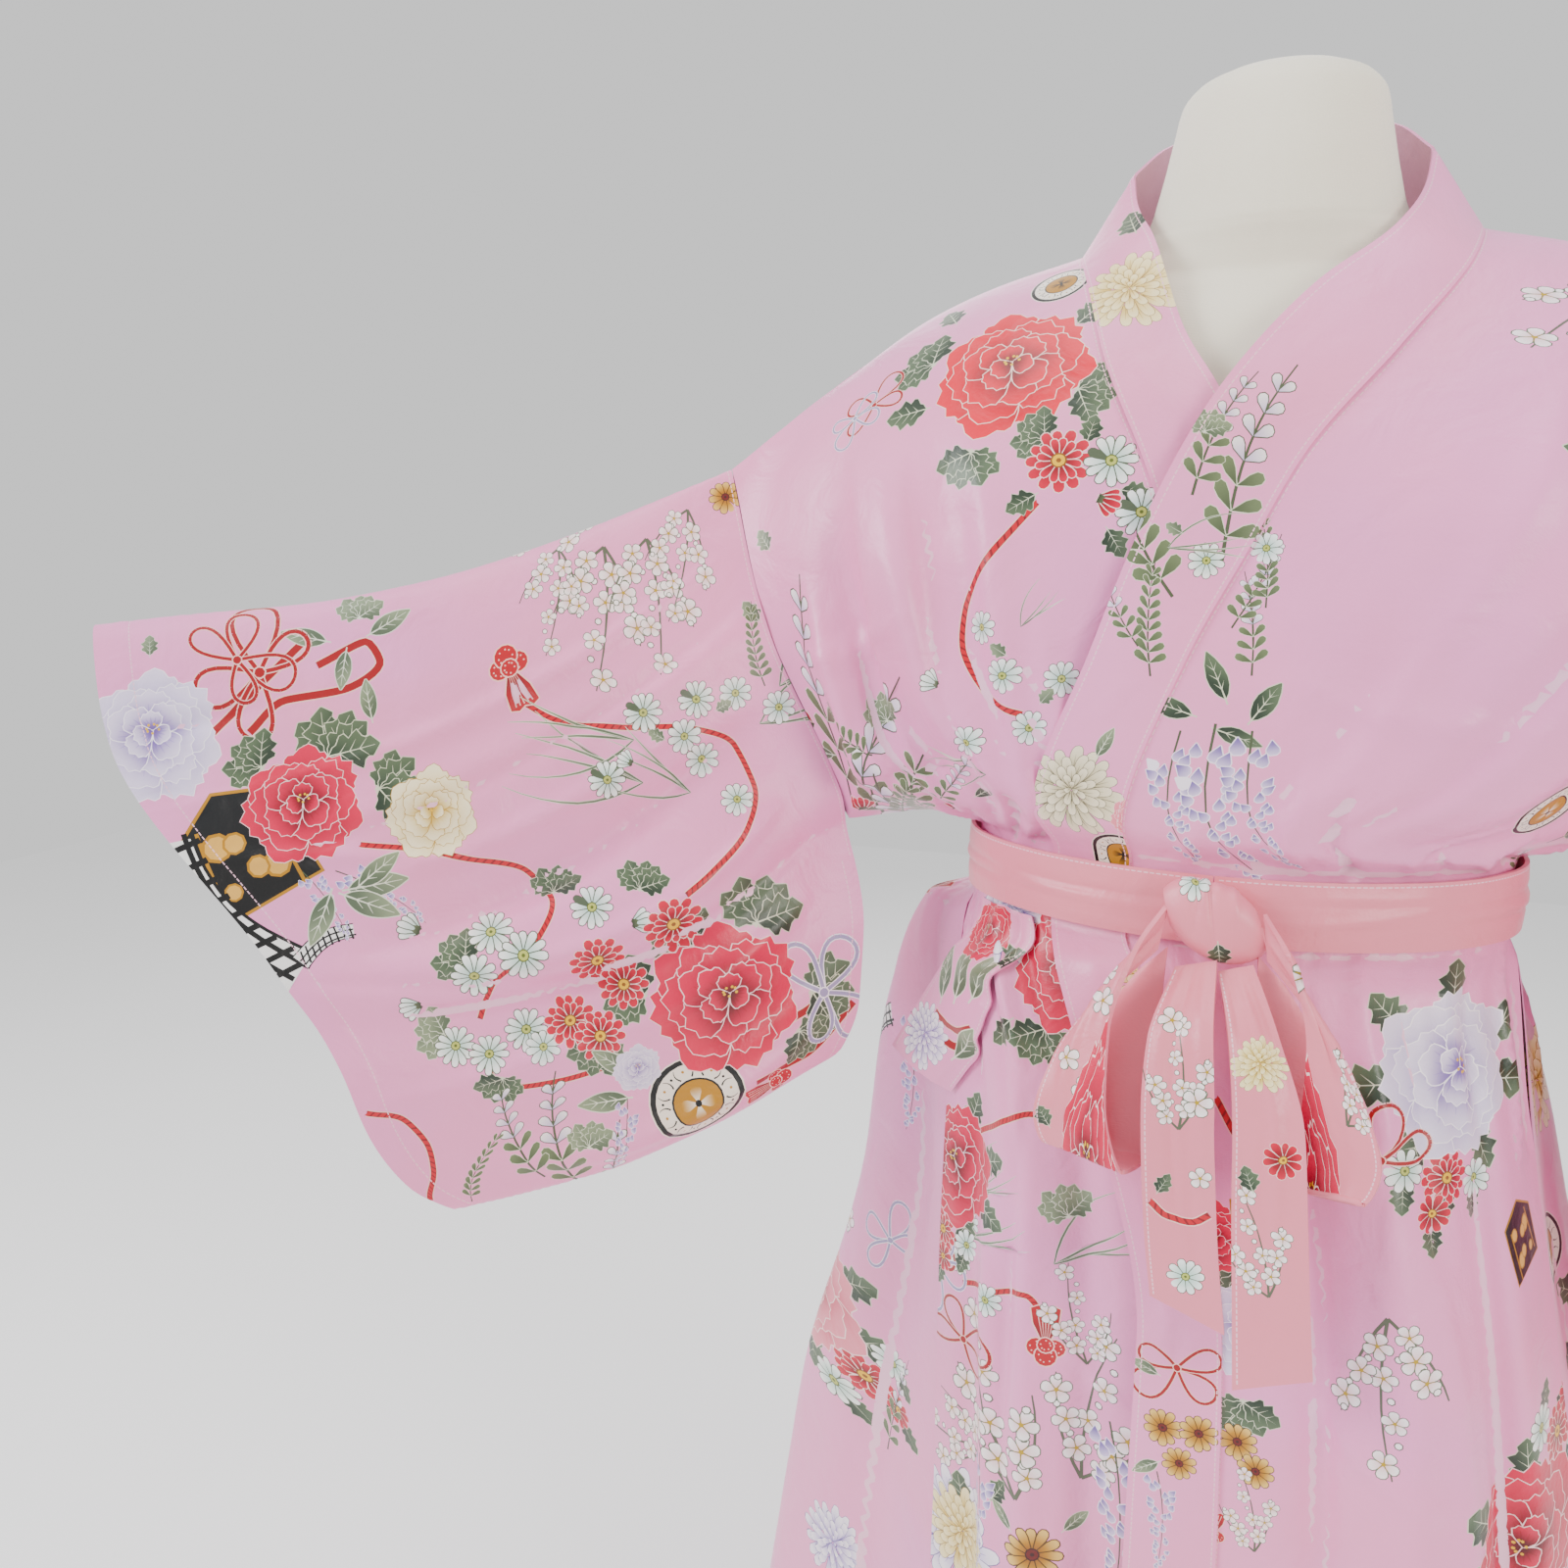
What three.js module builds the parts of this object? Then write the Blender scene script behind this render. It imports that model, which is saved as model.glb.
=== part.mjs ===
// A kimono robe of printed satin, belted on a limbless dress form that stands on a pole and a round base.
// Millimetres, +Z up, the garment faces -Y, and the wearer's right side is at -X.
// The origin is the middle of the base's underside.
//
// Each piece of cloth is a closed wall. Its middle surface is a loft through the rows of a short table:
// a row is one level of the garment, and its stations run from one cut edge of the panel to the other.
import * as THREE from "three";

// ---------- driving dimensions ----------
const WALL = 2; // cloth wall
const SEAM_GAP = 0.3; // clearance between neighbouring pieces
const SIDE_LAP = 1.7; // front and back stand this far each side of the side seam line
const SHOULDER_LAP = 0.35; // and this far each side of the shoulder line
const WAIST_HEIGHT = 1040; // middle of the belt
const ARMHOLE_DROP = 255; // from the shoulder down to the armhole's foot, along the cloth
const ARMHOLE_SHARE = 0.63; // share of the sleeve's body edge that is sewn to the body
const BELT_WIDTH = 40;
const BELT_THICK = 3.4; // the belt is a flat sewn tube
const BASE_RADIUS = 190;
const BASE_THICK = 16;
const POLE_RADIUS = 14;
const FORM_BOTTOM = 770; // underside of the torso

// The waist, as the belt's middle surface: half the width, and the reach in front and behind.
const WAIST = { half: 165, front: 126, back: 117, middleY: -6 };
const UNDER_BELT = 4.6; // depth of the top layer of cloth below the belt's middle surface
const SECOND_LAYER = 9; // depth of the right front, which lies under the left front

const satin = new THREE.MeshStandardMaterial({ color: 0xe9b9cd, roughness: 0.42, metalness: 0 });
const satinBand = new THREE.MeshStandardMaterial({ color: 0xedc0cf, roughness: 0.42, metalness: 0 });
const satinBelt = new THREE.MeshStandardMaterial({ color: 0xe8aeb4, roughness: 0.4, metalness: 0 });
const jersey = new THREE.MeshStandardMaterial({ color: 0xece4cb, roughness: 0.85, metalness: 0 });
const steel = new THREE.MeshStandardMaterial({ color: 0xd9d9d6, roughness: 0.3, metalness: 0.9 });

const robe = new THREE.Group();
const V = (x, y, z) => new THREE.Vector3(x, y, z);
const UP = V(0, 0, 1);
const clamp = (x, low, high) => Math.min(high, Math.max(low, x));
const mix = (a, b, t) => a + (b - a) * t;
const smooth = (x, from, to) => {
  const t = clamp((x - from) / (to - from), 0, 1);
  return t * t * (3 - 2 * t);
};
const count = (n) => Array.from({ length: n }, (_, i) => i);
const mirrored = (p) => V(-p.x, p.y, p.z);

// A table's rows as objects with named columns. A cell of three numbers is a point.
const table = (columns, rows) =>
  rows.map((cells) =>
    Object.fromEntries(cells.map((cell, i) => [columns[i], Array.isArray(cell) ? V(...cell) : cell])),
  );

// ---------- curves ----------
// The value at t of a smooth curve through values[i] at keys[i]. It never swings past its own points.
function through(keys, values, t) {
  const last = keys.length - 1;
  let i = 0;
  while (i < last - 1 && t > keys[i + 1]) i++;
  const h = keys[i + 1] - keys[i];
  const x = (t - keys[i]) / h;
  const at = (axis) => {
    const chord = (k) => (values[k + 1][axis] - values[k][axis]) / (keys[k + 1] - keys[k]);
    const slope = (k) => {
      if (k === 0) return chord(0);
      if (k === last) return chord(last - 1);
      const before = chord(k - 1);
      const after = chord(k);
      return before * after > 0 ? (2 * before * after) / (before + after) : 0;
    };
    const start = values[i][axis];
    const end = values[i + 1][axis];
    const ease = x * x * (3 - 2 * x);
    return mix(start, end, ease) + h * x * (1 - x) * ((1 - x) * slope(i) - x * slope(i + 1));
  };
  return V(at("x"), at("y"), at("z"));
}

// ---------- solids ----------
// A mesh from points and triangles, turned so that its faces point outwards.
function solid(name, points, triangles, material) {
  let volume = 0;
  for (let i = 0; i < triangles.length; i += 3) {
    const [a, b, c] = [points[triangles[i]], points[triangles[i + 1]], points[triangles[i + 2]]];
    volume += a.dot(b.clone().cross(c));
  }
  const index = volume < 0 ? triangles.slice().reverse() : triangles;
  const geometry = new THREE.BufferGeometry().setFromPoints(points).setIndex(index);
  geometry.computeVertexNormals();
  const mesh = new THREE.Mesh(geometry, material);
  mesh.name = name;
  robe.add(mesh);
}

// A closed body from rings of points, with a point at the middle of each end.
function stackedRings(name, rings, firstEnd, lastEnd, material) {
  const around = rings[0].length;
  const last = rings.length - 1;
  const points = [...rings.flat(), firstEnd, lastEnd];
  const id = (i, j) => i * around + (j % around);
  const triangles = [];
  for (const j of count(around)) {
    for (const i of count(last)) {
      triangles.push(id(i, j), id(i, j + 1), id(i + 1, j + 1));
      triangles.push(id(i, j), id(i + 1, j + 1), id(i + 1, j));
    }
    triangles.push(points.length - 2, id(0, j + 1), id(0, j));
    triangles.push(points.length - 1, id(last, j), id(last, j + 1));
  }
  solid(name, points, triangles, material);
}

// A closed wall between two grids of points of the same size. A closed grid's columns join round.
function wallBetween(name, outer, inner, closed, material) {
  const rows = outer.length;
  const columns = outer[0].length;
  const points = [...outer.flat(), ...inner.flat()];
  const id = (side, i, j) => side * rows * columns + i * columns + (j % columns);
  const triangles = [];
  const quad = (a, b, c, d) => triangles.push(a, b, c, a, c, d);
  const spans = closed ? columns : columns - 1;
  for (const j of count(spans)) {
    for (const i of count(rows - 1)) {
      quad(id(0, i, j), id(0, i, j + 1), id(0, i + 1, j + 1), id(0, i + 1, j));
      quad(id(1, i, j), id(1, i + 1, j), id(1, i + 1, j + 1), id(1, i, j + 1));
    }
    quad(id(0, 0, j), id(1, 0, j), id(1, 0, j + 1), id(0, 0, j + 1));
    quad(id(0, rows - 1, j), id(0, rows - 1, j + 1), id(1, rows - 1, j + 1), id(1, rows - 1, j));
  }
  if (!closed)
    for (const i of count(rows - 1)) {
      const j = columns - 1;
      quad(id(0, i, 0), id(0, i + 1, 0), id(1, i + 1, 0), id(1, i, 0));
      quad(id(0, i, j), id(1, i, j), id(1, i + 1, j), id(0, i + 1, j));
    }
  solid(name, points, triangles, material);
}

// Unit normals of a grid of points. Along an upright first row they have no part across the row's seam.
function gridNormals(grid, closed, uprightStart) {
  const columns = grid[0].length;
  return grid.map((row, i) =>
    row.map((_, j) => {
      const above = grid[Math.max(i - 1, 0)][j];
      const below = grid[Math.min(i + 1, grid.length - 1)][j];
      const left = row[closed ? (j + columns - 1) % columns : Math.max(j - 1, 0)];
      const right = row[closed ? (j + 1) % columns : Math.min(j + 1, columns - 1)];
      const along = right.clone().sub(left);
      const normal = below.clone().sub(above).cross(along);
      if (uprightStart && i === 0) normal.projectOnPlane(along.clone().cross(UP));
      return normal.normalize();
    }),
  );
}

// A wall of even thickness on a grid of middle points.
function clothWall(name, grid, material, { closed = false, thick = WALL, uprightStart = false } = {}) {
  const normals = gridNormals(grid, closed, uprightStart);
  const shifted = (distance) =>
    grid.map((row, i) => row.map((p, j) => p.clone().addScaledVector(normals[i][j], distance)));
  wallBetween(name, shifted(thick / 2), shifted(-thick / 2), closed, material);
}

// ---------- folds ----------
// A fold is a long soft bump, or a trough if its height is negative. at and wide are shares of the
// panel's width, lean is the shift across for each metre down, and from, to and soft are drops.
const foldHeight = (folds, u, v) =>
  folds.reduce((sum, f) => {
    const middle = f.at + f.lean * (v - f.from) * 1e-3;
    const across = Math.exp(-(((u - middle) / f.wide) ** 2));
    const along = smooth(v, f.from, f.from + f.soft) * (1 - smooth(v, f.to - f.soft, f.to));
    return sum + f.high * across * along;
  }, 0);
const folds = (rows) => table(["at", "lean", "wide", "high", "from", "to", "soft"], rows);

// ---------- levels ----------
// Rows of every body panel, by the drop down the cloth from the shoulder line. Those down to the
// armhole's foot are also the rows of the sleeves' edges.
const SHOULDER_LEVELS = [0, 6, 20, 60, 100, 145, 190, 225, ARMHOLE_DROP];
const WAIST_LEVELS = [407, 430, 453];
const LEVELS = [
  ...SHOULDER_LEVELS,
  290, 325, 360, 388, ...WAIST_LEVELS, 476, 512, 560, 640, 760, 900, 1050, 1190, 1330,
];

// ---------- sleeves ----------
// A sleeve hangs between its top line, a fold, and its bottom seam. body is its edge at the body: the part
// above ARMHOLE_SHARE is sewn, and the rest is open. aside is the sleeve's own shift off the armhole. sag
// lowers the top line between its ends, belly lowers the bottom, and puff and mouth are half the distance
// between front and back cloth at body and cuff.
const EDGE_COLUMNS = ["share", "body", "cuff"];
const SLEEVES = {
  right: {
    out: V(0.5, -0.866, 0),
    edges: table(EDGE_COLUMNS, [
      [0, [-335, -46, 1297], [-704, -257, 1194]],
      [0.25, [-313, -52, 1200], [-684, -262, 1116]],
      [ARMHOLE_SHARE, [-248, -48, 1060], [-571, -248, 974]],
      [0.77, [-232, -56, 988], [-532, -243, 914]],
      [0.87, [-232, -62, 940], [-514, -240, 868]],
      [0.95, [-241, -69, 904], [-490, -233, 832]],
      [1, [-266, -78, 883], [-462, -222, 812]],
    ]),
    aside: V(0, 0, 0),
    sag: 24,
    belly: 15,
    puff: 26,
    mouth: 25,
  },
  left: {
    out: V(0, -1, 0),
    edges: table(EDGE_COLUMNS, [
      [0, [262, 4, 1238], [336, 2, 806]],
      [0.25, [252, 4, 1180], [330, 4, 792]],
      [ARMHOLE_SHARE, [212, 4, 1068], [308, 8, 752]],
      [0.85, [222, 4, 986], [298, 10, 724]],
      [0.95, [232, 4, 932], [294, 12, 706]],
      [1, [236, 4, 912], [292, 12, 698]],
    ]),
    aside: V(1.4, 0, 0),
    sag: -14,
    belly: 0,
    puff: 72,
    mouth: 108,
  },
};

// Half the distance between front and back cloth, at share h down the sleeve and s of the way to the cuff.
function sleevePuff(sleeve, s, h) {
  const sewn = Math.max(Math.sin((Math.PI * h) / ARMHOLE_SHARE), 0);
  const open = Math.max(Math.sin((Math.PI * (h - ARMHOLE_SHARE)) / (1 - ARMHOLE_SHARE)), 0);
  const atBody = h < ARMHOLE_SHARE ? 3 + 21 * sewn ** 0.8 : 3 + 9 * open;
  return mix(atBody, 3 + mix(sleeve.puff, sleeve.mouth, s), smooth(s, 0, 0.3));
}

// A point of the sleeve's cloth: side is 1 on the front and -1 on the back, and inset is the distance
// inwards from the wall's middle.
function sleevePoint(sleeve, s, h, side, inset, foldRows) {
  const shares = sleeve.edges.map((row) => row.share);
  const place = h - (Math.cos(Math.PI * h) * inset) / -250;
  const start = through(shares, sleeve.edges.map((row) => row.body), place);
  const end = through(shares, sleeve.edges.map((row) => row.cuff), place);
  const p = start.lerp(end, s);
  p.z -= Math.sin(Math.PI * s) * mix(sleeve.sag, sleeve.belly, h);
  const round = 2 * Math.sqrt(h * (1 - h));
  const puff = Math.max(sleevePuff(sleeve, s, h) - inset, 1);
  const fold = round * foldHeight(foldRows, h, s * 1000);
  return p.addScaledVector(sleeve.out, side * puff * round ** 0.75 + fold);
}

// Shares down the sleeve of its rows: those of the armhole, and then those of the open edge.
const dropShare = (drop) => (drop / ARMHOLE_DROP) * ARMHOLE_SHARE;
const OPEN_SHARES = [0.7, 0.77, 0.84, 0.9, 0.95, 0.985];
const SLEEVE_SHARES = [...SHOULDER_LEVELS.map(dropShare), ...OPEN_SHARES];

function buildSleeve(name, sleeve, steps, foldRows) {
  const front = SLEEVE_SHARES.map((h) => ({ h, side: 1 }));
  const behind = SLEEVE_SHARES.slice(1).map((h) => ({ h, side: -1 }));
  const ring = [...front, { h: 1, side: 1 }, ...behind.reverse()];
  // The seam gap at the armhole, wider at its foot, where front, back and sleeve meet.
  const start = (h) => 0.003 + 0.006 * Math.exp(-(((h - ARMHOLE_SHARE) / 0.08) ** 2));
  const layer = (inset) =>
    count(steps + 1).map((i) =>
      ring.map(({ h, side }) => {
        const s = mix(start(h), 1, i / steps);
        return sleevePoint(sleeve, s, h, side, inset, foldRows).add(sleeve.aside);
      }),
    );
  wallBetween(name, layer(-WALL / 2), layer(WALL / 2), true, satin);
}

// ---------- waist ----------
// A point round the waist. angle is in degrees, 0 at the front and growing towards the wearer's left,
// and depth is how far it lies inside the belt's middle surface.
function waistPoint(angle, depth, rise) {
  const turn = THREE.MathUtils.degToRad(angle);
  const reach = Math.cos(turn) > 0 ? WAIST.front : WAIST.back;
  const x = (WAIST.half - depth) * Math.sin(turn);
  const y = WAIST.middleY - (reach - depth) * Math.cos(turn);
  return V(x, y, WAIST_HEIGHT + rise);
}
const riseAt = (drop) => ((430 - drop) / 23) * 22;

// ---------- body panels ----------
// Rows down the right front: the neckband seam, the chest, the outer chest, and the side seam below the
// armhole. At the belt the rows come from the waist.
const FRONT_COLUMNS = ["drop", "seam", "chest", "outer", "side"];
const FRONT_RIGHT = table(FRONT_COLUMNS, [
  [0, [-111, 0, 1428], [-195, -1, 1402], [-268, -28, 1350]],
  [20, [-109, -20, 1422], [-194, -21, 1396], [-267, -44, 1341]],
  [60, [-101, -56, 1402], [-191, -62, 1370], [-262, -72, 1308]],
  [130, [-84, -98, 1351], [-174, -116, 1304], [-246, -98, 1242]],
  [200, [-57, -122, 1292], [-156, -138, 1240], [-228, -106, 1178]],
  [255, [-38, -132, 1242], [-140, -142, 1188], [-212, -100, 1126]],
  [320, [-14, -132, 1170], [-112, -135, 1128], [-178, -90, 1088], [-208, -24, 1064]],
  [385, [14, -122, 1086], [-84, -114, 1079], [-149, -70, 1071], [-174, -10, 1067]],
  [480, [24, -124, 996], [-78, -112, 996], [-142, -80, 996], [-166, -24, 996]],
  [560, [42, -132, 916], [-58, -132, 916], [-126, -110, 916], [-168, -58, 916]],
  [700, [56, -140, 780], [-44, -142, 780], [-118, -126, 780], [-168, -76, 780]],
  [900, [62, -144, 580], [-38, -146, 580], [-112, -134, 580], [-165, -84, 580]],
  [1330, [70, -150, 150], [-32, -152, 150], [-110, -140, 150], [-165, -88, 150]],
]);
const FRONT_LEFT = table(FRONT_COLUMNS, [
  [0, [111, 0, 1428], [195, -1, 1402], [240, -1, 1338]],
  [20, [109, -20, 1422], [194, -21, 1396], [240, -21, 1330]],
  [60, [101, -56, 1402], [191, -62, 1368], [236, -56, 1298]],
  [130, [66, -95, 1354], [174, -116, 1300], [228, -80, 1236]],
  [200, [22, -122, 1298], [142, -142, 1240], [208, -88, 1176]],
  [255, [-5, -136, 1243], [102, -148, 1188], [188, -88, 1126]],
  [320, [-34, -146, 1180], [66, -148, 1130], [152, -92, 1092], [190, -12, 1070]],
  [385, [-62, -133, 1086], [30, -140, 1080], [118, -106, 1073], [174, -10, 1067]],
  [480, [-46, -138, 996], [36, -140, 996], [118, -108, 996], [167, -20, 996]],
  [560, [-16, -152, 916], [62, -156, 916], [134, -126, 916], [176, -48, 916]],
  [700, [12, -164, 780], [86, -170, 780], [160, -138, 780], [200, -58, 780]],
  [900, [18, -170, 580], [98, -180, 580], [184, -146, 580], [238, -64, 580]],
  [1330, [22, -176, 150], [112, -190, 150], [212, -152, 150], [288, -64, 150]],
]);
// Rows down the back's two halves: the side seam, the outer back, the blade and under the neck's side.
const BACK_COLUMNS = ["drop", "neck", "blade", "outer", "side"];
const BACK_RIGHT = table(BACK_COLUMNS, [
  [0, [-111, 0, 1428], [-195, -1, 1402], [-268, -28, 1350]],
  [20, [-110, 20, 1423], [-195, 19, 1397], [-268, -12, 1342]],
  [60, [-104, 66, 1396], [-190, 56, 1370], [-262, 8, 1308]],
  [130, [-95, 104, 1332], [-178, 88, 1306], [-246, 20, 1242]],
  [200, [-88, 115, 1262], [-166, 98, 1240], [-230, 26, 1178]],
  [255, [-82, 118, 1206], [-154, 98, 1184], [-214, 24, 1124]],
  [320, [-72, 117, 1148], [-134, 98, 1132], [-182, 40, 1096], [-208, -24, 1064]],
  [385, [-56, 110, 1086], [-108, 93, 1080], [-152, 52, 1072], [-174, -10, 1067]],
  [480, [-64, 114, 996], [-134, 98, 996], [-204, 26, 996], [-168, -26, 996]],
  [560, [-80, 140, 916], [-164, 118, 916], [-232, 26, 916], [-168, -58, 916]],
  [700, [-100, 166, 780], [-194, 136, 780], [-250, 34, 780], [-168, -76, 780]],
  [900, [-122, 190, 580], [-238, 154, 580], [-304, 50, 580], [-165, -84, 580]],
  [1330, [-154, 222, 150], [-298, 180, 150], [-362, 64, 150], [-165, -88, 150]],
]);
const BACK_LEFT = table(BACK_COLUMNS, [
  [0, [111, 0, 1428], [195, -1, 1402], [240, -1, 1338]],
  [20, [110, 20, 1423], [195, 19, 1397], [240, 19, 1330]],
  [60, [104, 66, 1396], [190, 56, 1368], [236, 52, 1298]],
  [130, [95, 104, 1332], [180, 88, 1302], [227, 76, 1236]],
  [200, [88, 115, 1262], [166, 98, 1240], [208, 80, 1176]],
  [255, [82, 118, 1206], [152, 98, 1186], [190, 74, 1126]],
  [320, [72, 117, 1148], [134, 98, 1132], [174, 54, 1096], [190, -12, 1070]],
  [385, [56, 110, 1086], [108, 93, 1080], [152, 52, 1072], [174, -10, 1067]],
  [480, [60, 112, 996], [114, 98, 996], [160, 50, 996], [167, -20, 996]],
  [560, [80, 140, 916], [150, 116, 916], [196, 46, 916], [176, -48, 916]],
  [700, [100, 166, 780], [186, 132, 780], [232, 44, 780], [200, -58, 780]],
  [900, [122, 190, 580], [232, 148, 580], [294, 46, 580], [238, -64, 580]],
  [1330, [154, 222, 150], [292, 172, 150], [360, 54, 150], [288, -64, 150]],
]);
const BACK_MIDDLE = table(["drop", "middle"], [
  [0, [0, 74, 1456]],
  [20, [0, 83, 1440]],
  [60, [0, 95, 1402]],
  [130, [0, 110, 1333]],
  [200, [0, 119, 1264]],
  [255, [0, 122, 1209]],
  [320, [0, 121, 1153]],
  [385, [0, 114, 1087]],
  [480, [0, 117, 996]],
  [560, [0, 146, 916]],
  [700, [0, 174, 780]],
  [900, [0, 200, 580]],
  [1330, [0, 232, 150]],
]);
// Where each station lies round the waist, in degrees, and how deep it lies under the belt.
const WAIST_FRONT_RIGHT = [[10, SECOND_LAYER], [-36, SECOND_LAYER], [-62, UNDER_BELT], [-91, UNDER_BELT]];
const WAIST_FRONT_LEFT = [[-21, UNDER_BELT], [13, UNDER_BELT], [48, UNDER_BELT], [91, UNDER_BELT]];
const WAIST_BACK = [91, 119, 140, 160, 180, 200, 220, 241, 269].map((angle) => [-angle, UNDER_BELT]);

// All rows of a panel, in order: its table's and the waist's. across(u) is a row's curve.
function panelRows(tableRows, stationsOf, waistPlaces, stationsAt) {
  const rows = tableRows.map((row, i) => {
    const stations = stationsOf(row, i);
    return { drop: row.drop, across: (u) => through(stationsAt, stations, u) };
  });
  const places = waistPlaces.map(([angle, depth]) => V(angle, depth, 0));
  const waist = WAIST_LEVELS.map((drop) => {
    const across = (u) => {
      const place = through(stationsAt, places, u);
      return waistPoint(place.x, place.y, riseAt(drop));
    };
    return { drop, across };
  });
  return [...rows, ...waist].sort((a, b) => a.drop - b.drop);
}
const armhole = (sleeve, drop, side) => sleevePoint(sleeve, 0, dropShare(drop), side, 0, []);
const sideOf = (row, sleeve, side) => row.side ?? armhole(sleeve, row.drop, side);

const frontStations = (sleeve) => (row) => [row.seam, row.chest, row.outer, sideOf(row, sleeve, 1)];
const backStations = (row, i) => {
  const other = BACK_LEFT[i];
  const rightHalf = [sideOf(row, SLEEVES.right, -1), row.outer, row.blade, row.neck];
  const leftHalf = [other.neck, other.blade, other.outer, sideOf(other, SLEEVES.left, -1)];
  return [...rightHalf, BACK_MIDDLE[i].middle, ...leftHalf];
};
const FRONT_AT = [0, 0.33, 0.68, 1];
const NECK_START = 0.375; // where the neck opens, as a share of the back's width
const NECK_END = 1 - NECK_START;
const BACK_AT = [0, 0.125, 0.25, NECK_START, 0.5, NECK_END, 0.75, 0.875, 1];

// The surface of a front: across each row, then down the rows. Its side edge keeps to the armhole exactly,
// and below that it lies SIDE_LAP before the seam line.
function frontSurface(rows, sleeve, foldRows, outward) {
  const drops = rows.map((row) => row.drop);
  const lofted = (u, v) => through(drops, rows.map((row) => row.across(u)), v);
  return (u, v) => {
    const p = lofted(u, v);
    const pull = smooth(u, 0.6, 1);
    if (v <= ARMHOLE_DROP) p.addScaledVector(armhole(sleeve, v, 1).sub(lofted(1, v)), pull);
    p.y -= smooth(v, ARMHOLE_DROP, 320) * SIDE_LAP * pull + (1 - smooth(v, 0, 20)) * SHOULDER_LAP;
    return p.addScaledVector(outward(u), foldHeight(foldRows, u, v));
  };
}

// The shoulder line and the back of the neck, as the back's first row: its outer parts are the fronts' own.
function backTop(u) {
  if (u < NECK_START) return FRONT_ROWS.right[0].across(1 - u / NECK_START);
  if (u > NECK_END) return FRONT_ROWS.left[0].across((u - NECK_END) / NECK_START);
  const corner = BACK_RIGHT[0].neck;
  const quarter = V(-72, 48, 1445);
  const points = [corner, quarter, BACK_MIDDLE[0].middle, mirrored(quarter), mirrored(corner)];
  return through([NECK_START, 0.4375, 0.5, 0.5625, NECK_END], points, u);
}

function backSurface(rows, foldRows) {
  const drops = rows.map((row) => row.drop);
  const across = (row, u) => (row.drop === 0 ? backTop(u) : row.across(u));
  const lofted = (u, v) => through(drops, rows.map((row) => across(row, u)), v);
  return (u, v) => {
    const p = lofted(u, v);
    const pullRight = 1 - smooth(u, 0, 0.12);
    const pullLeft = smooth(u, 0.88, 1);
    if (v <= ARMHOLE_DROP) {
      p.addScaledVector(armhole(SLEEVES.right, v, -1).sub(lofted(0, v)), pullRight);
      p.addScaledVector(armhole(SLEEVES.left, v, -1).sub(lofted(1, v)), pullLeft);
    }
    const lap = smooth(v, ARMHOLE_DROP, 320) * SIDE_LAP * Math.max(pullRight, pullLeft);
    p.y += lap + (1 - smooth(v, 0, 20)) * SHOULDER_LAP;
    const turn = Math.PI * (u - 0.5);
    const outward = V(Math.sin(turn), Math.cos(turn) + 0.05, 0).normalize();
    return p.addScaledVector(outward, foldHeight(foldRows, u, v));
  };
}

const FRONT_ROWS = {
  right: panelRows(FRONT_RIGHT, frontStations(SLEEVES.right), WAIST_FRONT_RIGHT, FRONT_AT),
  left: panelRows(FRONT_LEFT, frontStations(SLEEVES.left), WAIST_FRONT_LEFT, FRONT_AT),
};
const FOLDS_FRONT_RIGHT = folds([
  [0.36, 0.1, 0.07, -10, 110, 395, 70],
  [0.53, -0.3, 0.08, 13, 60, 400, 90],
  [0.7, -0.5, 0.07, -12, 90, 380, 90],
  [0.86, -0.6, 0.07, 9, 120, 330, 70],
  [0.42, -0.02, 0.06, -8, 465, 1500, 160],
  [0.62, -0.05, 0.07, 9, 460, 1500, 160],
  [0.82, 0.02, 0.07, -8, 465, 1500, 160],
]);
const FOLDS_FRONT_LEFT = folds([
  [0.3, -0.1, 0.07, -6, 150, 400, 80],
  [0.55, -0.2, 0.08, 10, 70, 400, 90],
  [0.78, -0.3, 0.07, -9, 100, 380, 90],
  [0.22, 0.03, 0.07, -7, 465, 1500, 160],
  [0.45, 0, 0.08, 12, 460, 1500, 160],
  [0.7, 0, 0.07, -13, 465, 1500, 180],
]);
const FOLDS_BACK = folds([
  [0.055, 0, 0.028, -20, 490, 1500, 200],
  [0.2, 0, 0.035, -16, 460, 1500, 200],
  [0.3, 0.02, 0.035, 14, 460, 1500, 200],
  [0.4, 0, 0.035, -15, 460, 1500, 200],
  [0.5, 0, 0.035, 12, 460, 1500, 200],
  [0.6, 0, 0.035, -15, 460, 1500, 200],
  [0.7, -0.02, 0.035, 14, 460, 1500, 200],
  [0.81, 0, 0.035, -14, 460, 1500, 200],
  [0.945, 0, 0.03, -8, 490, 1500, 200],
  [0.12, 0.4, 0.03, -8, 80, 380, 90],
  [0.3, 0.2, 0.03, 8, 160, 400, 90],
  [0.42, 0.1, 0.03, -6, 240, 400, 70],
  [0.58, -0.1, 0.03, -6, 240, 400, 70],
  [0.7, -0.2, 0.03, 8, 160, 400, 90],
  [0.88, -0.4, 0.03, -8, 80, 380, 90],
]);

// Folds stand forward on the fronts, and turn outwards at their sides.
const outwardRight = (u) => V(-0.55 * u * u, -1, 0).normalize();
const outwardLeft = (u) => V(0.55 * u * u, -1, 0).normalize();
const frontRight = frontSurface(FRONT_ROWS.right, SLEEVES.right, FOLDS_FRONT_RIGHT, outwardRight);
const frontLeft = frontSurface(FRONT_ROWS.left, SLEEVES.left, FOLDS_FRONT_LEFT, outwardLeft);
const back = backSurface(panelRows(BACK_RIGHT, backStations, WAIST_BACK, BACK_AT), FOLDS_BACK);

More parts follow.
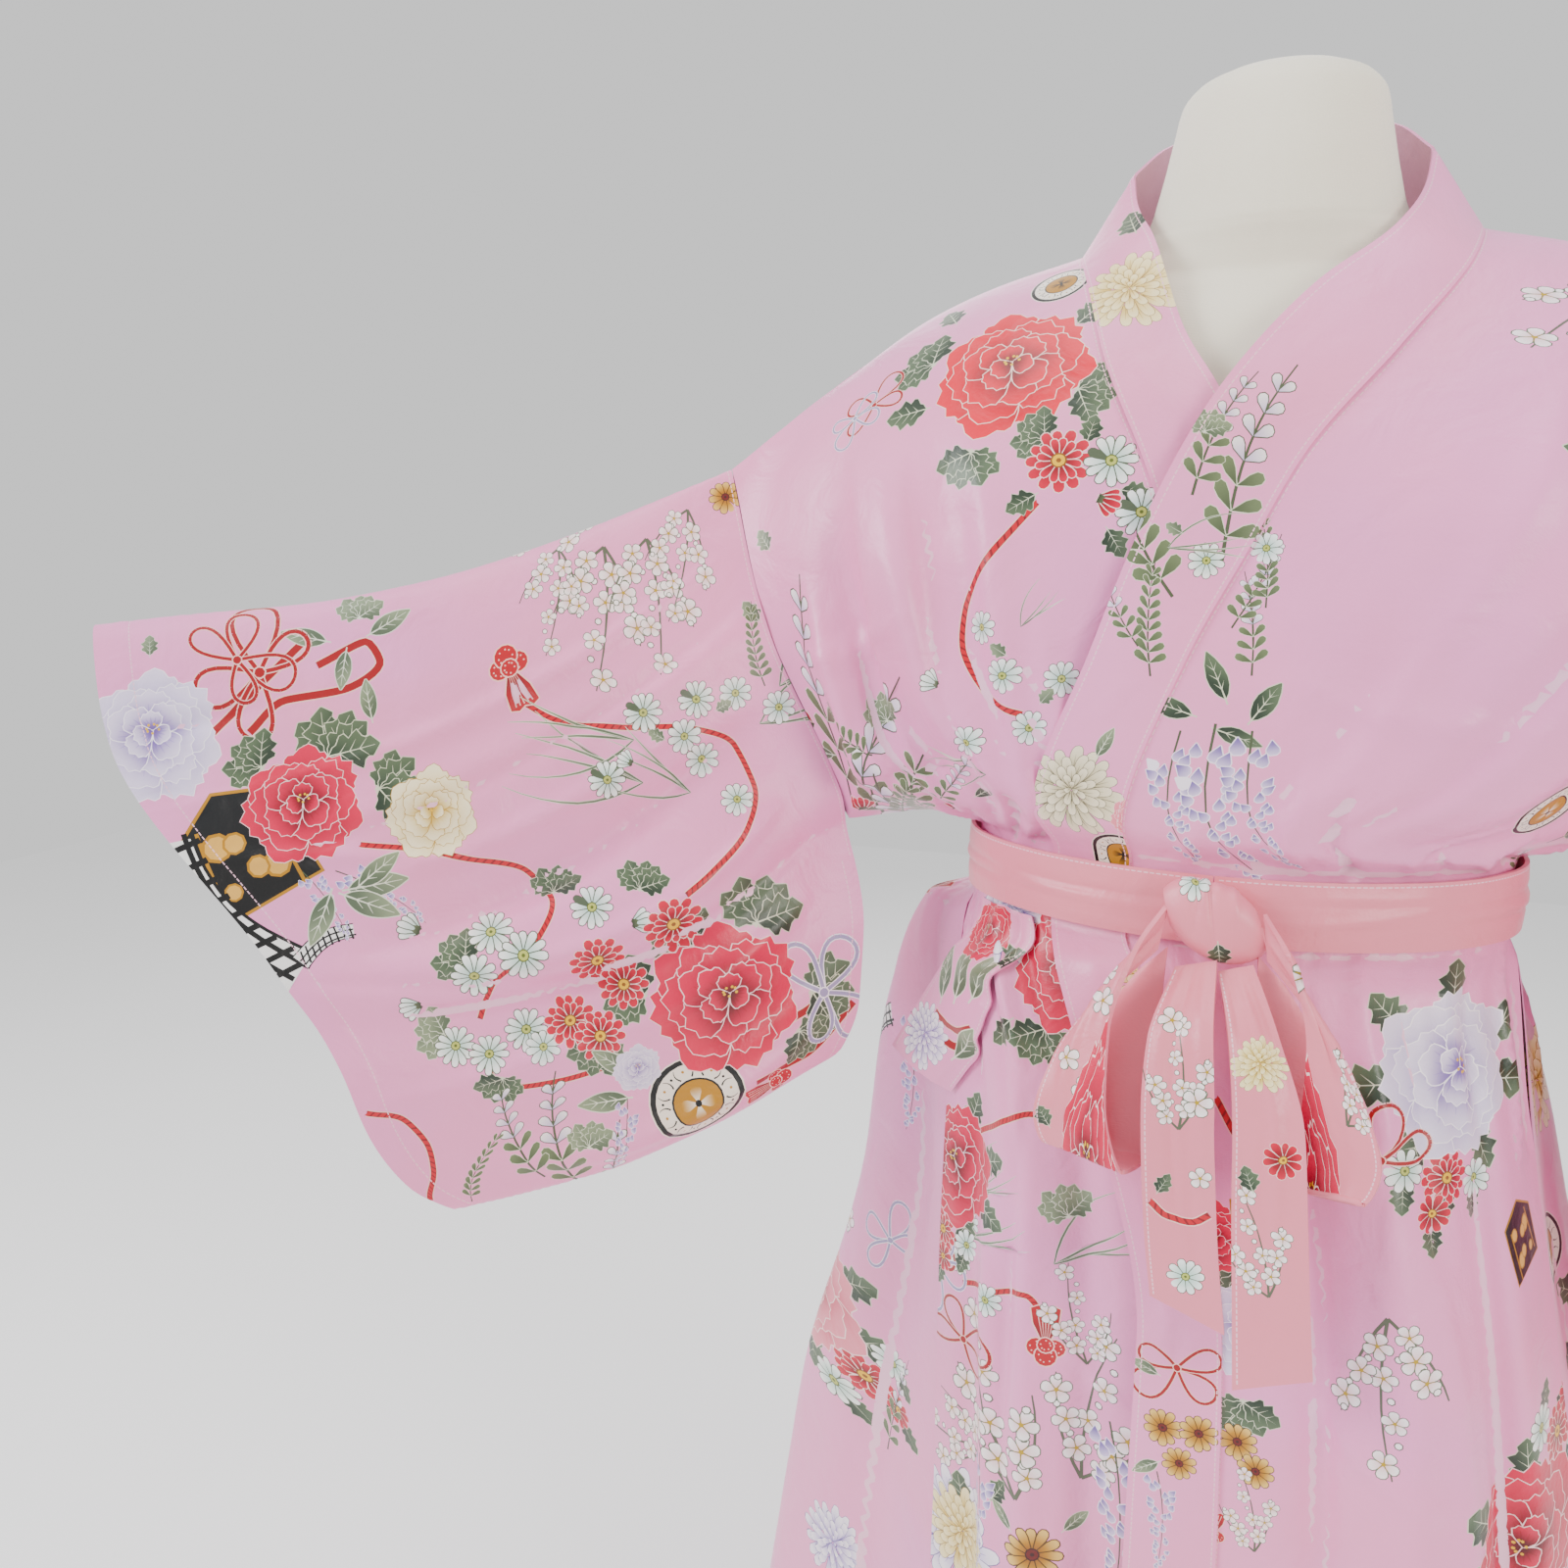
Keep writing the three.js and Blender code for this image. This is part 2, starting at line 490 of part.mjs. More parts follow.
// Columns of the fronts, just inside their edges. The back has the same ones along its shoulders.
const FRONT_SHARES = count(12).map((j) => mix(0.0008, 0.9992, j / 11));
const BACK_SHARES = [
  ...FRONT_SHARES.map((u) => NECK_START * (1 - u)).reverse(),
  ...count(7).map((j) => mix(NECK_START, NECK_END, (j + 1) / 8)),
  ...FRONT_SHARES.map((u) => NECK_END + NECK_START * u),
];
const panelGrid = (surface, shares) => LEVELS.map((v) => shares.map((u) => surface(u, v)));
clothWall("front_right", panelGrid(frontRight, FRONT_SHARES), satin, { uprightStart: true });
clothWall("front_left", panelGrid(frontLeft, FRONT_SHARES), satin, { uprightStart: true });
clothWall("back", panelGrid(back, BACK_SHARES), satin, { uprightStart: true });

buildSleeve("sleeve_right", SLEEVES.right, 14, folds([
  [0.24, 0.2, 0.05, 6, -100, 900, 250],
  [0.4, 0.22, 0.05, -7, -100, 1100, 300],
  [0.6, 0.05, 0.06, 8, -100, 1200, 300],
  [0.82, -0.15, 0.05, -6, 200, 1300, 300],
]));
buildSleeve("sleeve_left", SLEEVES.left, 9, folds([
  [0.3, 0, 0.07, 9, 100, 1400, 400],
  [0.5, 0, 0.06, -12, 100, 1400, 400],
  [0.7, 0, 0.07, 9, 100, 1400, 400],
]));

// ---------- neckband ----------
// One long band: up the right front's edge, standing round the back of the neck, and down the left front's.
// Its seam edge follows the panels, and these are its free edge's points beside each drop.
const BAND_RIM = table(["drop", "right", "left"], [
  [0, [-84, 9, 1477], [84, 9, 1477]],
  [20, [-80, -12, 1456], [80, -12, 1454]],
  [60, [-66, -50, 1427], [65, -50, 1426]],
  [130, [-45, -84, 1370], [22, -84, 1389]],
  [200, [-20, -108, 1328], [-24, -117, 1330]],
  [255, [6, -118, 1266], [-55, -138, 1265]],
  [320, [36, -122, 1182], [-82, -145, 1186]],
  [385, [64, -114, 1088], [-112, -124, 1091]],
  [480, [75, -113, 996], [-94, -128, 996]],
  [560, [92, -118, 916], [-66, -147, 916]],
  [700, [107, -127, 780], [-33, -159, 780]],
  [900, [113, -130, 580], [-33, -165, 580]],
  [1330, [121, -135, 150], [-30, -170, 150]],
]);
const RIM_AT_WAIST = { right: [29, SECOND_LAYER], left: [-39, UNDER_BELT] };
// The free edge behind the neck, from the wearer's right shoulder to the left.
const NECK_RIM = [V(-84, 9, 1477), V(-66, 44, 1501), V(-36, 67, 1513), V(0, 75, 1516)];

// The band's section from the seam to its free edge. It starts further from the seam where it stands up.
function bandStation(seam, rim, bulge, gap) {
  const start = seam.clone().lerp(rim, gap / seam.distanceTo(rim));
  return [start, start.clone().lerp(rim, 0.5).add(bulge), rim];
}

function bandSide(surface, side) {
  const waist = WAIST_LEVELS.map((drop) => ({ drop, at: waistPoint(...RIM_AT_WAIST[side], riseAt(drop)) }));
  const rows = [...BAND_RIM.map((row) => ({ drop: row.drop, at: row[side] })), ...waist];
  rows.sort((a, b) => a.drop - b.drop);
  const rim = (v) => through(rows.map((row) => row.drop), rows.map((row) => row.at), v);
  const gap = (v) => SEAM_GAP + mix(1.4, 0.6, smooth(v, 60, 250));
  return LEVELS.map((v) => bandStation(surface(FRONT_SHARES[0], v), rim(v), V(0, -1.5, 0), gap(v)));
}

function bandNeck() {
  const rims = [...NECK_RIM, ...NECK_RIM.slice(0, 3).map(mirrored).reverse()];
  const shares = rims.map((_, i) => i / 6);
  return count(9).slice(1, -1).map((i) => {
    const t = i / 8;
    return bandStation(back(mix(NECK_START, NECK_END, t), 0), through(shares, rims, t), V(0, 0, 0), 1.9);
  });
}
const band = [...bandSide(frontRight, "right").reverse(), ...bandNeck(), ...bandSide(frontLeft, "left")];
clothWall("neckband", band, satinBand);

// ---------- belt ----------
const BELT_LINES = [0.5, 0, -0.5];
const beltGrid = BELT_LINES.map((share) =>
  count(40).map((j) => waistPoint(9 * j, share === 0 ? -1.2 : 0, share * BELT_WIDTH)),
);
clothWall("belt", beltGrid, satinBelt, { closed: true, thick: BELT_THICK });

// ---------- bow ----------
// A strip follows a path of middle points, and across is half its width there.
function strip(name, rows, steps) {
  const path = table(["at", "across"], rows);
  const keys = path.map((_, i) => i / (path.length - 1));
  const grid = count(steps + 1).map((i) => {
    const middle = through(keys, path.map((row) => row.at), i / steps);
    const across = through(keys, path.map((row) => row.across), i / steps);
    return [-1, -0.33, 0.33, 1].map((share) => middle.clone().addScaledVector(across, share));
  });
  clothWall(name, grid, satinBelt, { thick: BELT_THICK });
}

// The knot is one turn of the belt drawn tight: a short barrel, fuller in the middle, with soft creases.
const KNOT = { at: V(-6, -147.3, 1038), length: 50, radiusY: 13, radiusZ: 22 };
function buildKnot() {
  const rings = count(9).map((i) => {
    const t = i / 4 - 1;
    const round = Math.sqrt(1.02 - 0.84 * t * t);
    return count(18).map((j) => {
      const a = (2 * Math.PI * j) / 18;
      const size = round * (1 + 0.05 * Math.cos(3 * a + 2 * t));
      const x = (KNOT.length / 2) * t + 3 * Math.sin(a);
      return V(x, -KNOT.radiusY * size * Math.cos(a), KNOT.radiusZ * size * Math.sin(a) - 4 * t).add(KNOT.at);
    });
  });
  const end = (side) => V((side * KNOT.length) / 2, 0, -4 * side).add(KNOT.at);
  stackedRings("bow_knot", rings, end(-1), end(1), satinBelt);
}
buildKnot();

// Each loop droops from the knot, turns at its foot and goes back up behind.
const LOOP = [
  [[-33.5, -153, 1032], [2, 0, 13]],
  [[-56, -170, 1004], [9, -4, 16]],
  [[-72, -181, 966], [15, -6, 12]],
  [[-76, -188, 930], [20, -6, 5]],
  [[-67, -188, 902], [22, -8, -2]],
  [[-55, -176, 904], [22, 0, -3]],
  [[-52, -165, 940], [20, 0, 2]],
  [[-46, -156, 985], [15, 0, 6]],
  [[-37, -150, 1012], [7, 0, 8]],
];
const otherSide = ([at, half]) => [[2 * KNOT.at.x - at[0], at[1], at[2]], [-half[0], -half[1], half[2]]];
strip("bow_loop_right", LOOP, 24);
strip("bow_loop_left", LOOP.map(otherSide), 24);
// The two ends hang from under the knot, cut on a slant.
strip("tie_end_right", [
  [[-14, -156, 1013], [11, 0, 3]],
  [[-19, -188, 978], [17, -3, 2]],
  [[-18, -196, 940], [19, 0, 0]],
  [[-15, -199, 900], [19, 2, 1]],
  [[-11, -199, 860], [19.5, 0, -3]],
  [[-6, -199, 824], [20, -1, -7]],
], 14);
strip("tie_end_left", [
  [[7, -156, 1013], [9, 0, 3]],
  [[19, -183, 980], [14, 3, -2]],
  [[28, -194, 940], [18, 1, -1]],
  [[32, -198, 890], [19, -2, 1]],
  [[36, -199, 840], [19.5, 0, 3]],
  [[40, -199, 792], [20, 1, 7]],
], 14);

// ---------- pocket welt ----------
// A slanted welt. Its inner edge lies on the right front, and its outer edge, the pocket's mouth, stands
// past the side seam. Both edges start on the panel, at the belt.
const WELT_LIFT = WALL + SEAM_GAP + 2; // enough to clear the panel between its rows
function onFrontRight(u, v) {
  const p = frontRight(u, v);
  const across = frontRight(u + 0.01, v).sub(frontRight(u - 0.01, v));
  const down = frontRight(u, v + 2).sub(frontRight(u, v - 2));
  return p.addScaledVector(across.cross(down).normalize(), WELT_LIFT);
}
const WELT_TOP = { inner: 0.45, outer: 0.74, drop: 458 }; // shares of the panel's width, at the belt
const WELT_FOOT = { inner: 0.95, drop: 594 };
const WELT_MOUTH = V(-212, -44, 898); // foot of the outer edge
const weltGrid = count(11).map((i) => {
  const place = i / 10;
  const drop = mix(WELT_TOP.drop, WELT_FOOT.drop, place);
  const inner = onFrontRight(mix(WELT_TOP.inner, WELT_FOOT.inner, place), drop);
  const outer = onFrontRight(WELT_TOP.outer, WELT_TOP.drop).lerp(WELT_MOUTH, place);
  return [0, 0.33, 0.67, 1].map((t) => {
    const lying = onFrontRight(mix(WELT_TOP.inner, WELT_TOP.outer, t), drop);
    const standing = inner.clone().lerp(outer, t).add(V(0, -8 * Math.sin(Math.PI * t), 0));
    return lying.lerp(standing, smooth(place, 0, 0.35));
  });
});
clothWall("pocket_welt", weltGrid, satinBand);

// ---------- dress form ----------
// Rings up the torso: half its width, and its reach in front and behind.
const FORM = table(["z", "half", "front", "back"], [
  [FORM_BOTTOM, 148, 86, 92],
  [788, 163, 97, 104],
  [850, 167, 101, 110],
  [905, 162, 99, 105],
  [970, 149, 93, 92],
  [1040, 137, 89, 84],
  [1110, 140, 94, 86],
  [1180, 150, 107, 92],
  [1240, 159, 115, 96],
  [1290, 163, 107, 96],
  [1330, 172, 92, 91],
  [1362, 184, 78, 80],
  [1382, 185, 68, 68],
  [1396, 168, 59, 58],
  [1408, 134, 53, 52],
  [1420, 97, 55, 53],
  [1436, 75, 60, 55],
  [1462, 67, 60, 55],
  [1490, 61, 57, 53],
  [1508, 57, 53, 50],
  [1518, 49, 46, 44],
  [1524, 36, 34, 32],
]);
const TORSO_SQUARENESS = 0.9;
function buildForm() {
  const rings = FORM.map(({ z, half, front, back: behind }) =>
    count(26).map((j) => {
      const a = (2 * Math.PI * j) / 26;
      const power = z < 1400 ? TORSO_SQUARENESS : 1;
      const across = Math.sign(Math.sin(a)) * Math.abs(Math.sin(a)) ** power;
      const ahead = Math.sign(Math.cos(a)) * Math.abs(Math.cos(a)) ** power;
      return V(half * across, -(ahead > 0 ? front : behind) * ahead, z);
    }),
  );
  stackedRings("form_torso", rings, V(0, 0, FORM_BOTTOM), V(0, 0, 1527), jersey);
}
buildForm();

// The pole stands on the base and meets the torso's underside.
function turned(name, profile, sides) {
  const geometry = new THREE.LatheGeometry(profile.map(([r, z]) => new THREE.Vector2(r, z)), sides);
  geometry.rotateX(Math.PI / 2);
  const mesh = new THREE.Mesh(geometry, steel);
  mesh.name = name;
  robe.add(mesh);
}
turned("form_pole", [
  [0, BASE_THICK + SEAM_GAP],
  [30, BASE_THICK + SEAM_GAP],
  [30, BASE_THICK + 10],
  [POLE_RADIUS, BASE_THICK + 18],
  [POLE_RADIUS, FORM_BOTTOM - 20],
  [34, FORM_BOTTOM - 12],
  [34, FORM_BOTTOM - SEAM_GAP],
  [0, FORM_BOTTOM - SEAM_GAP],
], 18);
turned("form_base", [
  [0, 0],
  [BASE_RADIUS - 2, 0],
  [BASE_RADIUS, 2],
  [BASE_RADIUS, 7],
  [BASE_RADIUS - 8, 12],
  [40, BASE_THICK],
  [0, BASE_THICK],
], 40);

export default robe;
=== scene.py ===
import bpy
import numpy as np
from mathutils import Euler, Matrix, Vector
from mathutils.bvhtree import BVHTree
from mathutils.geometry import delaunay_2d_cdt


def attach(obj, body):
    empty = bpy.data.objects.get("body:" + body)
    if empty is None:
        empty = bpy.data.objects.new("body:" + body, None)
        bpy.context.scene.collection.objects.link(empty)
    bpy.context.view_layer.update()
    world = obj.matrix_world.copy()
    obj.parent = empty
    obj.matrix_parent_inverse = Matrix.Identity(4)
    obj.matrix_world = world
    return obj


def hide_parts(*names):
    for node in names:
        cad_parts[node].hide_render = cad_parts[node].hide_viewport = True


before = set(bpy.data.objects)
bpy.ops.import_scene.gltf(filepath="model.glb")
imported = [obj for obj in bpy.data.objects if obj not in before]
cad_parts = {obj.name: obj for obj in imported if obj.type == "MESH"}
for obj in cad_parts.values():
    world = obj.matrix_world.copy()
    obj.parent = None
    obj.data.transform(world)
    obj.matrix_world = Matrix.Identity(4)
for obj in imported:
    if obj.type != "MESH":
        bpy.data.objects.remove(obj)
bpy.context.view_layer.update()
bpy.ops.object.select_all(action="DESELECT")


# ---------- The dress form ----------
# A headless, armless ladies' form: a moulded body covered in ivory jersey cut in panels, on a steel pole and base.
# Its rings are a smooth curve through rows of sizes in millimetres, grooved along the panel seams.


def smooth(x, start, end):
    t = np.clip((x - start) / (end - start), 0, 1)
    return t * t * (3 - 2 * t)


def mix(a, b, t):
    return a + (b - a) * t


def curve(keys, values, t):
    """A smooth curve through values at keys, which never swings past its own points."""
    keys, values, t = (np.asarray(x, float) for x in (keys, values, t))
    flat = values.reshape(len(keys), -1)
    chord = np.diff(flat, axis=0) / np.diff(keys)[:, None]
    product, total = chord[:-1] * chord[1:], chord[:-1] + chord[1:]
    inner = np.where(product > 0, 2 * product / np.where(total == 0, 1, total), 0)
    slope = np.concatenate([chord[:1], inner, chord[-1:]])
    i = np.clip(np.searchsorted(keys, t) - 1, 0, len(keys) - 2)
    gap = (keys[i + 1] - keys[i])[:, None]
    x = (t - keys[i])[:, None] / gap
    bend = gap * x * (1 - x) * ((1 - x) * slope[i] - x * slope[i + 1])
    found = mix(flat[i], flat[i + 1], x * x * (3 - 2 * x)) + bend
    return found.reshape((len(t),) + values.shape[1:])


def node(tree, kind, links=None, **settings):
    """A shader node, with values or links for its sockets."""
    made = tree.nodes.new(kind)
    for key, value in settings.items():
        setattr(made, key, value)
    for socket, value in (links or {}).items():
        if isinstance(value, bpy.types.NodeSocket):
            tree.links.new(value, made.inputs[socket])
        else:
            made.inputs[socket].default_value = value
    return made


def new_material(name):
    """An empty material, its nodes and its surface shader."""
    made = bpy.data.materials.new(name)
    made.use_nodes = True
    return made, made.node_tree, made.node_tree.nodes["Principled BSDF"]


FORM_FOOT, FORM_TOP = 770, 1527
FORM = [  # height, half the width, and the reach in front and behind
    (FORM_FOOT, 148, 86, 92), (788, 163, 97, 104), (850, 167, 101, 110), (905, 162, 99, 105), (970, 149, 93, 92),
    (1040, 137, 89, 84), (1110, 140, 94, 86), (1180, 150, 107, 92), (1240, 159, 115, 96), (1290, 163, 107, 96),
    (1330, 172, 92, 91), (1362, 184, 78, 80), (1382, 185, 68, 68), (1396, 168, 59, 58), (1408, 134, 53, 52),
    (1420, 97, 55, 53), (1436, 75, 60, 55), (1462, 67, 60, 55), (1490, 61, 57, 53), (1508, 57, 53, 50),
    (1518, 49, 46, 44),
    (1524, 36, 34, 32),
]
NECK_FOOT, SHOULDER_TOP, NECK_SEAM, COVER_TOP = 1408, 1396, 1432, 1500  # heights
SQUARE = 0.9  # under 1 makes the trunk a little flatter in front and behind
SEAMS = (0, 62, 118, 180, 242, 298)  # degrees round from the middle of the front
GROOVE = 0.0045  # a seam groove's depth, as a share of the body's size there
sides, rings = 180, 230
angle = np.linspace(0, 2 * np.pi, sides, endpoint=False)
heights = np.array([row[0] for row in FORM], float)
z = np.interp(np.linspace(0, 1, rings), np.linspace(0, 1, len(FORM)), heights)
half, front, behind = curve(heights, [row[1:] for row in FORM], z).T
power = np.where(z < SHOULDER_TOP, SQUARE, mix(SQUARE, 1, smooth(z, SHOULDER_TOP, NECK_FOOT)))[:, None]
across = np.sign(np.sin(angle)) * np.abs(np.sin(angle)) ** power
ahead = np.sign(np.cos(angle)) * np.abs(np.cos(angle)) ** power
reach = np.where(ahead > 0, front[:, None], behind[:, None])
groove = sum(np.exp(-(((np.degrees(angle) - seam + 180) % 360 - 180) / 1.1) ** 2) for seam in SEAMS)
size = 1 - GROOVE * groove[None, :] * (z < COVER_TOP)[:, None]
size = size - GROOVE * np.exp(-(((z - NECK_SEAM) / 1.6) ** 2))[:, None]
points = np.stack([half[:, None] * across * size, -reach * ahead * size, z[:, None] + 0 * ahead], -1).reshape(-1, 3)
points = np.concatenate([points, [(0, 0, FORM_FOOT), (0, 0, FORM_TOP)]]) * 0.001
faces = []
for i in range(rings - 1):
    for j in range(sides):
        k = (j + 1) % sides
        faces.append((i * sides + j, i * sides + k, (i + 1) * sides + k, (i + 1) * sides + j))
for j in range(sides):
    k = (j + 1) % sides
    faces.append((len(points) - 2, k, j))
    faces.append((len(points) - 1, (rings - 1) * sides + j, (rings - 1) * sides + k))
mesh = bpy.data.meshes.new("form_jersey")
mesh.from_pydata(points.tolist(), [], faces)
mesh.update()
form_body = bpy.data.objects.new("form_jersey", mesh)
bpy.context.collection.objects.link(form_body)
bpy.context.view_layer.objects.active = form_body
form_body.select_set(True)
bpy.ops.object.shade_smooth()
bpy.ops.object.mode_set(mode="EDIT")
bpy.ops.mesh.select_all(action="SELECT")
bpy.ops.mesh.normals_make_consistent(inside=False)
bpy.ops.object.mode_set(mode="OBJECT")
bpy.ops.object.select_all(action="DESELECT")

jersey, tree, surface = new_material("jersey")
place = node(tree, "ShaderNodeTexCoord").outputs["Object"]
ribs = node(
    tree, "ShaderNodeTexWave", {"Vector": place, "Scale": 420.0, "Distortion": 1.5, "Detail": 2.0, "Detail Scale": 3.0},
    bands_direction="X",
)
courses = node(
    tree, "ShaderNodeTexWave", {"Vector": place, "Scale": 330.0, "Distortion": 1.0, "Detail": 1.0}, bands_direction="Z"
)
wear = node(tree, "ShaderNodeTexNoise", {"Vector": place, "Scale": 7.0, "Detail": 6.0, "Roughness": 0.6})
ivory = node(
    tree, "ShaderNodeMix", {0: wear.outputs["Fac"], 6: (0.80, 0.735, 0.58, 1), 7: (0.90, 0.85, 0.70, 1)},
    data_type="RGBA",
)
tree.links.new(ivory.outputs[2], surface.inputs["Base Color"])
fuzz = node(tree, "ShaderNodeMapRange", {"Value": wear.outputs["Fac"], 3: 0.72, 4: 0.88})
tree.links.new(fuzz.outputs["Result"], surface.inputs["Roughness"])
knit = node(tree, "ShaderNodeMath", {0: ribs.outputs["Fac"], 1: courses.outputs["Fac"]}, operation="MULTIPLY")
stretch = node(tree, "ShaderNodeBump", {"Height": knit.outputs[0], "Strength": 0.35, "Distance": 0.0003})
tree.links.new(stretch.outputs["Normal"], surface.inputs["Normal"])
surface.inputs["Sheen Weight"].default_value = 0.35
surface.inputs["Sheen Roughness"].default_value = 0.6
mesh.materials.append(jersey)
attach(form_body, "root")
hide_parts("form_torso")

steel, tree, surface = new_material("brushed_steel")
place = node(tree, "ShaderNodeTexCoord").outputs["Object"]
drawn = node(tree, "ShaderNodeMapping", {"Vector": place, "Scale": (900.0, 900.0, 14.0)})
lines = node(tree, "ShaderNodeTexNoise", {"Vector": drawn.outputs["Vector"], "Scale": 1.0, "Detail": 3.0})
smears = node(tree, "ShaderNodeTexNoise", {"Vector": place, "Scale": 16.0, "Detail": 5.0})
grey = node(
    tree, "ShaderNodeMix", {0: smears.outputs["Fac"], 6: (0.50, 0.50, 0.50, 1), 7: (0.66, 0.66, 0.65, 1)},
    data_type="RGBA",
)
tree.links.new(grey.outputs[2], surface.inputs["Base Color"])
worn = node(tree, "ShaderNodeMapRange", {"Value": smears.outputs["Fac"], 3: 0.24, 4: 0.42})
tree.links.new(worn.outputs["Result"], surface.inputs["Roughness"])
scored = node(tree, "ShaderNodeBump", {"Height": lines.outputs["Fac"], "Strength": 0.25, "Distance": 0.0002})
tree.links.new(scored.outputs["Normal"], surface.inputs["Normal"])
surface.inputs["Metallic"].default_value = 1.0
for name in ("form_pole", "form_base"):
    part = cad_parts[name]
    part = bpy.data.objects[part] if isinstance(part, str) else part
    part.data.materials.clear()
    part.data.materials.append(steel)


# ---------- The printed satin ----------
# Polyester satin: fine long floats that shine across the cloth, a pebbled hand, small crumples, and inks that sink in
# unevenly. It is printed with common garden flowers, leaves, twisted cords and tassels, each with a fine pale edge.
# A motif is a list of inked shapes in its own millimetres: outline, where its shading starts and ends, and two inks.


def ink(code):
    """The linear colour of a six-digit ink code."""
    shade = np.array([int(code[i : i + 2], 16) / 255 for i in (0, 2, 4)])
    return np.where(shade <= 0.04045, shade / 12.92, ((shade + 0.055) / 1.055) ** 2.4)


def uneven(i, k=1.0):
    """A fixed number from -1 to 1 for the i-th of something, so that nothing repeats exactly."""
    return 2 * ((np.sin(i * 12.9898 + k * 78.233) * 43758.5453) % 1) - 1


def turned(points, angle):
    c, s = np.cos(angle), np.sin(angle)
    return points @ np.array([[c, s], [-s, c]])


def unit(vectors, least=1e-9):
    return vectors / np.maximum(np.linalg.norm(vectors, axis=-1, keepdims=True), least)


def signed_area(outline):
    """The area inside an outline, positive where its points run anticlockwise."""
    x, y = outline[:, 0], outline[:, 1]
    return np.sum(x * np.roll(y, -1) - y * np.roll(x, -1)) / 2


def grown(outline, by):
    """An outline moved outwards."""
    step = np.roll(outline, -1, axis=0) - np.roll(outline, 1, axis=0)
    normal = np.stack([step[:, 1], -step[:, 0]], 1) * np.sign(signed_area(outline))
    return outline + by * unit(normal, 1e-6)


def stroke(path, start, end, rounded=False):
    """A brush stroke along a path, from one width to another."""
    path = np.asarray(path, float)
    step = np.gradient(path, axis=0)
    normal = unit(np.stack([-step[:, 1], step[:, 0]], 1), 1e-6)
    width = np.linspace(start, end, len(path))[:, None] / 2
    if rounded:
        width = width * np.sin(np.linspace(0.12, np.pi - 0.12, len(path)))[:, None] ** 0.5
    return np.concatenate([path - normal * width, (path + normal * width)[::-1]])


def bent(length, bow, points=8, lean=0.0):
    """A path that runs up from nothing and bows to one side."""
    t = np.linspace(0, 1, points)
    return np.stack([bow * 4 * t * (1 - t) + lean * t * t, length * t], 1)


def petal(start, end, half, square=0.6, lobes=0, ruffle=0.0, bend=0.0, points=13):
    """A petal that points up, from one radius to another, half as wide as that angle each side."""
    turn = np.linspace(0, np.pi, points)
    wide = np.cos(turn)
    angle = half * np.sign(wide) * np.abs(wide) ** 0.85
    reach = start + (end - start) * np.sin(turn) ** square * (1 + ruffle * np.cos(2 * np.pi * lobes * wide))
    return np.stack([reach * np.sin(angle) + bend * (reach / end) ** 2, reach * np.cos(angle)], 1)


def edged(outline, edge, width, base, tip, inner, outer):
    """A shape with a fine edge round it, shaded from one ink to another."""
    return [(grown(outline, width), base, tip, edge, edge), (outline, base, tip, inner, outer)]


def at(shapes, x=0.0, y=0.0, turn=0.0, scale=1.0):
    """A motif's shapes, scaled, turned and moved."""
    move = np.array([x, y])
    return [
        (turned(np.asarray(o, float) * scale, turn) + move, turned(np.array([p]) * scale, turn)[0] + move,
         turned(np.array([q]) * scale, turn)[0] + move, c0, c1)
        for o, p, q, c0, c1 in shapes
    ]


def dot(radius, colour, x=0.0, y=0.0, sides=8):
    turn = np.linspace(0, 2 * np.pi, sides, endpoint=False)
    outline = np.stack([x + radius * np.cos(turn), y + radius * np.sin(turn)], 1)
    return [(outline, (x, y), (x, y + radius), colour, colour)]


PEONY_INKS = {  # heart, middle, rim and edge
    "red": ("7c0c2a", "bd2244", "e66480", "fde6e6"), "rose": ("b83656", "dc6a84", "f5b6c2", "fdeceb"),
    "lilac": ("9a86bf", "bdaed9", "ece6f5", "fdfbff"), "cream": ("d9c27e", "eee0ae", "fbf6de", "c6a95c"),
    "coral": ("8c1028", "cf2f44", "f07a84", "fde8e2"),
}
PEONY_RINGS = [  # petals, where they start and end, and half of each one's angle
    (7, 0.2, 1.0, 0.6), (6, 0.15, 0.84, 0.64), (6, 0.1, 0.64, 0.66), (4, 0.06, 0.46, 0.82), (3, 0.0, 0.27, 0.95),
]


def peony(size, kind="red", streaks=(-0.62, -0.32, 0.04, 0.36, 0.6)):
    """A full garden peony: rings of ruffled petals, darkest at their feet."""
    heart, middle, rim, edge = (ink(c) for c in PEONY_INKS[kind])
    shapes, k = [], 0
    for ring, (number, start, end, half) in enumerate(PEONY_RINGS):
        for i in range(number):
            k += 1
            reach = end * (1 + 0.07 * uneven(k))
            outline = petal(start, reach, half * (1 + 0.14 * uneven(k, 2)), 0.5, 3 + k % 2, 0.07, 0, 17)
            deep = heart if ring > 1 else mix(heart, middle, 0.45)
            made = edged(outline, edge, 0.014, (0, start), (0, reach), deep, rim)
            for j in streaks:
                foot, top = start + 0.1 * (reach - start), reach * (0.8 - 0.1 * abs(uneven(k + j)))
                side = j * half
                far = side * 1.1
                line = [(foot * np.sin(side), foot * np.cos(side)), (top * np.sin(far), top * np.cos(far))]
                made.append((stroke(line, 0.05, 0.006), (0, foot), (0, top), heart, mix(middle, rim, 0.3)))
            turn = 2 * np.pi * (i + 0.5 * (ring % 2)) / number + 0.12 * uneven(k, 3)
            shapes += at(made, 0, 0.16 * (1 - end), turn)
    seeds = [ink("f3d77a"), ink("8c6a22")]
    for i in range(7):
        seed = seeds[i % 2 if kind == "cream" else 0]
        shapes += dot(0.022, seed, 0.09 * np.cos(i * 2.4), 0.15 + 0.07 * np.sin(i * 2.4), 6)
    return at(shapes, scale=size)


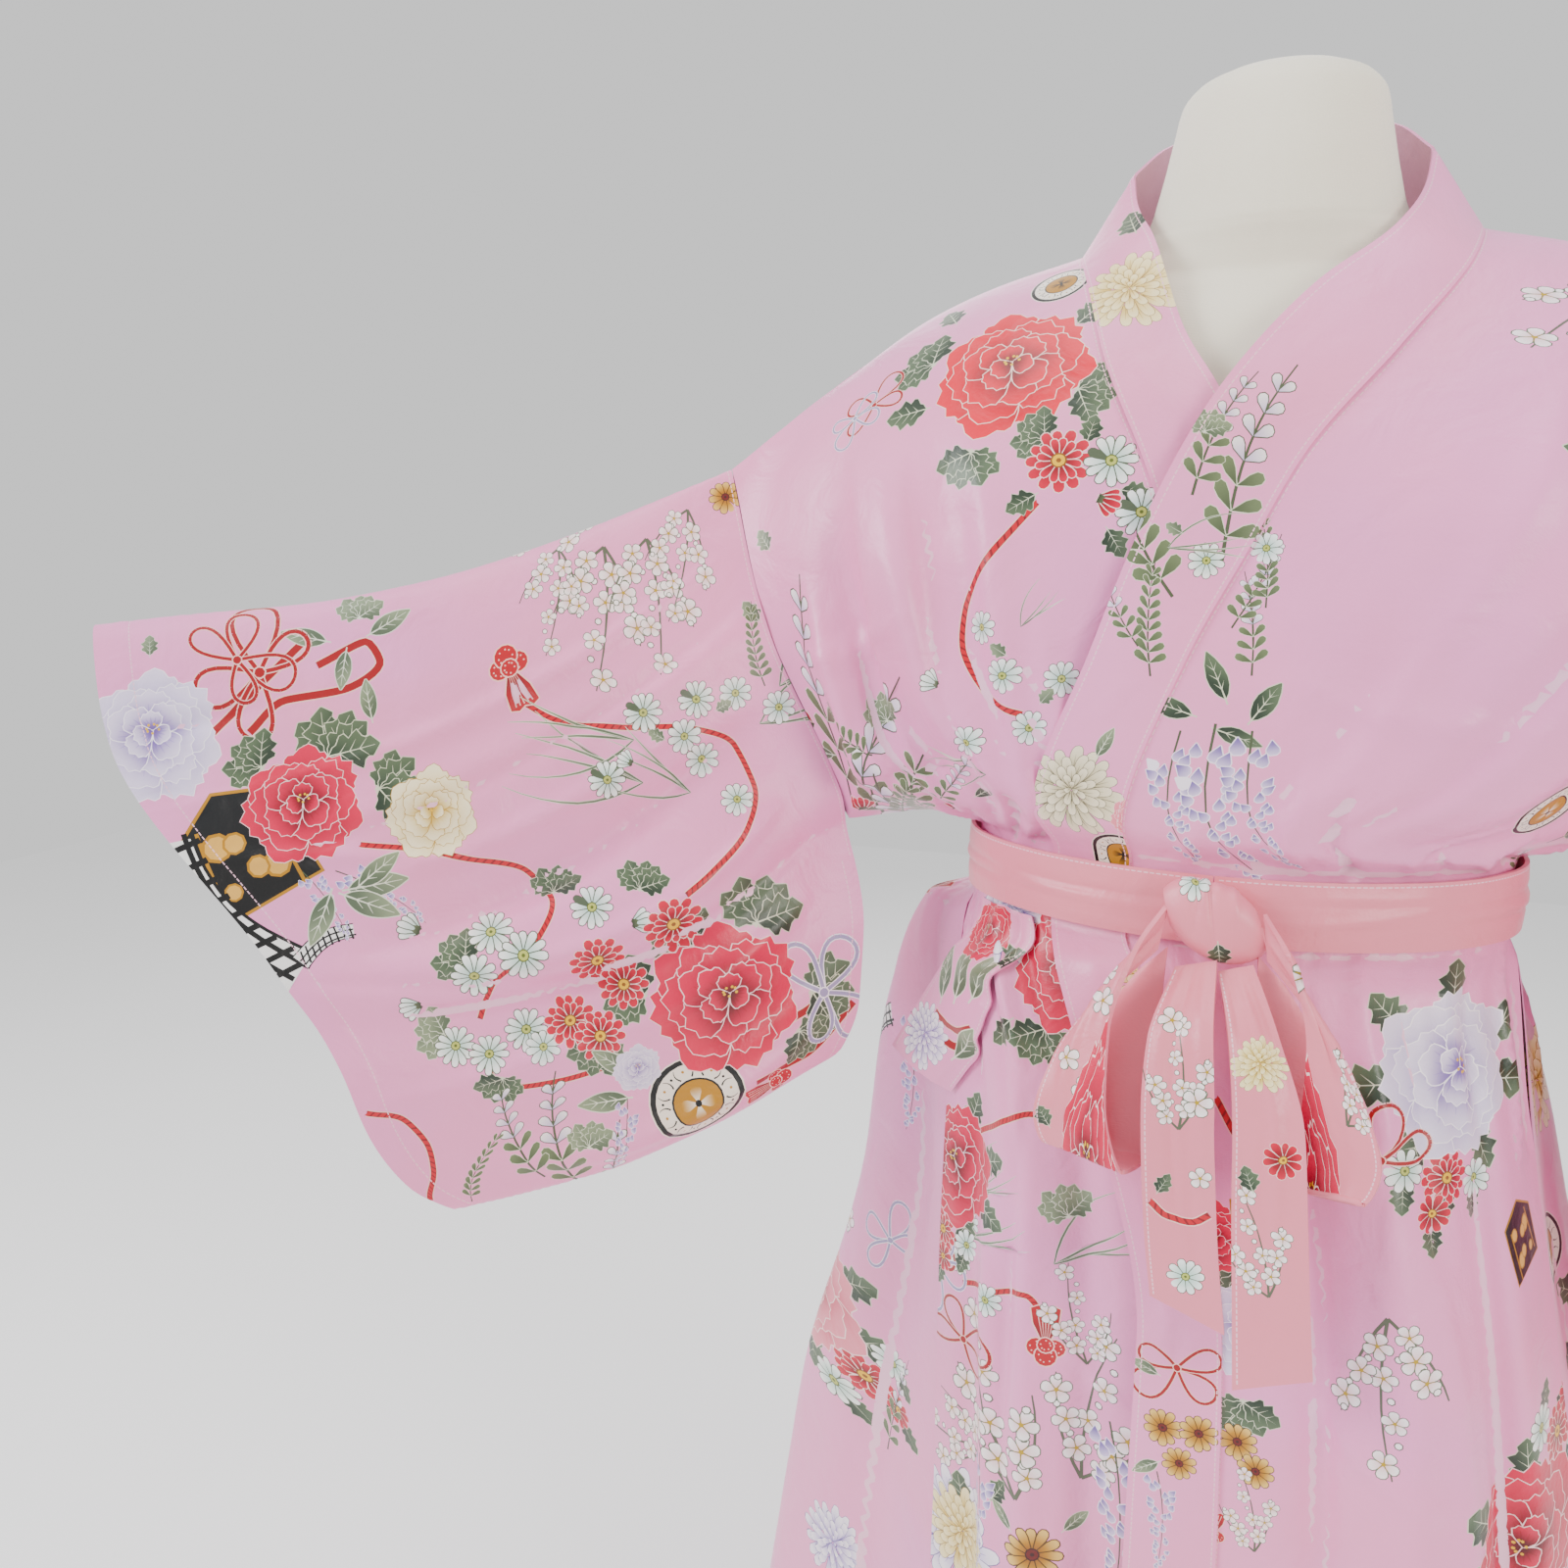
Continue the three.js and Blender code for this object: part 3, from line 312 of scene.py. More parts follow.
MUM_INKS = {  # foot, tip and edge
    "cream": ("e3cf8e", "fbf4d3", "a98f4e"), "lilac": ("c9bce4", "fbf9ff", "8d7fb4"),
    "grey": ("c9c4a8", "f4f0dc", "77745c"), "rose": ("c8344a", "f6b5b4", "fbe9e4"),
}
MUM_RINGS = [
    (17, 0.4, 1.0, 0.17), (15, 0.26, 0.78, 0.19), (12, 0.14, 0.56, 0.24), (8, 0.04, 0.34, 0.34), (3, 0, 0.15, 0.6),
]


def mum(size, kind="cream"):
    """A large chrysanthemum with narrow petals that turn in."""
    foot, tip, edge = (ink(c) for c in MUM_INKS[kind])
    shapes, k = [], 0
    for ring, (number, start, end, half) in enumerate(MUM_RINGS):
        for i in range(number):
            k += 1
            reach = end * (1 + 0.08 * uneven(k))
            bend = 0.09 * uneven(k, 5) * reach
            outline = petal(start, reach, half, 0.62, 0, 0, bend, 11)
            made = edged(outline, edge, 0.011, (0, start), (bend, reach), foot, tip)
            line = [(0, start + 0.05), (bend * 0.5, mix(start, reach, 0.7))]
            made.append((stroke(line, 0.02, 0.005), (0, start), (0, reach), edge, foot))
            turn = 2 * np.pi * (i + 0.5 * (ring % 2)) / number + 0.06 * uneven(k, 3)
            shapes += at(made, 0, 0.1 * (1 - end), turn)
    return at(shapes, scale=size)


DAISY_INKS = {  # foot, tip, edge, eye and its rim
    "white": ("cfe3dc", "fbfefc", "74806c", "c9cf8e", "7f8a50"),
    "red": ("a01434", "e0566e", "fbe6e2", "f0cf62", "a8781e"),
    "ochre": ("b98a3c", "efd9a0", "7a6030", "8a2f22", "5c1d14"),
}


def daisy(size, kind="white"):
    foot, tip, edge, eye, rim = (ink(c) for c in DAISY_INKS[kind])
    number = 12 if size > 12 else 10
    shapes = []
    for layer in (0, 1) if kind == "red" and size > 12 else (0,):
        for i in range(number):
            reach = (1 - 0.3 * layer) * (1 + 0.06 * uneven(i + layer))
            outline = petal(0.12, reach, 0.25 if number == 12 else 0.31, 0.5, 0, 0, 0.03 * uneven(i, 4), 9)
            made = edged(outline, edge, 0.045 if kind != "red" else 0.03, (0, 0.2), (0, reach), foot, tip)
            shapes += at(made, turn=2 * np.pi * (i + 0.5 * layer) / number + 0.08 * uneven(i, 2))
    shapes += dot(0.25, rim, sides=10) + dot(0.2, eye, sides=10) + dot(0.08, rim, sides=6)
    return at(shapes, scale=size)


def bud(size, kind="white"):
    """A half-open daisy seen from the side, on a short green cup."""
    foot, tip, edge = (ink(c) for c in DAISY_INKS[kind][:3])
    shapes = []
    for i in (-2, 2, -1, 1, 0):
        made = edged(petal(0.1, 1 - 0.05 * abs(i), 0.2, 0.5, points=9), edge, 0.04, (0, 0.2), (0, 1), foot, tip)
        shapes += at(made, turn=0.3 * i)
    cup = np.array([(-0.2, 0.1), (0.2, 0.1), (0.12, 0.38), (0, 0.28), (-0.12, 0.38)])
    return at(shapes + [(cup, (0, 0), (0, 0.4), ink("4f5a45"), ink("7f8a6c"))], scale=size)


def plum(size):
    """A small plum blossom: five round petals and its stamens."""
    white, blush, edge = ink("fffdfc"), ink("f4dfe2"), ink("85907c")
    shapes = []
    for i in range(5):
        made = edged(petal(0.1, 1, 0.58, 0.55, points=9), edge, 0.07, (0, 0), (0, 1), blush, white)
        shapes += at(made, turn=2 * np.pi * i / 5)
    for i in range(5):
        line = turned(np.array([(0, 0.08), (0, 0.5)]), 2 * np.pi * (i + 0.5) / 5)
        shapes.append((stroke(line, 0.08, 0.05), (0, 0), (0, 1), ink("b0a060"), ink("b0a060")))
    return at(shapes + dot(0.16, ink("c9b458"), sides=6), scale=size)


LEAF_INKS = {  # the deep side, the light side and the edge
    "dark": ("4b5b4c", "7f8f78", "dde3d0"), "grey": ("7a8874", "a6b29a", "e6ebdc"),
    "black": ("23261f", "3c4236", "a9a184"),
}


def leaf(size, kind="dark", lobes=3.5, slim=0.34):
    """A leaf that points up, with its veins: lobed as a chrysanthemum's, or plain."""
    deep, light, edge = (ink(c) for c in LEAF_INKS[kind])
    t = np.linspace(0, 1, 13)
    half = slim * np.sin(np.pi * t**0.85) ** 0.8 * (1 + (0.26 * np.cos(2 * np.pi * lobes * t) if lobes else 0))
    half[[0, -1]] = 0.012
    side = np.stack([half, t], 1)
    outline = np.concatenate([side, (side * (-1, 1))[::-1]])
    shapes = edged(outline, edge, 0.02, (-slim, 0.3), (slim, 0.7), deep, light)
    shapes.append((stroke([(0, -0.12), (0, 0.3), (0, 0.9)], 0.035, 0.008), (0, 0), (0, 1), edge, edge))
    for i in range(3):
        y = 0.2 + 0.2 * i
        for sign in (-1, 1):
            tip = (sign * slim * 0.66 * np.sin(np.pi * (y + 0.1)), y + 0.16)
            shapes.append((stroke([(0, y), tip], 0.02, 0.006), (0, 0), (0, 1), edge, edge))
    return at(shapes, scale=size)


def leaves(size, kind="dark", number=5, spread=2.0):
    """A fan of leaves."""
    shapes = []
    for i in range(number):
        share = i / (number - 1) - 0.5
        shapes += at(leaf(size * (1 - 0.18 * abs(uneven(i, 6))), kind), turn=spread * share + 0.1 * uneven(i, 7))
    return shapes


def grass(size, number=4, kind="grey"):
    """Long thin blades that bow over."""
    deep, light, edge = (ink(c) for c in LEAF_INKS[kind])
    shapes = []
    for i in range(number):
        path = bent(1 - 0.2 * abs(uneven(i, 8)), 0.1 * uneven(i, 9), 9, 0.3 * uneven(i, 3))
        made = [(stroke(path, 0.034, 0.012, True), (0, 0), (0, 1), edge, edge)]
        made.append((stroke(path, 0.024, 0.004, True), (0, 0), (0, 1), deep, light))
        shapes += at(made, turn=0.28 * (i - (number - 1) / 2) + 0.08 * uneven(i, 4))
    return at(shapes, scale=size)


def spray(size, number=7, flowers=True):
    """A fine stem with pairs of small leaves and white bells towards its tip."""
    path = bent(1, 0.07, 10, 0.12)
    stem, leafy, pale = ink("6f7b62"), ink("8d9a7c"), ink("fdfcfb")
    shapes = [(stroke(path, 0.02, 0.008), (0, 0), (0, 1), stem, stem)]
    for i in range(number):
        t = 0.12 + 0.84 * i / number
        x, y = 0.07 * 4 * t * (1 - t) + 0.12 * t * t, t
        for sign in (-1, 1):
            reach = 0.18 * (1 - 0.5 * t)
            if flowers and i >= number // 2:
                outline = petal(0, reach * 0.85, 0.42, 0.5, points=8)
                made = edged(outline, stem, 0.006, (0, 0), (0, reach), ink("d9cfe6"), pale)
            else:
                outline = petal(0, reach, 0.36, 0.7, points=8)
                made = edged(outline, ink("e6ead8"), 0.004, (0, 0), (0, reach), stem, leafy)
            shapes += at(made, x, y, -sign * (0.95 - 0.3 * t) + 0.1 * uneven(i, sign))
    return at(shapes, scale=size)


def wisteria(size):
    """A hanging cluster of lilac petals that thins towards its tip."""
    deep, light, edge = ink("9484bd"), ink("e3dbf2"), ink("f9f6ff")
    shapes = [(stroke(bent(1, 0.05, 8), 0.012, 0.004), (0, 0), (0, 1), ink("6f7b62"), ink("6f7b62"))]
    for i in range(34):
        t = (i / 34) ** 0.9
        wide = 0.17 * (1 - t) ** 0.7 + 0.02
        x, y = 0.05 * 4 * t * (1 - t) + wide * uneven(i, 3), 0.06 + 0.9 * t
        reach = 0.085 * (1 - 0.55 * t)
        made = edged(petal(0, reach, 0.62, 0.5, points=8), edge, 0.005, (0, 0), (0, reach), deep, light)
        shapes += at(made, x, y, 0.9 * uneven(i, 3) + 0.5 * uneven(i, 9))
    return at(shapes, scale=size)


def branch(size, number=9):
    """A fine bare branch with plum blossoms and round buds."""
    shapes = []
    wood = ink("7d8472")
    for turn, reach, bow in ((0, 1, 0.06), (0.5, 0.62, -0.05), (-0.42, 0.7, 0.05)):
        shapes += at([(stroke(bent(reach, bow, 8), 0.022, 0.008), (0, 0), (0, 1), wood, wood)], 0, 0.08, turn)
    for i in range(number * 2):
        t = 0.2 + 0.8 * i / (number * 2)
        turn = (0.5, 0, -0.42)[i % 3]
        reach = t * (0.62, 1, 0.7)[i % 3]
        x, y = -reach * np.sin(turn) + 0.05 * uneven(i, 2), 0.08 + reach * np.cos(turn)
        if i % 2:
            shapes += at(dot(0.026, wood, sides=7) + dot(0.019, ink("fffdfc"), sides=7), x, y)
        else:
            shapes += at(plum(0.085 + 0.012 * uneven(i)), x, y, i * 0.7)
    return at(shapes, scale=size)


def tassel(size):
    """A silk tassel: a knotted head with a netted surface, and a skirt of threads."""
    deep, light, edge = ink("a01434"), ink("cc2c44"), ink("fbdcd6")
    shapes = []
    skirt = np.array([
        (-0.07, 0.42), (0.07, 0.42), (0.17, 0.2), (0.2, -0.02), (0.1, -0.06), (0, -0.02), (-0.1, -0.06), (-0.2, -0.02),
        (-0.17, 0.2),
    ])
    shapes += edged(skirt, edge, 0.02, (0, 0.4), (0, 0), deep, light)
    for x in (-0.12, -0.06, 0, 0.06, 0.12):
        shapes.append((stroke([(x * 0.4, 0.4), (x, 0.0)], 0.012, 0.016), (0, 0), (0, 1), edge, light))
    for x, y, r in ((-0.13, 0.55, 0.13), (0.13, 0.55, 0.13), (0, 0.68, 0.15), (0, 0.52, 0.11)):
        shapes += dot(r + 0.018, edge, x, y, 12) + dot(r, light, x, y, 12)
        for i in range(7):
            shapes += dot(0.013, edge, x + 0.62 * r * np.cos(i * 2.4), y + 0.62 * r * np.sin(i * 2.4), 5)
    return at(shapes, scale=size)


def ribbons(size, kind="red"):
    """A bow of flat ribbon: two long loops and two tails."""
    body, edge = (ink("b8182f"), ink("fbdcd6")) if kind == "red" else (ink("b9b3cf"), ink("fbf9ff"))
    shapes = []
    for turn, long, wide in ((0.9, 1.0, 0.3), (-0.9, 0.85, 0.26), (1.9, 0.75, 0.2), (-2.0, 0.9, 0.22)):
        t = np.linspace(0.02, 0.98, 17)
        loop = np.stack([wide * np.sin(2 * np.pi * t), long * np.sin(np.pi * t)], 1)
        for i in range(16):
            shapes += at([(stroke(loop[i : i + 2], 0.085, 0.085), (0, 0), (0, 1), edge, edge)], turn=turn)
        for i in range(16):
            shapes += at([(stroke(loop[i : i + 2], 0.055, 0.055), (0, 0), (0, 1), body, body)], turn=turn)
    return at(shapes + dot(0.09, edge) + dot(0.07, body), scale=size)


def roundel(size, kind="gold"):
    """A lacquered round box seen from above: a dark rim, a scrolled band and a gilt flower."""
    black, white, gold = ink("191716"), ink("f7f3ea"), ink("c8a355")
    shapes = dot(1, white, sides=28) + dot(0.97, black, sides=28) + dot(0.86, white, sides=28)
    for i in range(16):
        turn = 2 * np.pi * i / 16
        scroll = bent(0.24, 0.05 if i % 2 else -0.05, 6)
        drawn = [(stroke(scroll, 0.035, 0.01), (0, 0), (0, 1), black, black)]
        shapes += at(drawn, 0.58 * np.sin(turn), 0.58 * np.cos(turn), -turn)
        beside = turn + 0.2
        shapes += dot(0.03, black if i % 2 else gold, 0.72 * np.sin(beside), 0.72 * np.cos(beside), 6)
    shapes += dot(0.54, black, sides=24) + dot(0.5, gold, sides=24)
    for i in range(4):
        foot = black if kind == "dark" else white
        shapes += at([(petal(0.04, 0.36, 0.5, 0.5, points=9), (0, 0), (0, 0.4), foot, gold)], turn=np.pi * i / 2)
    return at(shapes + dot(0.07, black, sides=8), scale=size)


def ladder(size, rungs=9):
    """A slatted screen: two dark curved rails with white slats between dark rungs."""
    black, white = ink("17191a"), ink("f4f6f2")
    t = np.linspace(0, 1, 12)
    middle = np.stack([0.16 * np.sin(np.pi * t * 0.9), t], 1)
    shapes = [(stroke(middle, 0.34, 0.26), (0, 0), (0, 1), black, black)]
    shapes.append((stroke(middle, 0.3, 0.22), (0, 0), (0, 1), white, white))
    for x in (-0.09, 0.02):
        shapes.append((stroke(middle + (x, 0), 0.03, 0.03), (0, 0), (0, 1), black, black))
    for i in range(rungs):
        y = (i + 0.5) / rungs
        x = 0.16 * np.sin(np.pi * y * 0.9)
        rung = [(x - 0.16, y - 0.02), (x + 0.14, y + 0.03)]
        shapes.append((stroke(rung, 0.035, 0.03), (0, 0), (0, 1), black, black))
    return at(shapes, scale=size)


def cart(size):
    """A corner of a lacquered carriage: dark panels edged with gilt, and pale clouds on them."""
    black, gold, cloud = ink("1d1b1c"), ink("c9a45a"), ink("e8c98d")
    panel = np.array([(-0.5, 0), (0.42, -0.1), (0.5, 0.6), (0.1, 0.95), (-0.42, 0.8)])
    shapes = edged(panel, gold, 0.035, (0, 0), (0, 1), black, ink("2b2f33"))
    clouds = (
        (-0.2, 0.2, 0.12), (-0.05, 0.24, 0.1), (0.2, 0.52, 0.13), (0.06, 0.5, 0.1), (-0.22, 0.62, 0.1),
        (0.22, 0.12, 0.08),
    )
    for x, y, r in clouds:
        shapes += dot(r, gold, x, y, 9) + dot(r * 0.78, cloud, x, y, 9)
    for x in (-0.34, 0.34):
        shapes.append((stroke([(x, -0.02), (x * 0.9, 0.7)], 0.03, 0.03), (0, 0), (0, 1), gold, gold))
    return at(shapes, scale=size)


def bouquet(size, kind="red"):
    """A peony among its leaves, with daisies at one side."""
    shapes = []
    for i in range(7):
        turn = 2 * np.pi * i / 7 + 0.2 * uneven(i)
        shapes += at(leaf(0.62, "dark"), -0.8 * np.sin(turn), 0.8 * np.cos(turn), turn)
    beside = (
        (0.95, -0.85, 0.34, "red"), (1.35, -0.45, 0.27, "white"), (0.5, -1.25, 0.26, "white"),
        (1.2, -1.25, 0.24, "red"),
    )
    for x, y, r, tint in beside:
        shapes += at(leaf(0.4, "dark"), x + 0.1, y - 0.1, -2.2) + at(daisy(r * 40, tint), x, y, scale=1 / 40)
    return at(shapes, scale=size) + peony(size, kind, (-0.4, 0.1, 0.5))


MOTIFS = {
    "peony": peony, "mum": mum, "daisy": daisy, "bud": bud, "plum": lambda size, _: plum(size), "leaf": leaf,
    "slim": lambda size, kind: leaf(size, kind, 0, 0.2), "leaves": leaves, "grass": lambda size, _: grass(size),
    "spray": lambda size, _: spray(size), "fern": lambda size, _: spray(size, 9, False), "ribbons": ribbons,
    "wisteria": lambda size, _: wisteria(size), "branch": lambda size, _: branch(size), "roundel": roundel,
    "tassel": lambda size, _: tassel(size), "ladder": lambda size, _: ladder(size), "cart": lambda size, _: cart(size),
    "bouquet": bouquet,
}


def satin(name, cool, warm, rough, sheen, crumple):
    """One of the satins: its cool and warm tints of painted light, which stand for cool and warm light reflected by the
    satin; its roughness, its sheen, and how deep its crumples are.
    """
    material, tree, surface = new_material(name)
    place = node(tree, "ShaderNodeTexCoord").outputs["Object"]
    cut = node(tree, "ShaderNodeUVMap", uv_map="cut").outputs["UV"]
    printed = node(tree, "ShaderNodeAttribute", attribute_name="print").outputs["Color"]
    deep = node(tree, "ShaderNodeGamma", {"Color": printed, "Gamma": 1.5})
    strong = node(tree, "ShaderNodeHueSaturation", {"Color": deep.outputs["Color"], "Saturation": 1.12})
    clouds = node(tree, "ShaderNodeTexNoise", {"Vector": place, "Scale": 9.0, "Detail": 5.0, "Roughness": 0.6})
    sunk = node(tree, "ShaderNodeMapRange", {"Value": clouds.outputs["Fac"], 3: 0.9, 4: 1.06})
    shade = node(tree, "ShaderNodeCombineColor", {part: sunk.outputs["Result"] for part in ("Red", "Green", "Blue")})
    times = {"data_type": "RGBA", "blend_type": "MULTIPLY"}
    dyed = node(tree, "ShaderNodeMix", {0: 1.0, 6: strong.outputs["Color"], 7: shade.outputs["Color"]}, **times)
    # Painted light: low-frequency noise mixes the cool and warm tints into the colour, a painted reflection of cool and
    # warm light on the satin.
    painted_light_noise = node(tree, "ShaderNodeTexNoise", {"Vector": place, "Scale": 3.4, "Detail": 2.0, "Distortion": 0.8})
    share = node(tree, "ShaderNodeMapRange", {"Value": painted_light_noise.outputs["Fac"], 1: 0.4, 2: 0.62})
    painted_light_tint = node(tree, "ShaderNodeMix", {0: share.outputs["Result"], 6: (*cool, 1), 7: (*warm, 1)}, data_type="RGBA")
    tinted = node(tree, "ShaderNodeMix", {0: 1.0, 6: dyed.outputs[2], 7: painted_light_tint.outputs[2]}, **times)
    tree.links.new(tinted.outputs[2], surface.inputs["Base Color"])
    # Floats: threads 0.5 mm wide and some millimetres long, running across the cut.
    stretched = node(tree, "ShaderNodeMapping", {"Vector": cut, "Scale": (220.0, 1900.0, 1.0)})
    floats = node(tree, "ShaderNodeTexNoise", {"Vector": stretched.outputs["Vector"], "Scale": 1.0, "Detail": 2.0})
    pebble = node(tree, "ShaderNodeTexNoise", {"Vector": place, "Scale": 620.0, "Detail": 2.0})
    folds = node(tree, "ShaderNodeTexNoise", {"Vector": place, "Scale": 26.0, "Detail": 3.0, "Distortion": 0.9})
    spread = node(tree, "ShaderNodeMapRange", {"Value": clouds.outputs["Fac"], 3: rough - 0.05, 4: rough + 0.06})
    grains = {0: floats.outputs["Fac"], 1: 0.14, 2: spread.outputs["Result"]}
    grained = node(tree, "ShaderNodeMath", grains, operation="MULTIPLY_ADD")
    tree.links.new(grained.outputs[0], surface.inputs["Roughness"])
    raised = {}
    for grain, strength, high in ((folds, 0.5, crumple), (pebble, 0.35, 0.0004), (floats, 0.3, 0.0003)):
        heights = {"Height": grain.outputs["Fac"], "Strength": strength, "Distance": high}
        bump = node(tree, "ShaderNodeBump", {**heights, **raised})
        raised = {"Normal": bump.outputs["Normal"]}
    tree.links.new(bump.outputs["Normal"], surface.inputs["Normal"])
    surface.inputs["Specular IOR Level"].default_value = 0.5
    surface.inputs["Sheen Weight"].default_value = sheen
    surface.inputs["Sheen Roughness"].default_value = 0.45
    surface.inputs["Sheen Tint"].default_value = (1.0, 0.9, 0.95, 1)
    return material


# The two tints are painted cool and warm light reflected by the satin.
body_satin = satin("body_satin", (0.98, 0.95, 1.0), (1.0, 0.94, 0.9), 0.28, 0.06, 0.0045)


# ---------- The right front ----------
# A straight length of satin under the left front, caught at the shoulder, the side and the neckband, and held in
# soft pleats by the belt. It hangs as a smooth loft through rows of points in millimetres, one row for each level
# down the cloth, with a deep turned hem. A sheet's faces are cut along the outlines of its print.
THREAD = 0.0007  # metres of cloth thickness
SATIN_INK, WRONG_INK = ink("f8bfde"), ink("f7d6e6")


def hang(points, outward=1):
    """A piece's hang: its grid of points in millimetres, its normals, and its own width and length in flat cloth."""
    across, down = np.gradient(points, axis=1), np.gradient(points, axis=0)
    normals = unit(np.cross(across, down) * outward)
    width = np.linalg.norm(np.diff(points, axis=1), axis=2).sum(1).mean()
    length = np.linalg.norm(np.diff(points, axis=0), axis=2).sum(0).mean()
    return {"points": points, "normals": normals, "size": np.array([width, length]), "outward": outward}


def found_on(cloth, grid, places):
    """Values of one of a hang's grids at places in millimetres across and down the flat cloth."""
    rows, columns = grid.shape[:2]
    x = np.clip(places[:, 0] / cloth["size"][0], 0, 1) * (columns - 1)
    y = np.clip(places[:, 1] / cloth["size"][1], 0, 1) * (rows - 1)
    i, j = np.minimum(y.astype(int), rows - 2), np.minimum(x.astype(int), columns - 2)
    y, x = (y - i)[:, None], (x - j)[:, None]
    return mix(mix(grid[i, j], grid[i, j + 1], x), mix(grid[i + 1, j], grid[i + 1, j + 1], x), y)


def creased(cloth, creases, soft=1.0):
    """The same cloth with small creases: each from one place to another with a bow, so wide and so high."""
    rows, columns = cloth["points"].shape[:2]
    x, y = np.meshgrid(np.linspace(0, cloth["size"][0], columns), np.linspace(0, cloth["size"][1], rows))
    high = np.zeros((rows, columns))
    for x0, y0, x1, y1, bow, wide, lift in creases:
        along = np.array([x1 - x0, y1 - y0], float)
        length = np.linalg.norm(along)
        along /= length
        t = ((x - x0) * along[0] + (y - y0) * along[1]) / length
        aside = (y - y0) * along[0] - (x - x0) * along[1] - bow * 4 * t * (1 - t)
        ends = np.clip(t * (1 - t) * 4, 0, 1) ** 0.7
        high += lift * soft * np.exp(-((aside / (wide * (0.6 + 0.4 * ends))) ** 2)) * ends
    high += 0.5 * np.sin(x / 23 + 1.7 * np.sin(y / 61)) * np.sin(y / 37 + 1.3 * np.sin(x / 29))
    return hang(cloth["points"] + cloth["normals"] * high[..., None], cloth["outward"])


def local_axes(cloth, places, reach=9.0):
    """For each place, the matrix that turns steps in flat cloth into true millimetres on the hanging surface."""
    places = np.clip(places, 0, cloth["size"])
    steps = []
    for step in ((reach, 0), (0, reach)):
        ahead, behind = (np.clip(places + way * np.array(step), 0, cloth["size"]) for way in (1, -1))
        gap = np.linalg.norm(ahead - behind, axis=1)[:, None]
        steps.append((found_on(cloth, cloth["points"], ahead) - found_on(cloth, cloth["points"], behind)) / gap)
    across, down = steps
    first = unit(across)
    second = np.cross(unit(np.cross(across, down)), first)
    dots = [np.einsum("ij,ij->i", a, b) for a, b in ((across, first), (down, first), (across, second), (down, second))]
    return np.stack(dots, 1).reshape(-1, 2, 2)


def placed(cloth, shapes, x, y, turn=0.0):
    """A motif laid on the cloth at a place, true to its size there. It points up the cloth unless it is turned."""
    place = np.array([[x, y]], float)
    axes = local_axes(cloth, place)[0]
    back = np.linalg.inv(axes)
    upward = np.array([[1, 0], [0, -1]])
    made = []
    for outline, base, tip, c0, c1 in at(shapes, turn=np.radians(turn)):
        flat = (np.asarray(outline) @ upward) @ back.T + place
        made.append((flat, place[0], axes, np.asarray(base) @ upward, np.asarray(tip) @ upward, c0, c1))
    return made


def pieces_of_path(cloth, path, width, colour, gap=3.0, skew=0.0, fill=1.0):
    """Short four-sided pieces along a smooth path on the cloth, as of a cord or a ribbon."""
    path = np.asarray(path, float)
    keys = np.append(0, np.cumsum(np.linalg.norm(np.diff(path, axis=0), axis=1)))
    count = max(int(keys[-1] / gap), 2)
    places = curve(keys, path, np.linspace(0, keys[-1], count + 1))
    axes = local_axes(cloth, places)
    step = np.einsum("ijk,ik->ij", axes, np.gradient(places, axis=0))
    step = unit(step)
    aside = np.stack([-step[:, 1], step[:, 0]], 1) * width / 2
    ahead = step * skew
    back = np.linalg.inv(axes)
    left = places + np.einsum("ijk,ik->ij", back, aside + ahead)
    right = places + np.einsum("ijk,ik->ij", back, -aside - ahead)
    zero = np.zeros(2)
    made = []
    for i in range(count):
        ends = (mix(left[i], left[i + 1], fill), mix(right[i], right[i + 1], fill))
        outline = np.array([right[i], ends[1], ends[0], left[i]])
        made.append((outline, places[i], np.eye(2), zero, zero + (0, 1), colour, colour))
    return made


def cord(cloth, path, width=3.6):
    """A twisted silk cord, with the pale edge and twists of its print."""
    made = pieces_of_path(cloth, path, width + 1.3, ink("fbdcd6"))
    made += pieces_of_path(cloth, path, width, ink("a5183a"))
    return made + pieces_of_path(cloth, path, width - 0.5, ink("d6304c"), 4.2, 1.1, 0.72)


def ribbon(cloth, path, kind="red", width=5.0):
    body, edge = (ink("b8182f"), ink("fbdcd6")) if kind == "red" else (ink("b4adcd"), ink("fbf9ff"))
    return pieces_of_path(cloth, path, width + 1.6, edge, 4.0) + pieces_of_path(cloth, path, width, body, 4.0)


def stitches(cloth, x0, y0, x1, y1, colour="f9dde6"):
    """A row of machine stitches between two places."""
    length = np.hypot(x1 - x0, y1 - y0)
    ends = np.clip(np.array([(x0, y0), (x1, y1)], float), 1.5, cloth["size"] - 1.5)
    return pieces_of_path(cloth, ends, 0.7, ink(colour), length / max(round(length / 3.2), 1), 0, 0.7)


CLOSE, NEAR = 0.02, 0.05  # millimetres: closer places are one, and what is so near an edge lies on it


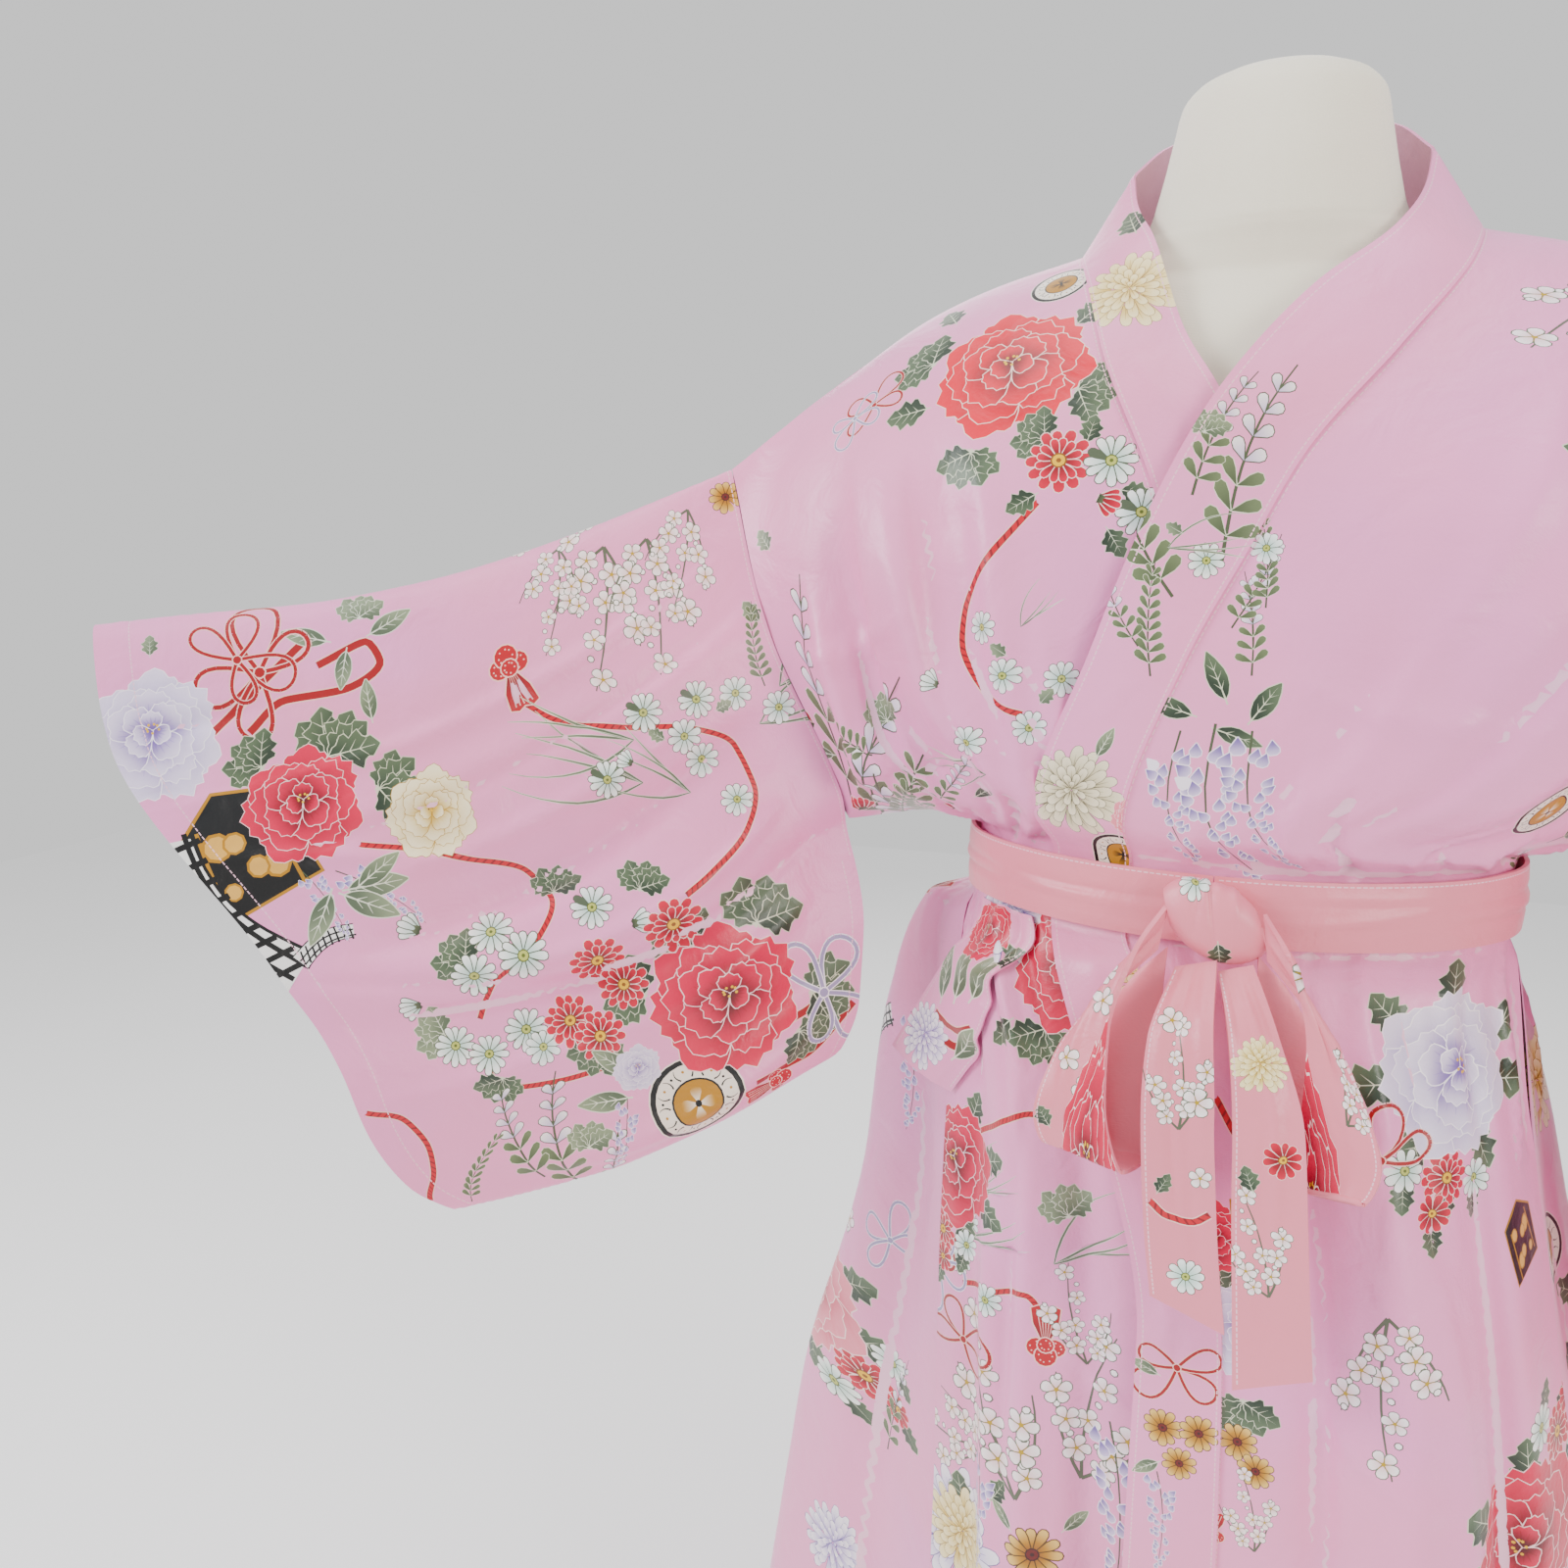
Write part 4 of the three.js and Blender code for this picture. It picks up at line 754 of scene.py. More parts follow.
def cut_flat(size, shapes, spacing, slack):
    """The flat cloth as triangles: (places, triangles, the topmost shape of each, or -1 for bare cloth)."""
    width, length = size
    corners = [(0, 0), (width, 0), (width, length), (0, length)]
    places, loops = list(corners), [[0, 1, 2, 3]]
    for shape in shapes:
        outline = shape[0]
        loops.append(list(range(len(places), len(places) + len(outline))))
        places += [tuple(p) for p in (outline if signed_area(outline) > 0 else outline[::-1])]
    columns, rows = max(int(width / spacing), 2), max(int(length / spacing), 2)
    x, y = np.meshgrid(np.linspace(0, width, columns + 1), np.linspace(0, length, rows + 1))
    inner = (x > 0) & (x < width) & (y > 0) & (y < length)
    x = x + inner * (np.arange(rows + 1) % 2 - 0.5)[:, None] * 0.4 * spacing
    grid = list(zip(x.ravel(), y.ravel()))
    places += grid
    found = delaunay_2d_cdt([Vector(p) for p in places], [], loops, 0, CLOSE, True)
    flat = np.array([tuple(p) for p in found[0]])
    for side, end in enumerate(size):
        flat[:, side] = np.where(flat[:, side] < NEAR, 0, np.where(flat[:, side] > end - NEAR, end, flat[:, side]))
    kept, top, covered = [], [], np.zeros(len(loops))
    for face, inside in zip(found[2], found[5]):
        if 0 not in inside:
            continue
        a, b, c = (flat[i] for i in face)
        area = (b[0] - a[0]) * (c[1] - a[1]) - (c[0] - a[0]) * (b[1] - a[1])
        for i in inside:
            covered[i] += area / 2
        kept.append(face)
        top.append(inside)
    # An outline that crosses itself can spill over the cloth, so one that covers far more than its area is left out.
    own = np.array([0, *(abs(signed_area(shape[0])) for shape in shapes)])
    spilt = covered > 1.6 * own + 3
    spilt[0] = False
    top = np.array([max(i for i in inside if not spilt[i]) - 1 for inside in top])
    return only_seen(flat, np.array(kept), top, grid, slack)


def only_seen(flat, faces, top, grid, slack):
    """The same picture without the outlines that lie hidden under other shapes, and without needless points."""
    tree = BVHTree.FromPolygons([(x, y, 0.0) for x, y in flat.tolist()], faces.tolist())
    pairs = np.sort(np.concatenate([faces[:, [0, 1]], faces[:, [1, 2]], faces[:, [2, 0]]]), axis=1)
    owner = np.tile(np.arange(len(faces)), 3)
    order = np.lexsort((pairs[:, 1], pairs[:, 0]))
    pairs, owner = pairs[order], owner[order]
    twin = np.flatnonzero((pairs[1:] == pairs[:-1]).all(1))
    seen = pairs[twin[top[owner[twin]] != top[owner[twin + 1]]]]
    joined = {}
    for a, b in seen.tolist():
        joined.setdefault(a, set()).add(b)
        joined.setdefault(b, set()).add(a)
    for _ in range(3):
        resting = set()
        for i in list(joined):
            if i in resting or len(joined[i]) != 2:
                continue
            a, b = joined[i]
            if b in joined[a]:
                continue
            x, y = flat[b] - flat[a]
            reach = np.hypot(x, y)
            if reach < 6 and abs(x * (flat[i][1] - flat[a][1]) - y * (flat[i][0] - flat[a][0])) < slack * reach:
                joined[a].remove(i)
                joined[b].remove(i)
                joined[a].add(b)
                joined[b].add(a)
                del joined[i]
                resting.update((a, b))
    number = {i: n for n, i in enumerate(joined)}
    edges = [(number[a], number[b]) for a in joined for b in joined[a] if a < b]
    points = [Vector(flat[i]) for i in joined] + [Vector(p) for p in grid]
    found = delaunay_2d_cdt(points, edges, [], 0, CLOSE, False)
    flat, faces = np.array([tuple(p) for p in found[0]]), np.array(found[2])
    below = Vector((0, 0, -1))
    middles = flat[faces].mean(1).tolist()
    hits = [tree.ray_cast(Vector((x, y, 1.0)), below)[2] for x, y in middles]
    return flat, faces, np.array([-1 if hit is None else top[hit] for hit in hits])


def inks_at(shapes, top, places):
    """The ink of each corner: places has three for each triangle, and top gives its shape."""
    first = (np.zeros((4, 2)), np.zeros(2), np.eye(2), np.zeros(2), np.ones(2), SATIN_INK, SATIN_INK)
    table = [first, *shapes]
    origin, axes, base, tip, c0, c1 = (np.array([row[k] for row in table]) for k in range(1, 7))
    which = top + 1
    local = np.einsum("fij,fcj->fci", axes[which], places - origin[which][:, None])
    run = (tip - base)[which]
    t = np.einsum("fci,fi->fc", local - base[which][:, None], run) / np.maximum((run**2).sum(1), 1e-9)[:, None]
    t = smooth(t, 0, 1)[..., None]
    return mix(c0[which][:, None], c1[which][:, None], t)


def thinned(shapes, slack, least):
    """The shapes without points that bend their outlines by less than the slack, and without those of tiny area."""
    found = []
    for outline, *rest in shapes:
        kept = [outline[0]]
        for here, ahead in zip(outline[1:-1].tolist(), outline[2:].tolist()):
            x, y = ahead[0] - kept[-1][0], ahead[1] - kept[-1][1]
            aside = abs(x * (here[1] - kept[-1][1]) - y * (here[0] - kept[-1][0]))
            if aside > slack * np.hypot(x, y):
                kept.append(here)
        kept = np.array([*kept, outline[-1]], float)
        if abs(signed_area(kept)) > least:
            found.append((kept, *rest))
    return found


def edge_loops(faces):
    """The loops of a sheet's open edges, its outline first."""
    edges = np.concatenate([faces[:, [0, 1]], faces[:, [1, 2]], faces[:, [2, 0]]])
    both = {(a, b) for a, b in edges.tolist()}
    ahead = {}
    for a, b in both:
        if (b, a) not in both:
            ahead.setdefault(a, []).append(b)
    loops = []
    while ahead:
        loop = [next(iter(ahead))]
        while loop[-1] in ahead:
            step = ahead[loop[-1]].pop()
            if not ahead[loop[-1]]:
                del ahead[loop[-1]]
            if step == loop[0]:
                break
            loop.append(step)
        loops.append(np.array(loop))
    return sorted(loops, key=len, reverse=True)


def sheet_object(
    name, cloth, shapes, spacing, material, thick=THREAD, ground=SATIN_INK, wrong=WRONG_INK, slack=0.14, least=0.3
):
    """The finished sheet as a closed, thin, printed mesh in metres: slack and least thin out the print's outlines."""
    width, length = cloth["size"]
    shapes = [s for s in shapes if (s[0].max(0) > 0).all() and (s[0].min(0) < cloth["size"]).all()]
    shapes = thinned(shapes, slack, least)
    flat, faces, top = cut_flat((width, length), shapes, spacing, slack)
    used = np.unique(faces)
    number = np.full(len(flat), -1)
    number[used] = np.arange(len(used))
    flat, faces = flat[used], number[faces]
    loop, *slits = edge_loops(faces)
    mended = [(slit[0], slit[i + 1], slit[i]) for slit in slits for i in range(1, len(slit) - 1)]
    if mended:
        faces, top = np.concatenate([faces, mended]), np.append(top, [-1] * len(mended))
    # The wrong side is coarser, and shares the outline's places.
    columns, rows = max(int(width / spacing / 1.7), 2), max(int(length / spacing / 1.7), 2)
    gx, gy = np.meshgrid(np.linspace(0, width, columns + 1)[1:-1], np.linspace(0, length, rows + 1)[1:-1])
    places = [Vector(p) for p in flat[loop]] + [Vector(p) for p in zip(gx.ravel(), gy.ravel())]
    under = delaunay_2d_cdt(places, [], [list(range(len(loop)))], 1, 1e-4, True)
    under_flat = np.array([tuple(p) for p in under[0]])
    at_loop = {source: i for i, sources in enumerate(under[3]) for source in sources}
    under_loop = np.array([at_loop[i] for i in range(len(loop))])
    under_flat[under_loop] = flat[loop]
    under_faces = np.array(under[2])[:, ::-1] + len(flat)
    ahead = np.roll(np.arange(len(loop)), -1)
    o0, o1 = loop, loop[ahead]
    i0, i1 = under_loop + len(flat), under_loop[ahead] + len(flat)
    rim = np.concatenate([np.stack([o1, o0, i0], 1), np.stack([o1, i0, i1], 1)])
    triangles = np.concatenate([faces, under_faces, rim])
    if cloth["outward"] < 0:
        triangles = triangles[:, ::-1]
    everywhere = np.concatenate([flat, under_flat])
    normals = unit(found_on(cloth, cloth["normals"], everywhere))
    normals *= np.where(np.arange(len(everywhere)) < len(flat), 1.0, -1.0)[:, None]
    points = found_on(cloth, cloth["points"], everywhere) * 0.001 + normals * thick / 2
    colours = np.empty((len(triangles), 3, 3))
    corners = flat[faces]
    colours[: len(faces)] = inks_at(shapes, top, corners)
    colours[: len(faces)][top < 0] = ground
    if cloth["outward"] < 0:
        colours[: len(faces)] = colours[: len(faces)][:, ::-1]
    colours[len(faces) :] = wrong
    colours[len(faces) + len(under_faces) :] = ground
    mesh = bpy.data.meshes.new(name)
    mesh.vertices.add(len(points))
    mesh.loops.add(triangles.size)
    mesh.polygons.add(len(triangles))
    mesh.vertices.foreach_set("co", points.ravel())
    mesh.loops.foreach_set("vertex_index", triangles.ravel())
    mesh.polygons.foreach_set("loop_start", np.arange(0, triangles.size, 3))
    printed = np.concatenate([colours.reshape(-1, 3), np.ones((triangles.size, 1))], 1)
    mesh.color_attributes.new("print", "FLOAT_COLOR", "CORNER").data.foreach_set("color", printed.ravel())
    cut = everywhere[triangles.ravel()] * 0.001
    mesh.uv_layers.new(name="cut").uv.foreach_set("vector", cut.ravel())
    mesh.update(calc_edges=True)
    mesh.shade_smooth()
    corner_normals = normals[triangles.ravel()]
    p = points[triangles[-len(rim) :]]
    flat_normals = unit(np.cross(p[:, 1] - p[:, 0], p[:, 2] - p[:, 0]), 1e-12)
    corner_normals[-3 * len(rim) :] = np.repeat(flat_normals, 3, axis=0)
    mesh.normals_split_custom_set(corner_normals)
    mesh.materials.append(material)
    piece = bpy.data.objects.new(name, mesh)
    bpy.context.collection.objects.link(piece)
    return piece


PRINTS, LINES = {}, {}


def printed(cloth, name):
    """The motifs and lines of a piece's print, as shapes on its flat cloth."""
    shapes = []
    for kind, path in LINES.get(name, ()):
        shapes += cord(cloth, path) if kind == "cord" else ribbon(cloth, path)
    for kind, tint, *places in PRINTS[name]:
        for x, y, size, turn in places:
            shapes += placed(cloth, MOTIFS[kind](size, tint or "red"), x, y, turn)
    return shapes


def sewn(piece, node_name, slot, flat, held, rests_on):
    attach(piece, "root")
    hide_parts(node_name)


def hemmed(cloth, deep, lift=0.55):
    """The cloth with a turned hem along its foot, which stands up by the folded cloth's thickness."""
    rows, columns = cloth["points"].shape[:2]
    y = np.broadcast_to(np.linspace(0, cloth["size"][1], rows)[:, None], (rows, columns))
    inside = cloth["size"][1] - y
    high = lift * (1 - smooth(inside, deep - 1.5, deep + 1.5)) - 0.3 * np.exp(-(((inside - deep) / 2) ** 2))
    return hang(cloth["points"] + cloth["normals"] * high[..., None], cloth["outward"])


SIDE_LAP, SHOULDER_LAP = 1.7, 0.35  # how far a front stands off the back at the side and on the shoulder
WAIST_HEIGHT, WAIST_HALF, WAIST_FRONT, WAIST_BACK, WAIST_Y = 1040, 165, 126, 117, -6
UNDER_BELT, SECOND_LAYER = 4.6, 9  # depths under the belt's middle
ARMHOLE_DROP, ARMHOLE_SHARE, ROBE_DROP = 255, 0.63, 1330
BELT_DROP, HALF_BELT, BELT_RISE = 430, 23, 22  # the drop of the belt's middle, and half its width in drop and height
WAIST_LEVELS = (BELT_DROP - HALF_BELT, BELT_DROP, BELT_DROP + HALF_BELT)
EDGE = 0.0008  # the fronts start and end this share of their width inside the seam line
HEM = 24  # the turned hem at the robe's foot


def fold_height(folds, u, v):
    """Long soft bumps and troughs: at and wide are shares of the width, and lean is the shift across for each metre."""
    total = 0
    for at, lean, wide, high, start, end, soft in folds:
        across = np.exp(-(((u - at - lean * (v - start) * 1e-3) / wide) ** 2))
        total = total + high * across * smooth(v, start, start + soft) * (1 - smooth(v, end - soft, end))
    return total


# Each sleeve's edge at the body and at the cuff, by share down the sleeve: the fronts and the back end at that edge.
SLEEVES = {
    "right": {
        "out": (0.5, -0.866, 0), "aside": 0, "sag": 24, "belly": 15, "puff": 26, "mouth": 25,
        "edges": [
            (0, (-335, -46, 1297), (-704, -257, 1194)), (0.25, (-313, -52, 1200), (-684, -262, 1116)),
            (ARMHOLE_SHARE, (-248, -48, 1060), (-571, -248, 974)), (0.77, (-232, -56, 988), (-532, -243, 914)),
            (0.87, (-232, -62, 940), (-514, -240, 868)), (0.95, (-241, -69, 904), (-490, -233, 832)),
            (1, (-266, -78, 883), (-462, -222, 812)),
        ],
        "folds": [
            (0.24, 0.2, 0.05, 6, -100, 900, 250), (0.4, 0.22, 0.05, -7, -100, 1100, 300),
            (0.6, 0.05, 0.06, 8, -100, 1200, 300), (0.82, -0.15, 0.05, -6, 200, 1300, 300),
        ],
    },
    "left": {
        "out": (0, -1, 0), "aside": 1.4, "sag": -14, "belly": 0, "puff": 72, "mouth": 108,
        "edges": [
            (0, (262, 4, 1238), (336, 2, 806)), (0.25, (252, 4, 1180), (330, 4, 792)),
            (ARMHOLE_SHARE, (212, 4, 1068), (308, 8, 752)), (0.85, (222, 4, 986), (298, 10, 724)),
            (0.95, (232, 4, 932), (294, 12, 706)), (1, (236, 4, 912), (292, 12, 698)),
        ],
        "folds": [
            (0.3, 0, 0.07, 9, 100, 1400, 400), (0.5, 0, 0.06, -12, 100, 1400, 400), (0.7, 0, 0.07, 9, 100, 1400, 400),
        ],
    },
}


def sleeve_point(sleeve, s, h, side):
    """Points of a sleeve: s of the way to the cuff, share h down, on the front (side 1) or the back (side -1)."""
    shares, body, cuff = zip(*sleeve["edges"])
    s, h, side = (np.atleast_1d(np.asarray(x, float)) for x in (s, h, side))
    p = mix(curve(shares, body, h), curve(shares, cuff, h), s[:, None])
    p[:, 2] -= np.sin(np.pi * s) * mix(sleeve["sag"], sleeve["belly"], h)
    sewn = np.maximum(np.sin(np.pi * h / ARMHOLE_SHARE), 0)
    loose = np.maximum(np.sin(np.pi * (h - ARMHOLE_SHARE) / (1 - ARMHOLE_SHARE)), 0)
    at_body = np.where(h < ARMHOLE_SHARE, 3 + 21 * sewn**0.8, 3 + 9 * loose)
    puff = mix(at_body, 3 + mix(sleeve["puff"], sleeve["mouth"], s), smooth(s, 0, 0.3))
    rounded = 2 * np.sqrt(np.maximum(h * (1 - h), 0))
    reach = side * puff * rounded**0.75 + rounded * fold_height(sleeve["folds"], h, s * 1000)
    return p + reach[:, None] * np.array(sleeve["out"])


def armhole(name, drop, side):
    drop = np.atleast_1d(np.asarray(drop, float))
    share = drop / ARMHOLE_DROP * ARMHOLE_SHARE
    return sleeve_point({**SLEEVES[name], "folds": []}, 0 * share, share, 0 * share + side)


def waist_point(angle, depth, rise):
    """Round the waist from the front towards the wearer's left, in degrees, and so deep under the belt's middle."""
    turn = np.radians(angle)
    reach = np.where(np.cos(turn) > 0, WAIST_FRONT, WAIST_BACK)
    x, y = (WAIST_HALF - depth) * np.sin(turn), WAIST_Y - (reach - depth) * np.cos(turn)
    return np.stack([x, y, WAIST_HEIGHT + rise + 0 * x], -1)


def rise_at(drop):
    return (BELT_DROP - drop) / HALF_BELT * BELT_RISE


def row_curves(name, at, rows, u):
    """Each level's curve at the shares u, with the levels at the belt among them: (drops, curves)."""
    angles = curve(at, WAIST_OF[name], u)
    found = [(drop, curve(at, stations, u)) for drop, stations in rows]
    found += [(drop, waist_point(angles[:, 0], angles[:, 1], rise_at(drop))) for drop in WAIST_LEVELS]
    found.sort(key=lambda pair: pair[0])
    return np.array([drop for drop, _ in found], float), np.array([points for _, points in found])


def front_rows(rows, sleeve):
    full = []
    for drop, *stations in rows:
        side = [] if len(stations) == 4 else [armhole(sleeve, drop, 1)[0]]
        full.append((drop, np.array([*stations, *side], float)))
    return full


def front_grid(side, u, v):
    """Points of a front for shares u across and drops v: an array of levels, columns and coordinates."""
    rows = front_rows(FRONT_RIGHT if side == "right" else FRONT_LEFT, side)
    drops, across = row_curves(f"front_{side}", FRONT_AT, rows, np.append(u, 1.0))
    lofted = curve(drops, across, v)
    edge, p = lofted[:, -1], lofted[:, :-1].copy()
    pull = smooth(u, 0.6, 1)[None, :]
    sewn = (v <= ARMHOLE_DROP)[:, None, None]
    p += sewn * (armhole(side, np.minimum(v, ARMHOLE_DROP), 1) - edge)[:, None] * pull[..., None]
    p[..., 1] -= smooth(v, ARMHOLE_DROP, 320)[:, None] * SIDE_LAP * pull
    p[..., 1] -= (1 - smooth(v, 0, 20))[:, None] * SHOULDER_LAP
    turn = (-0.55 if side == "right" else 0.55) * u * u
    outward = np.stack([turn, 0 * u - 1, 0 * u], -1)
    outward /= np.linalg.norm(outward, axis=1)[:, None]
    return p + fold_height(FOLDS_OF[f"front_{side}"], u[None, :], v[:, None])[..., None] * outward


def grid_of(shape, columns, rows, start, end):
    return shape(np.linspace(start, end, columns), np.linspace(0, ROBE_DROP, rows))


def pleats(cloth, places, up, down):
    """Pleats from the belt: places are shares of the width there, and up and down are how far they reach."""
    width, rows = cloth["size"][0], []
    belt = BELT_DROP / ROBE_DROP * cloth["size"][1]
    for i, share in enumerate(places):
        x, lift = share * width, (2.6 + 1.6 * uneven(i, 5)) * (-1) ** i
        above, below = (x - width / 2) * 0.12, (x - width / 2) * 0.1
        rows.append((
            x, belt - 18, x + 34 * uneven(i, 6) + above, belt - up * (0.7 + 0.3 * uneven(i, 7)),
            5 * uneven(i), 6.5 + 2.5 * uneven(i, 8), lift,
        ))
        rows.append((
            x + 4, belt + 19, x + 16 * uneven(i, 9) + below, belt + down * (0.75 + 0.3 * uneven(i, 2)),
            4 * uneven(i, 4), 7 + 2.5 * uneven(i, 3), -lift,
        ))
    return rows


# Rows of the fronts: drop, neckband seam, chest, outer chest, and the side seam below the armhole.
FRONT_AT = (0, 0.33, 0.68, 1)
FRONT_RIGHT = [
    (0, (-111, 0, 1428), (-195, -1, 1402), (-268, -28, 1350)),
    (20, (-109, -20, 1422), (-194, -21, 1396), (-267, -44, 1341)),
    (60, (-101, -56, 1402), (-191, -62, 1370), (-262, -72, 1308)),
    (130, (-84, -98, 1351), (-174, -116, 1304), (-246, -98, 1242)),
    (200, (-57, -122, 1292), (-156, -138, 1240), (-228, -106, 1178)),
    (255, (-38, -132, 1242), (-140, -142, 1188), (-212, -100, 1126)),
    (320, (-14, -132, 1170), (-112, -135, 1128), (-178, -90, 1088), (-208, -24, 1064)),
    (385, (14, -122, 1086), (-84, -114, 1079), (-149, -70, 1071), (-174, -10, 1067)),
    (480, (24, -124, 996), (-78, -112, 996), (-142, -80, 996), (-166, -24, 996)),
    (560, (42, -132, 916), (-58, -132, 916), (-126, -110, 916), (-168, -58, 916)),
    (700, (56, -140, 780), (-44, -142, 780), (-118, -126, 780), (-168, -76, 780)),
    (900, (62, -144, 580), (-38, -146, 580), (-112, -134, 580), (-165, -84, 580)),
    (1330, (70, -150, 150), (-32, -152, 150), (-110, -140, 150), (-165, -88, 150)),
]
WAIST_OF, FOLDS_OF = {}, {}  # each station's angle round the waist and depth under the belt, and the long folds
WAIST_OF["front_right"] = [(10, SECOND_LAYER), (-36, SECOND_LAYER), (-62, UNDER_BELT), (-91, UNDER_BELT)]
FOLDS_OF["front_right"] = [
    (0.36, 0.1, 0.07, -10, 110, 395, 70), (0.53, -0.3, 0.08, 13, 60, 400, 90), (0.7, -0.5, 0.07, -12, 90, 380, 90),
    (0.86, -0.6, 0.07, 9, 120, 330, 70), (0.42, -0.02, 0.06, -8, 465, 1500, 160),
    (0.62, -0.05, 0.07, 9, 460, 1500, 160), (0.82, 0.02, 0.07, -8, 465, 1500, 160),
]
# Small creases: start across and down, end across and down, bow, half width and height, in millimetres.
right_front = hang(grid_of(lambda u, v: front_grid("right", u, v), 130, 560, EDGE, 1 - EDGE))
right_front = creased(right_front, pleats(right_front, (0.3, 0.4, 0.5, 0.58, 0.66, 0.74, 0.82, 0.9, 0.96), 120, 190) + [
    (70, 150, 130, 400, 14, 10, 4.5), (112, 120, 165, 390, 20, 9, -4), (150, 90, 190, 330, 16, 9, 4),
    (60, 250, 100, 405, 6, 7, 3), (185, 180, 205, 380, 10, 8, -3.5), (215, 120, 222, 300, 8, 8, 3),
    (120, 210, 240, 150, 14, 8, 2.2), (140, 300, 235, 262, 8, 7, -2), (60, 620, 95, 900, 12, 11, 3),
    (150, 560, 180, 860, -12, 12, -4), (205, 640, 190, 1120, 10, 13, 4), (100, 860, 110, 1300, -14, 13, -4),
    (30, 700, 45, 1250, 8, 10, -2.5), (60, 760, 140, 700, 12, 7, 1.6), (70, 980, 170, 930, -14, 8, 1.8),
], 1.5)
# Each row of a print is a motif, its ink, and its places: across, down, size and turn in degrees.
PRINTS["right_front"] = [
    ("leaves", "dark", (92, 73, 32, -31)), ("leaf", "dark", (98, 100, 28, -61)),
    ("leaves", "dark", (17, 138, 26, 127), (75, 143, 27, -142)), ("leaf", "dark", (10, 92, 24, 66),
    (79, 45, 24, -8)), ("roundel", "dark", (15, 48, 19, 3)), ("peony", "coral", (46, 105, 47, 15)),
    ("leaves", "dark", (38, 157, 23, -39)), ("leaf", "dark", (21, 171, 17, 42), (49, 187, 19, -95),
    (14, 207, 17, 129), (24, 225, 18, 175)), ("daisy", "red", (35, 174, 19, 24)),
    ("daisy", "white", (14, 188, 15, 24), (9, 224, 14, 24)), ("bud", "red", (25, 204, 15, 138)),
    ("ribbons", "red", (137, 69, 27, 17)), ("ribbons", "lilac", (154, 64, 23, -168)),
    ("daisy", "white", (88, 243, 9.8, 34), (85, 273, 10.3, 32), (61, 289, 10.2, 24), (85, 306, 10.4, 28),
    (123, 297, 10, 42)), ("grass", "", (123, 322, 56, -60), (70, 254, 34, 67)), ("leaf", "grey", (80, 264, 11, -27),
    (74, 296, 11, 65)), ("bud", "white", (121, 259, 13, -29)), ("spray", "", (275, 297, 130, 76),
    (255, 257, 114, 56), (329, 370, 123, 70)), ("fern", "", (277, 365, 111, 73)),
    ("leaves", "grey", (178, 247, 21, 21), (225, 243, 19, -38)), ("fern", "", (275, 312, 82, 91),
    (198, 259, 51, -12)), ("spray", "", (198, 332, 58, 83)), ("bud", "red", (261, 270, 18, 67), (267, 189, 16, -10),
    (211, 358, 17, 81)), ("slim", "grey", (261, 214, 23, -33)), ("slim", "dark", (155, 340, 19, 93)),
    ("leaf", "grey", (249, 73, 17, 9)), ("daisy", "white", (16, 258, 6.6, 23)),
    ("mum", "lilac", (156, 455, 36, -34)), ("leaf", "dark", (177, 496, 25, -112)),
    ("leaves", "dark", (192, 507, 28, -96), (134, 525, 28, -177)), ("leaf", "dark", (160, 524, 25, -140)),
    ("peony", "red", (100, 484, 39, -18)), ("daisy", "white", (241, 639, 9.8, -8), (232, 676, 9.8, -6),
    (241, 706, 9.2, -4), (198, 714, 10.8, -6)), ("grass", "", (236, 688, 72, 54), (232, 654, 59, 48)),
    ("tassel", "", (142, 703, 45, 178)), ("branch", "", (159, 843, 120, -23), (117, 823, 106, 10),
    (198, 825, 90, -96), (111, 741, 67, -12)), ("wisteria", "", (95, 768, 122, 175)),
    ("ribbons", "red", (282, 705, 40, -7)), ("ribbons", "lilac", (269, 720, 34, 137)),
    ("grass", "", (136, 672, 73, 53)), ("mum", "lilac", (290, 663, 30, -10)), ("peony", "red", (329, 752, 34, -3)),
    ("leaves", "grey", (125, 639, 24, -21)), ("mum", "lilac", (232, 903, 50, -3)),
    ("leaf", "dark", (231, 882, 27, -16), (187, 846, 19, 28)), ("daisy", "ochre", (149, 870, 19, -2)),
    ("slim", "grey", (126, 851, 21, 45), (168, 857, 19, -50)), ("mum", "cream", (232, 900, 34, 0)),
    ("bouquet", "red", (250, 640, 40, -40)), ("ribbons", "red", (236, 760, 34, 20)),
    ("bouquet", "red", (240, 1120, 44, 60)), ("wisteria", "", (200, 820, 90, 180)),
    ("spray", "", (245, 990, 80, -20)), ("wisteria", "", (60, 1220, 90, 184)),
    ("roundel", "gold", (236, 1230, 22, 0)), ("branch", "", (190, 1300, 90, 0)),
]
LINES["right_front"] = [
    ("cord", [(49, 192), (73, 207), (97, 227), (104, 250), (100, 278), (85, 297)]),
    ("cord", [(256, 629), (201, 599), (147, 577), (114, 577)]),
    ("cord", [(85, 599), (82, 611), (73, 619)]),
    ("cord", [(237, 720), (194, 707), (157, 695), (144, 706)]),
]
right_front = hemmed(right_front, HEM)


def side_and_foot_stitches(cloth):
    width, length = cloth["size"]
    return stitches(cloth, 0, length - HEM, width, length - HEM) + stitches(cloth, 3.2, 8, 3.2, length - 6)


shapes = printed(right_front, "right_front") + side_and_foot_stitches(right_front)
right_front_satin = sheet_object("right_front_satin", right_front, shapes, 5, body_satin)
sewn(right_front_satin, "front_right", "satin", (0.267, 1.324), "hung", ["form_torso", "left_front_satin"])


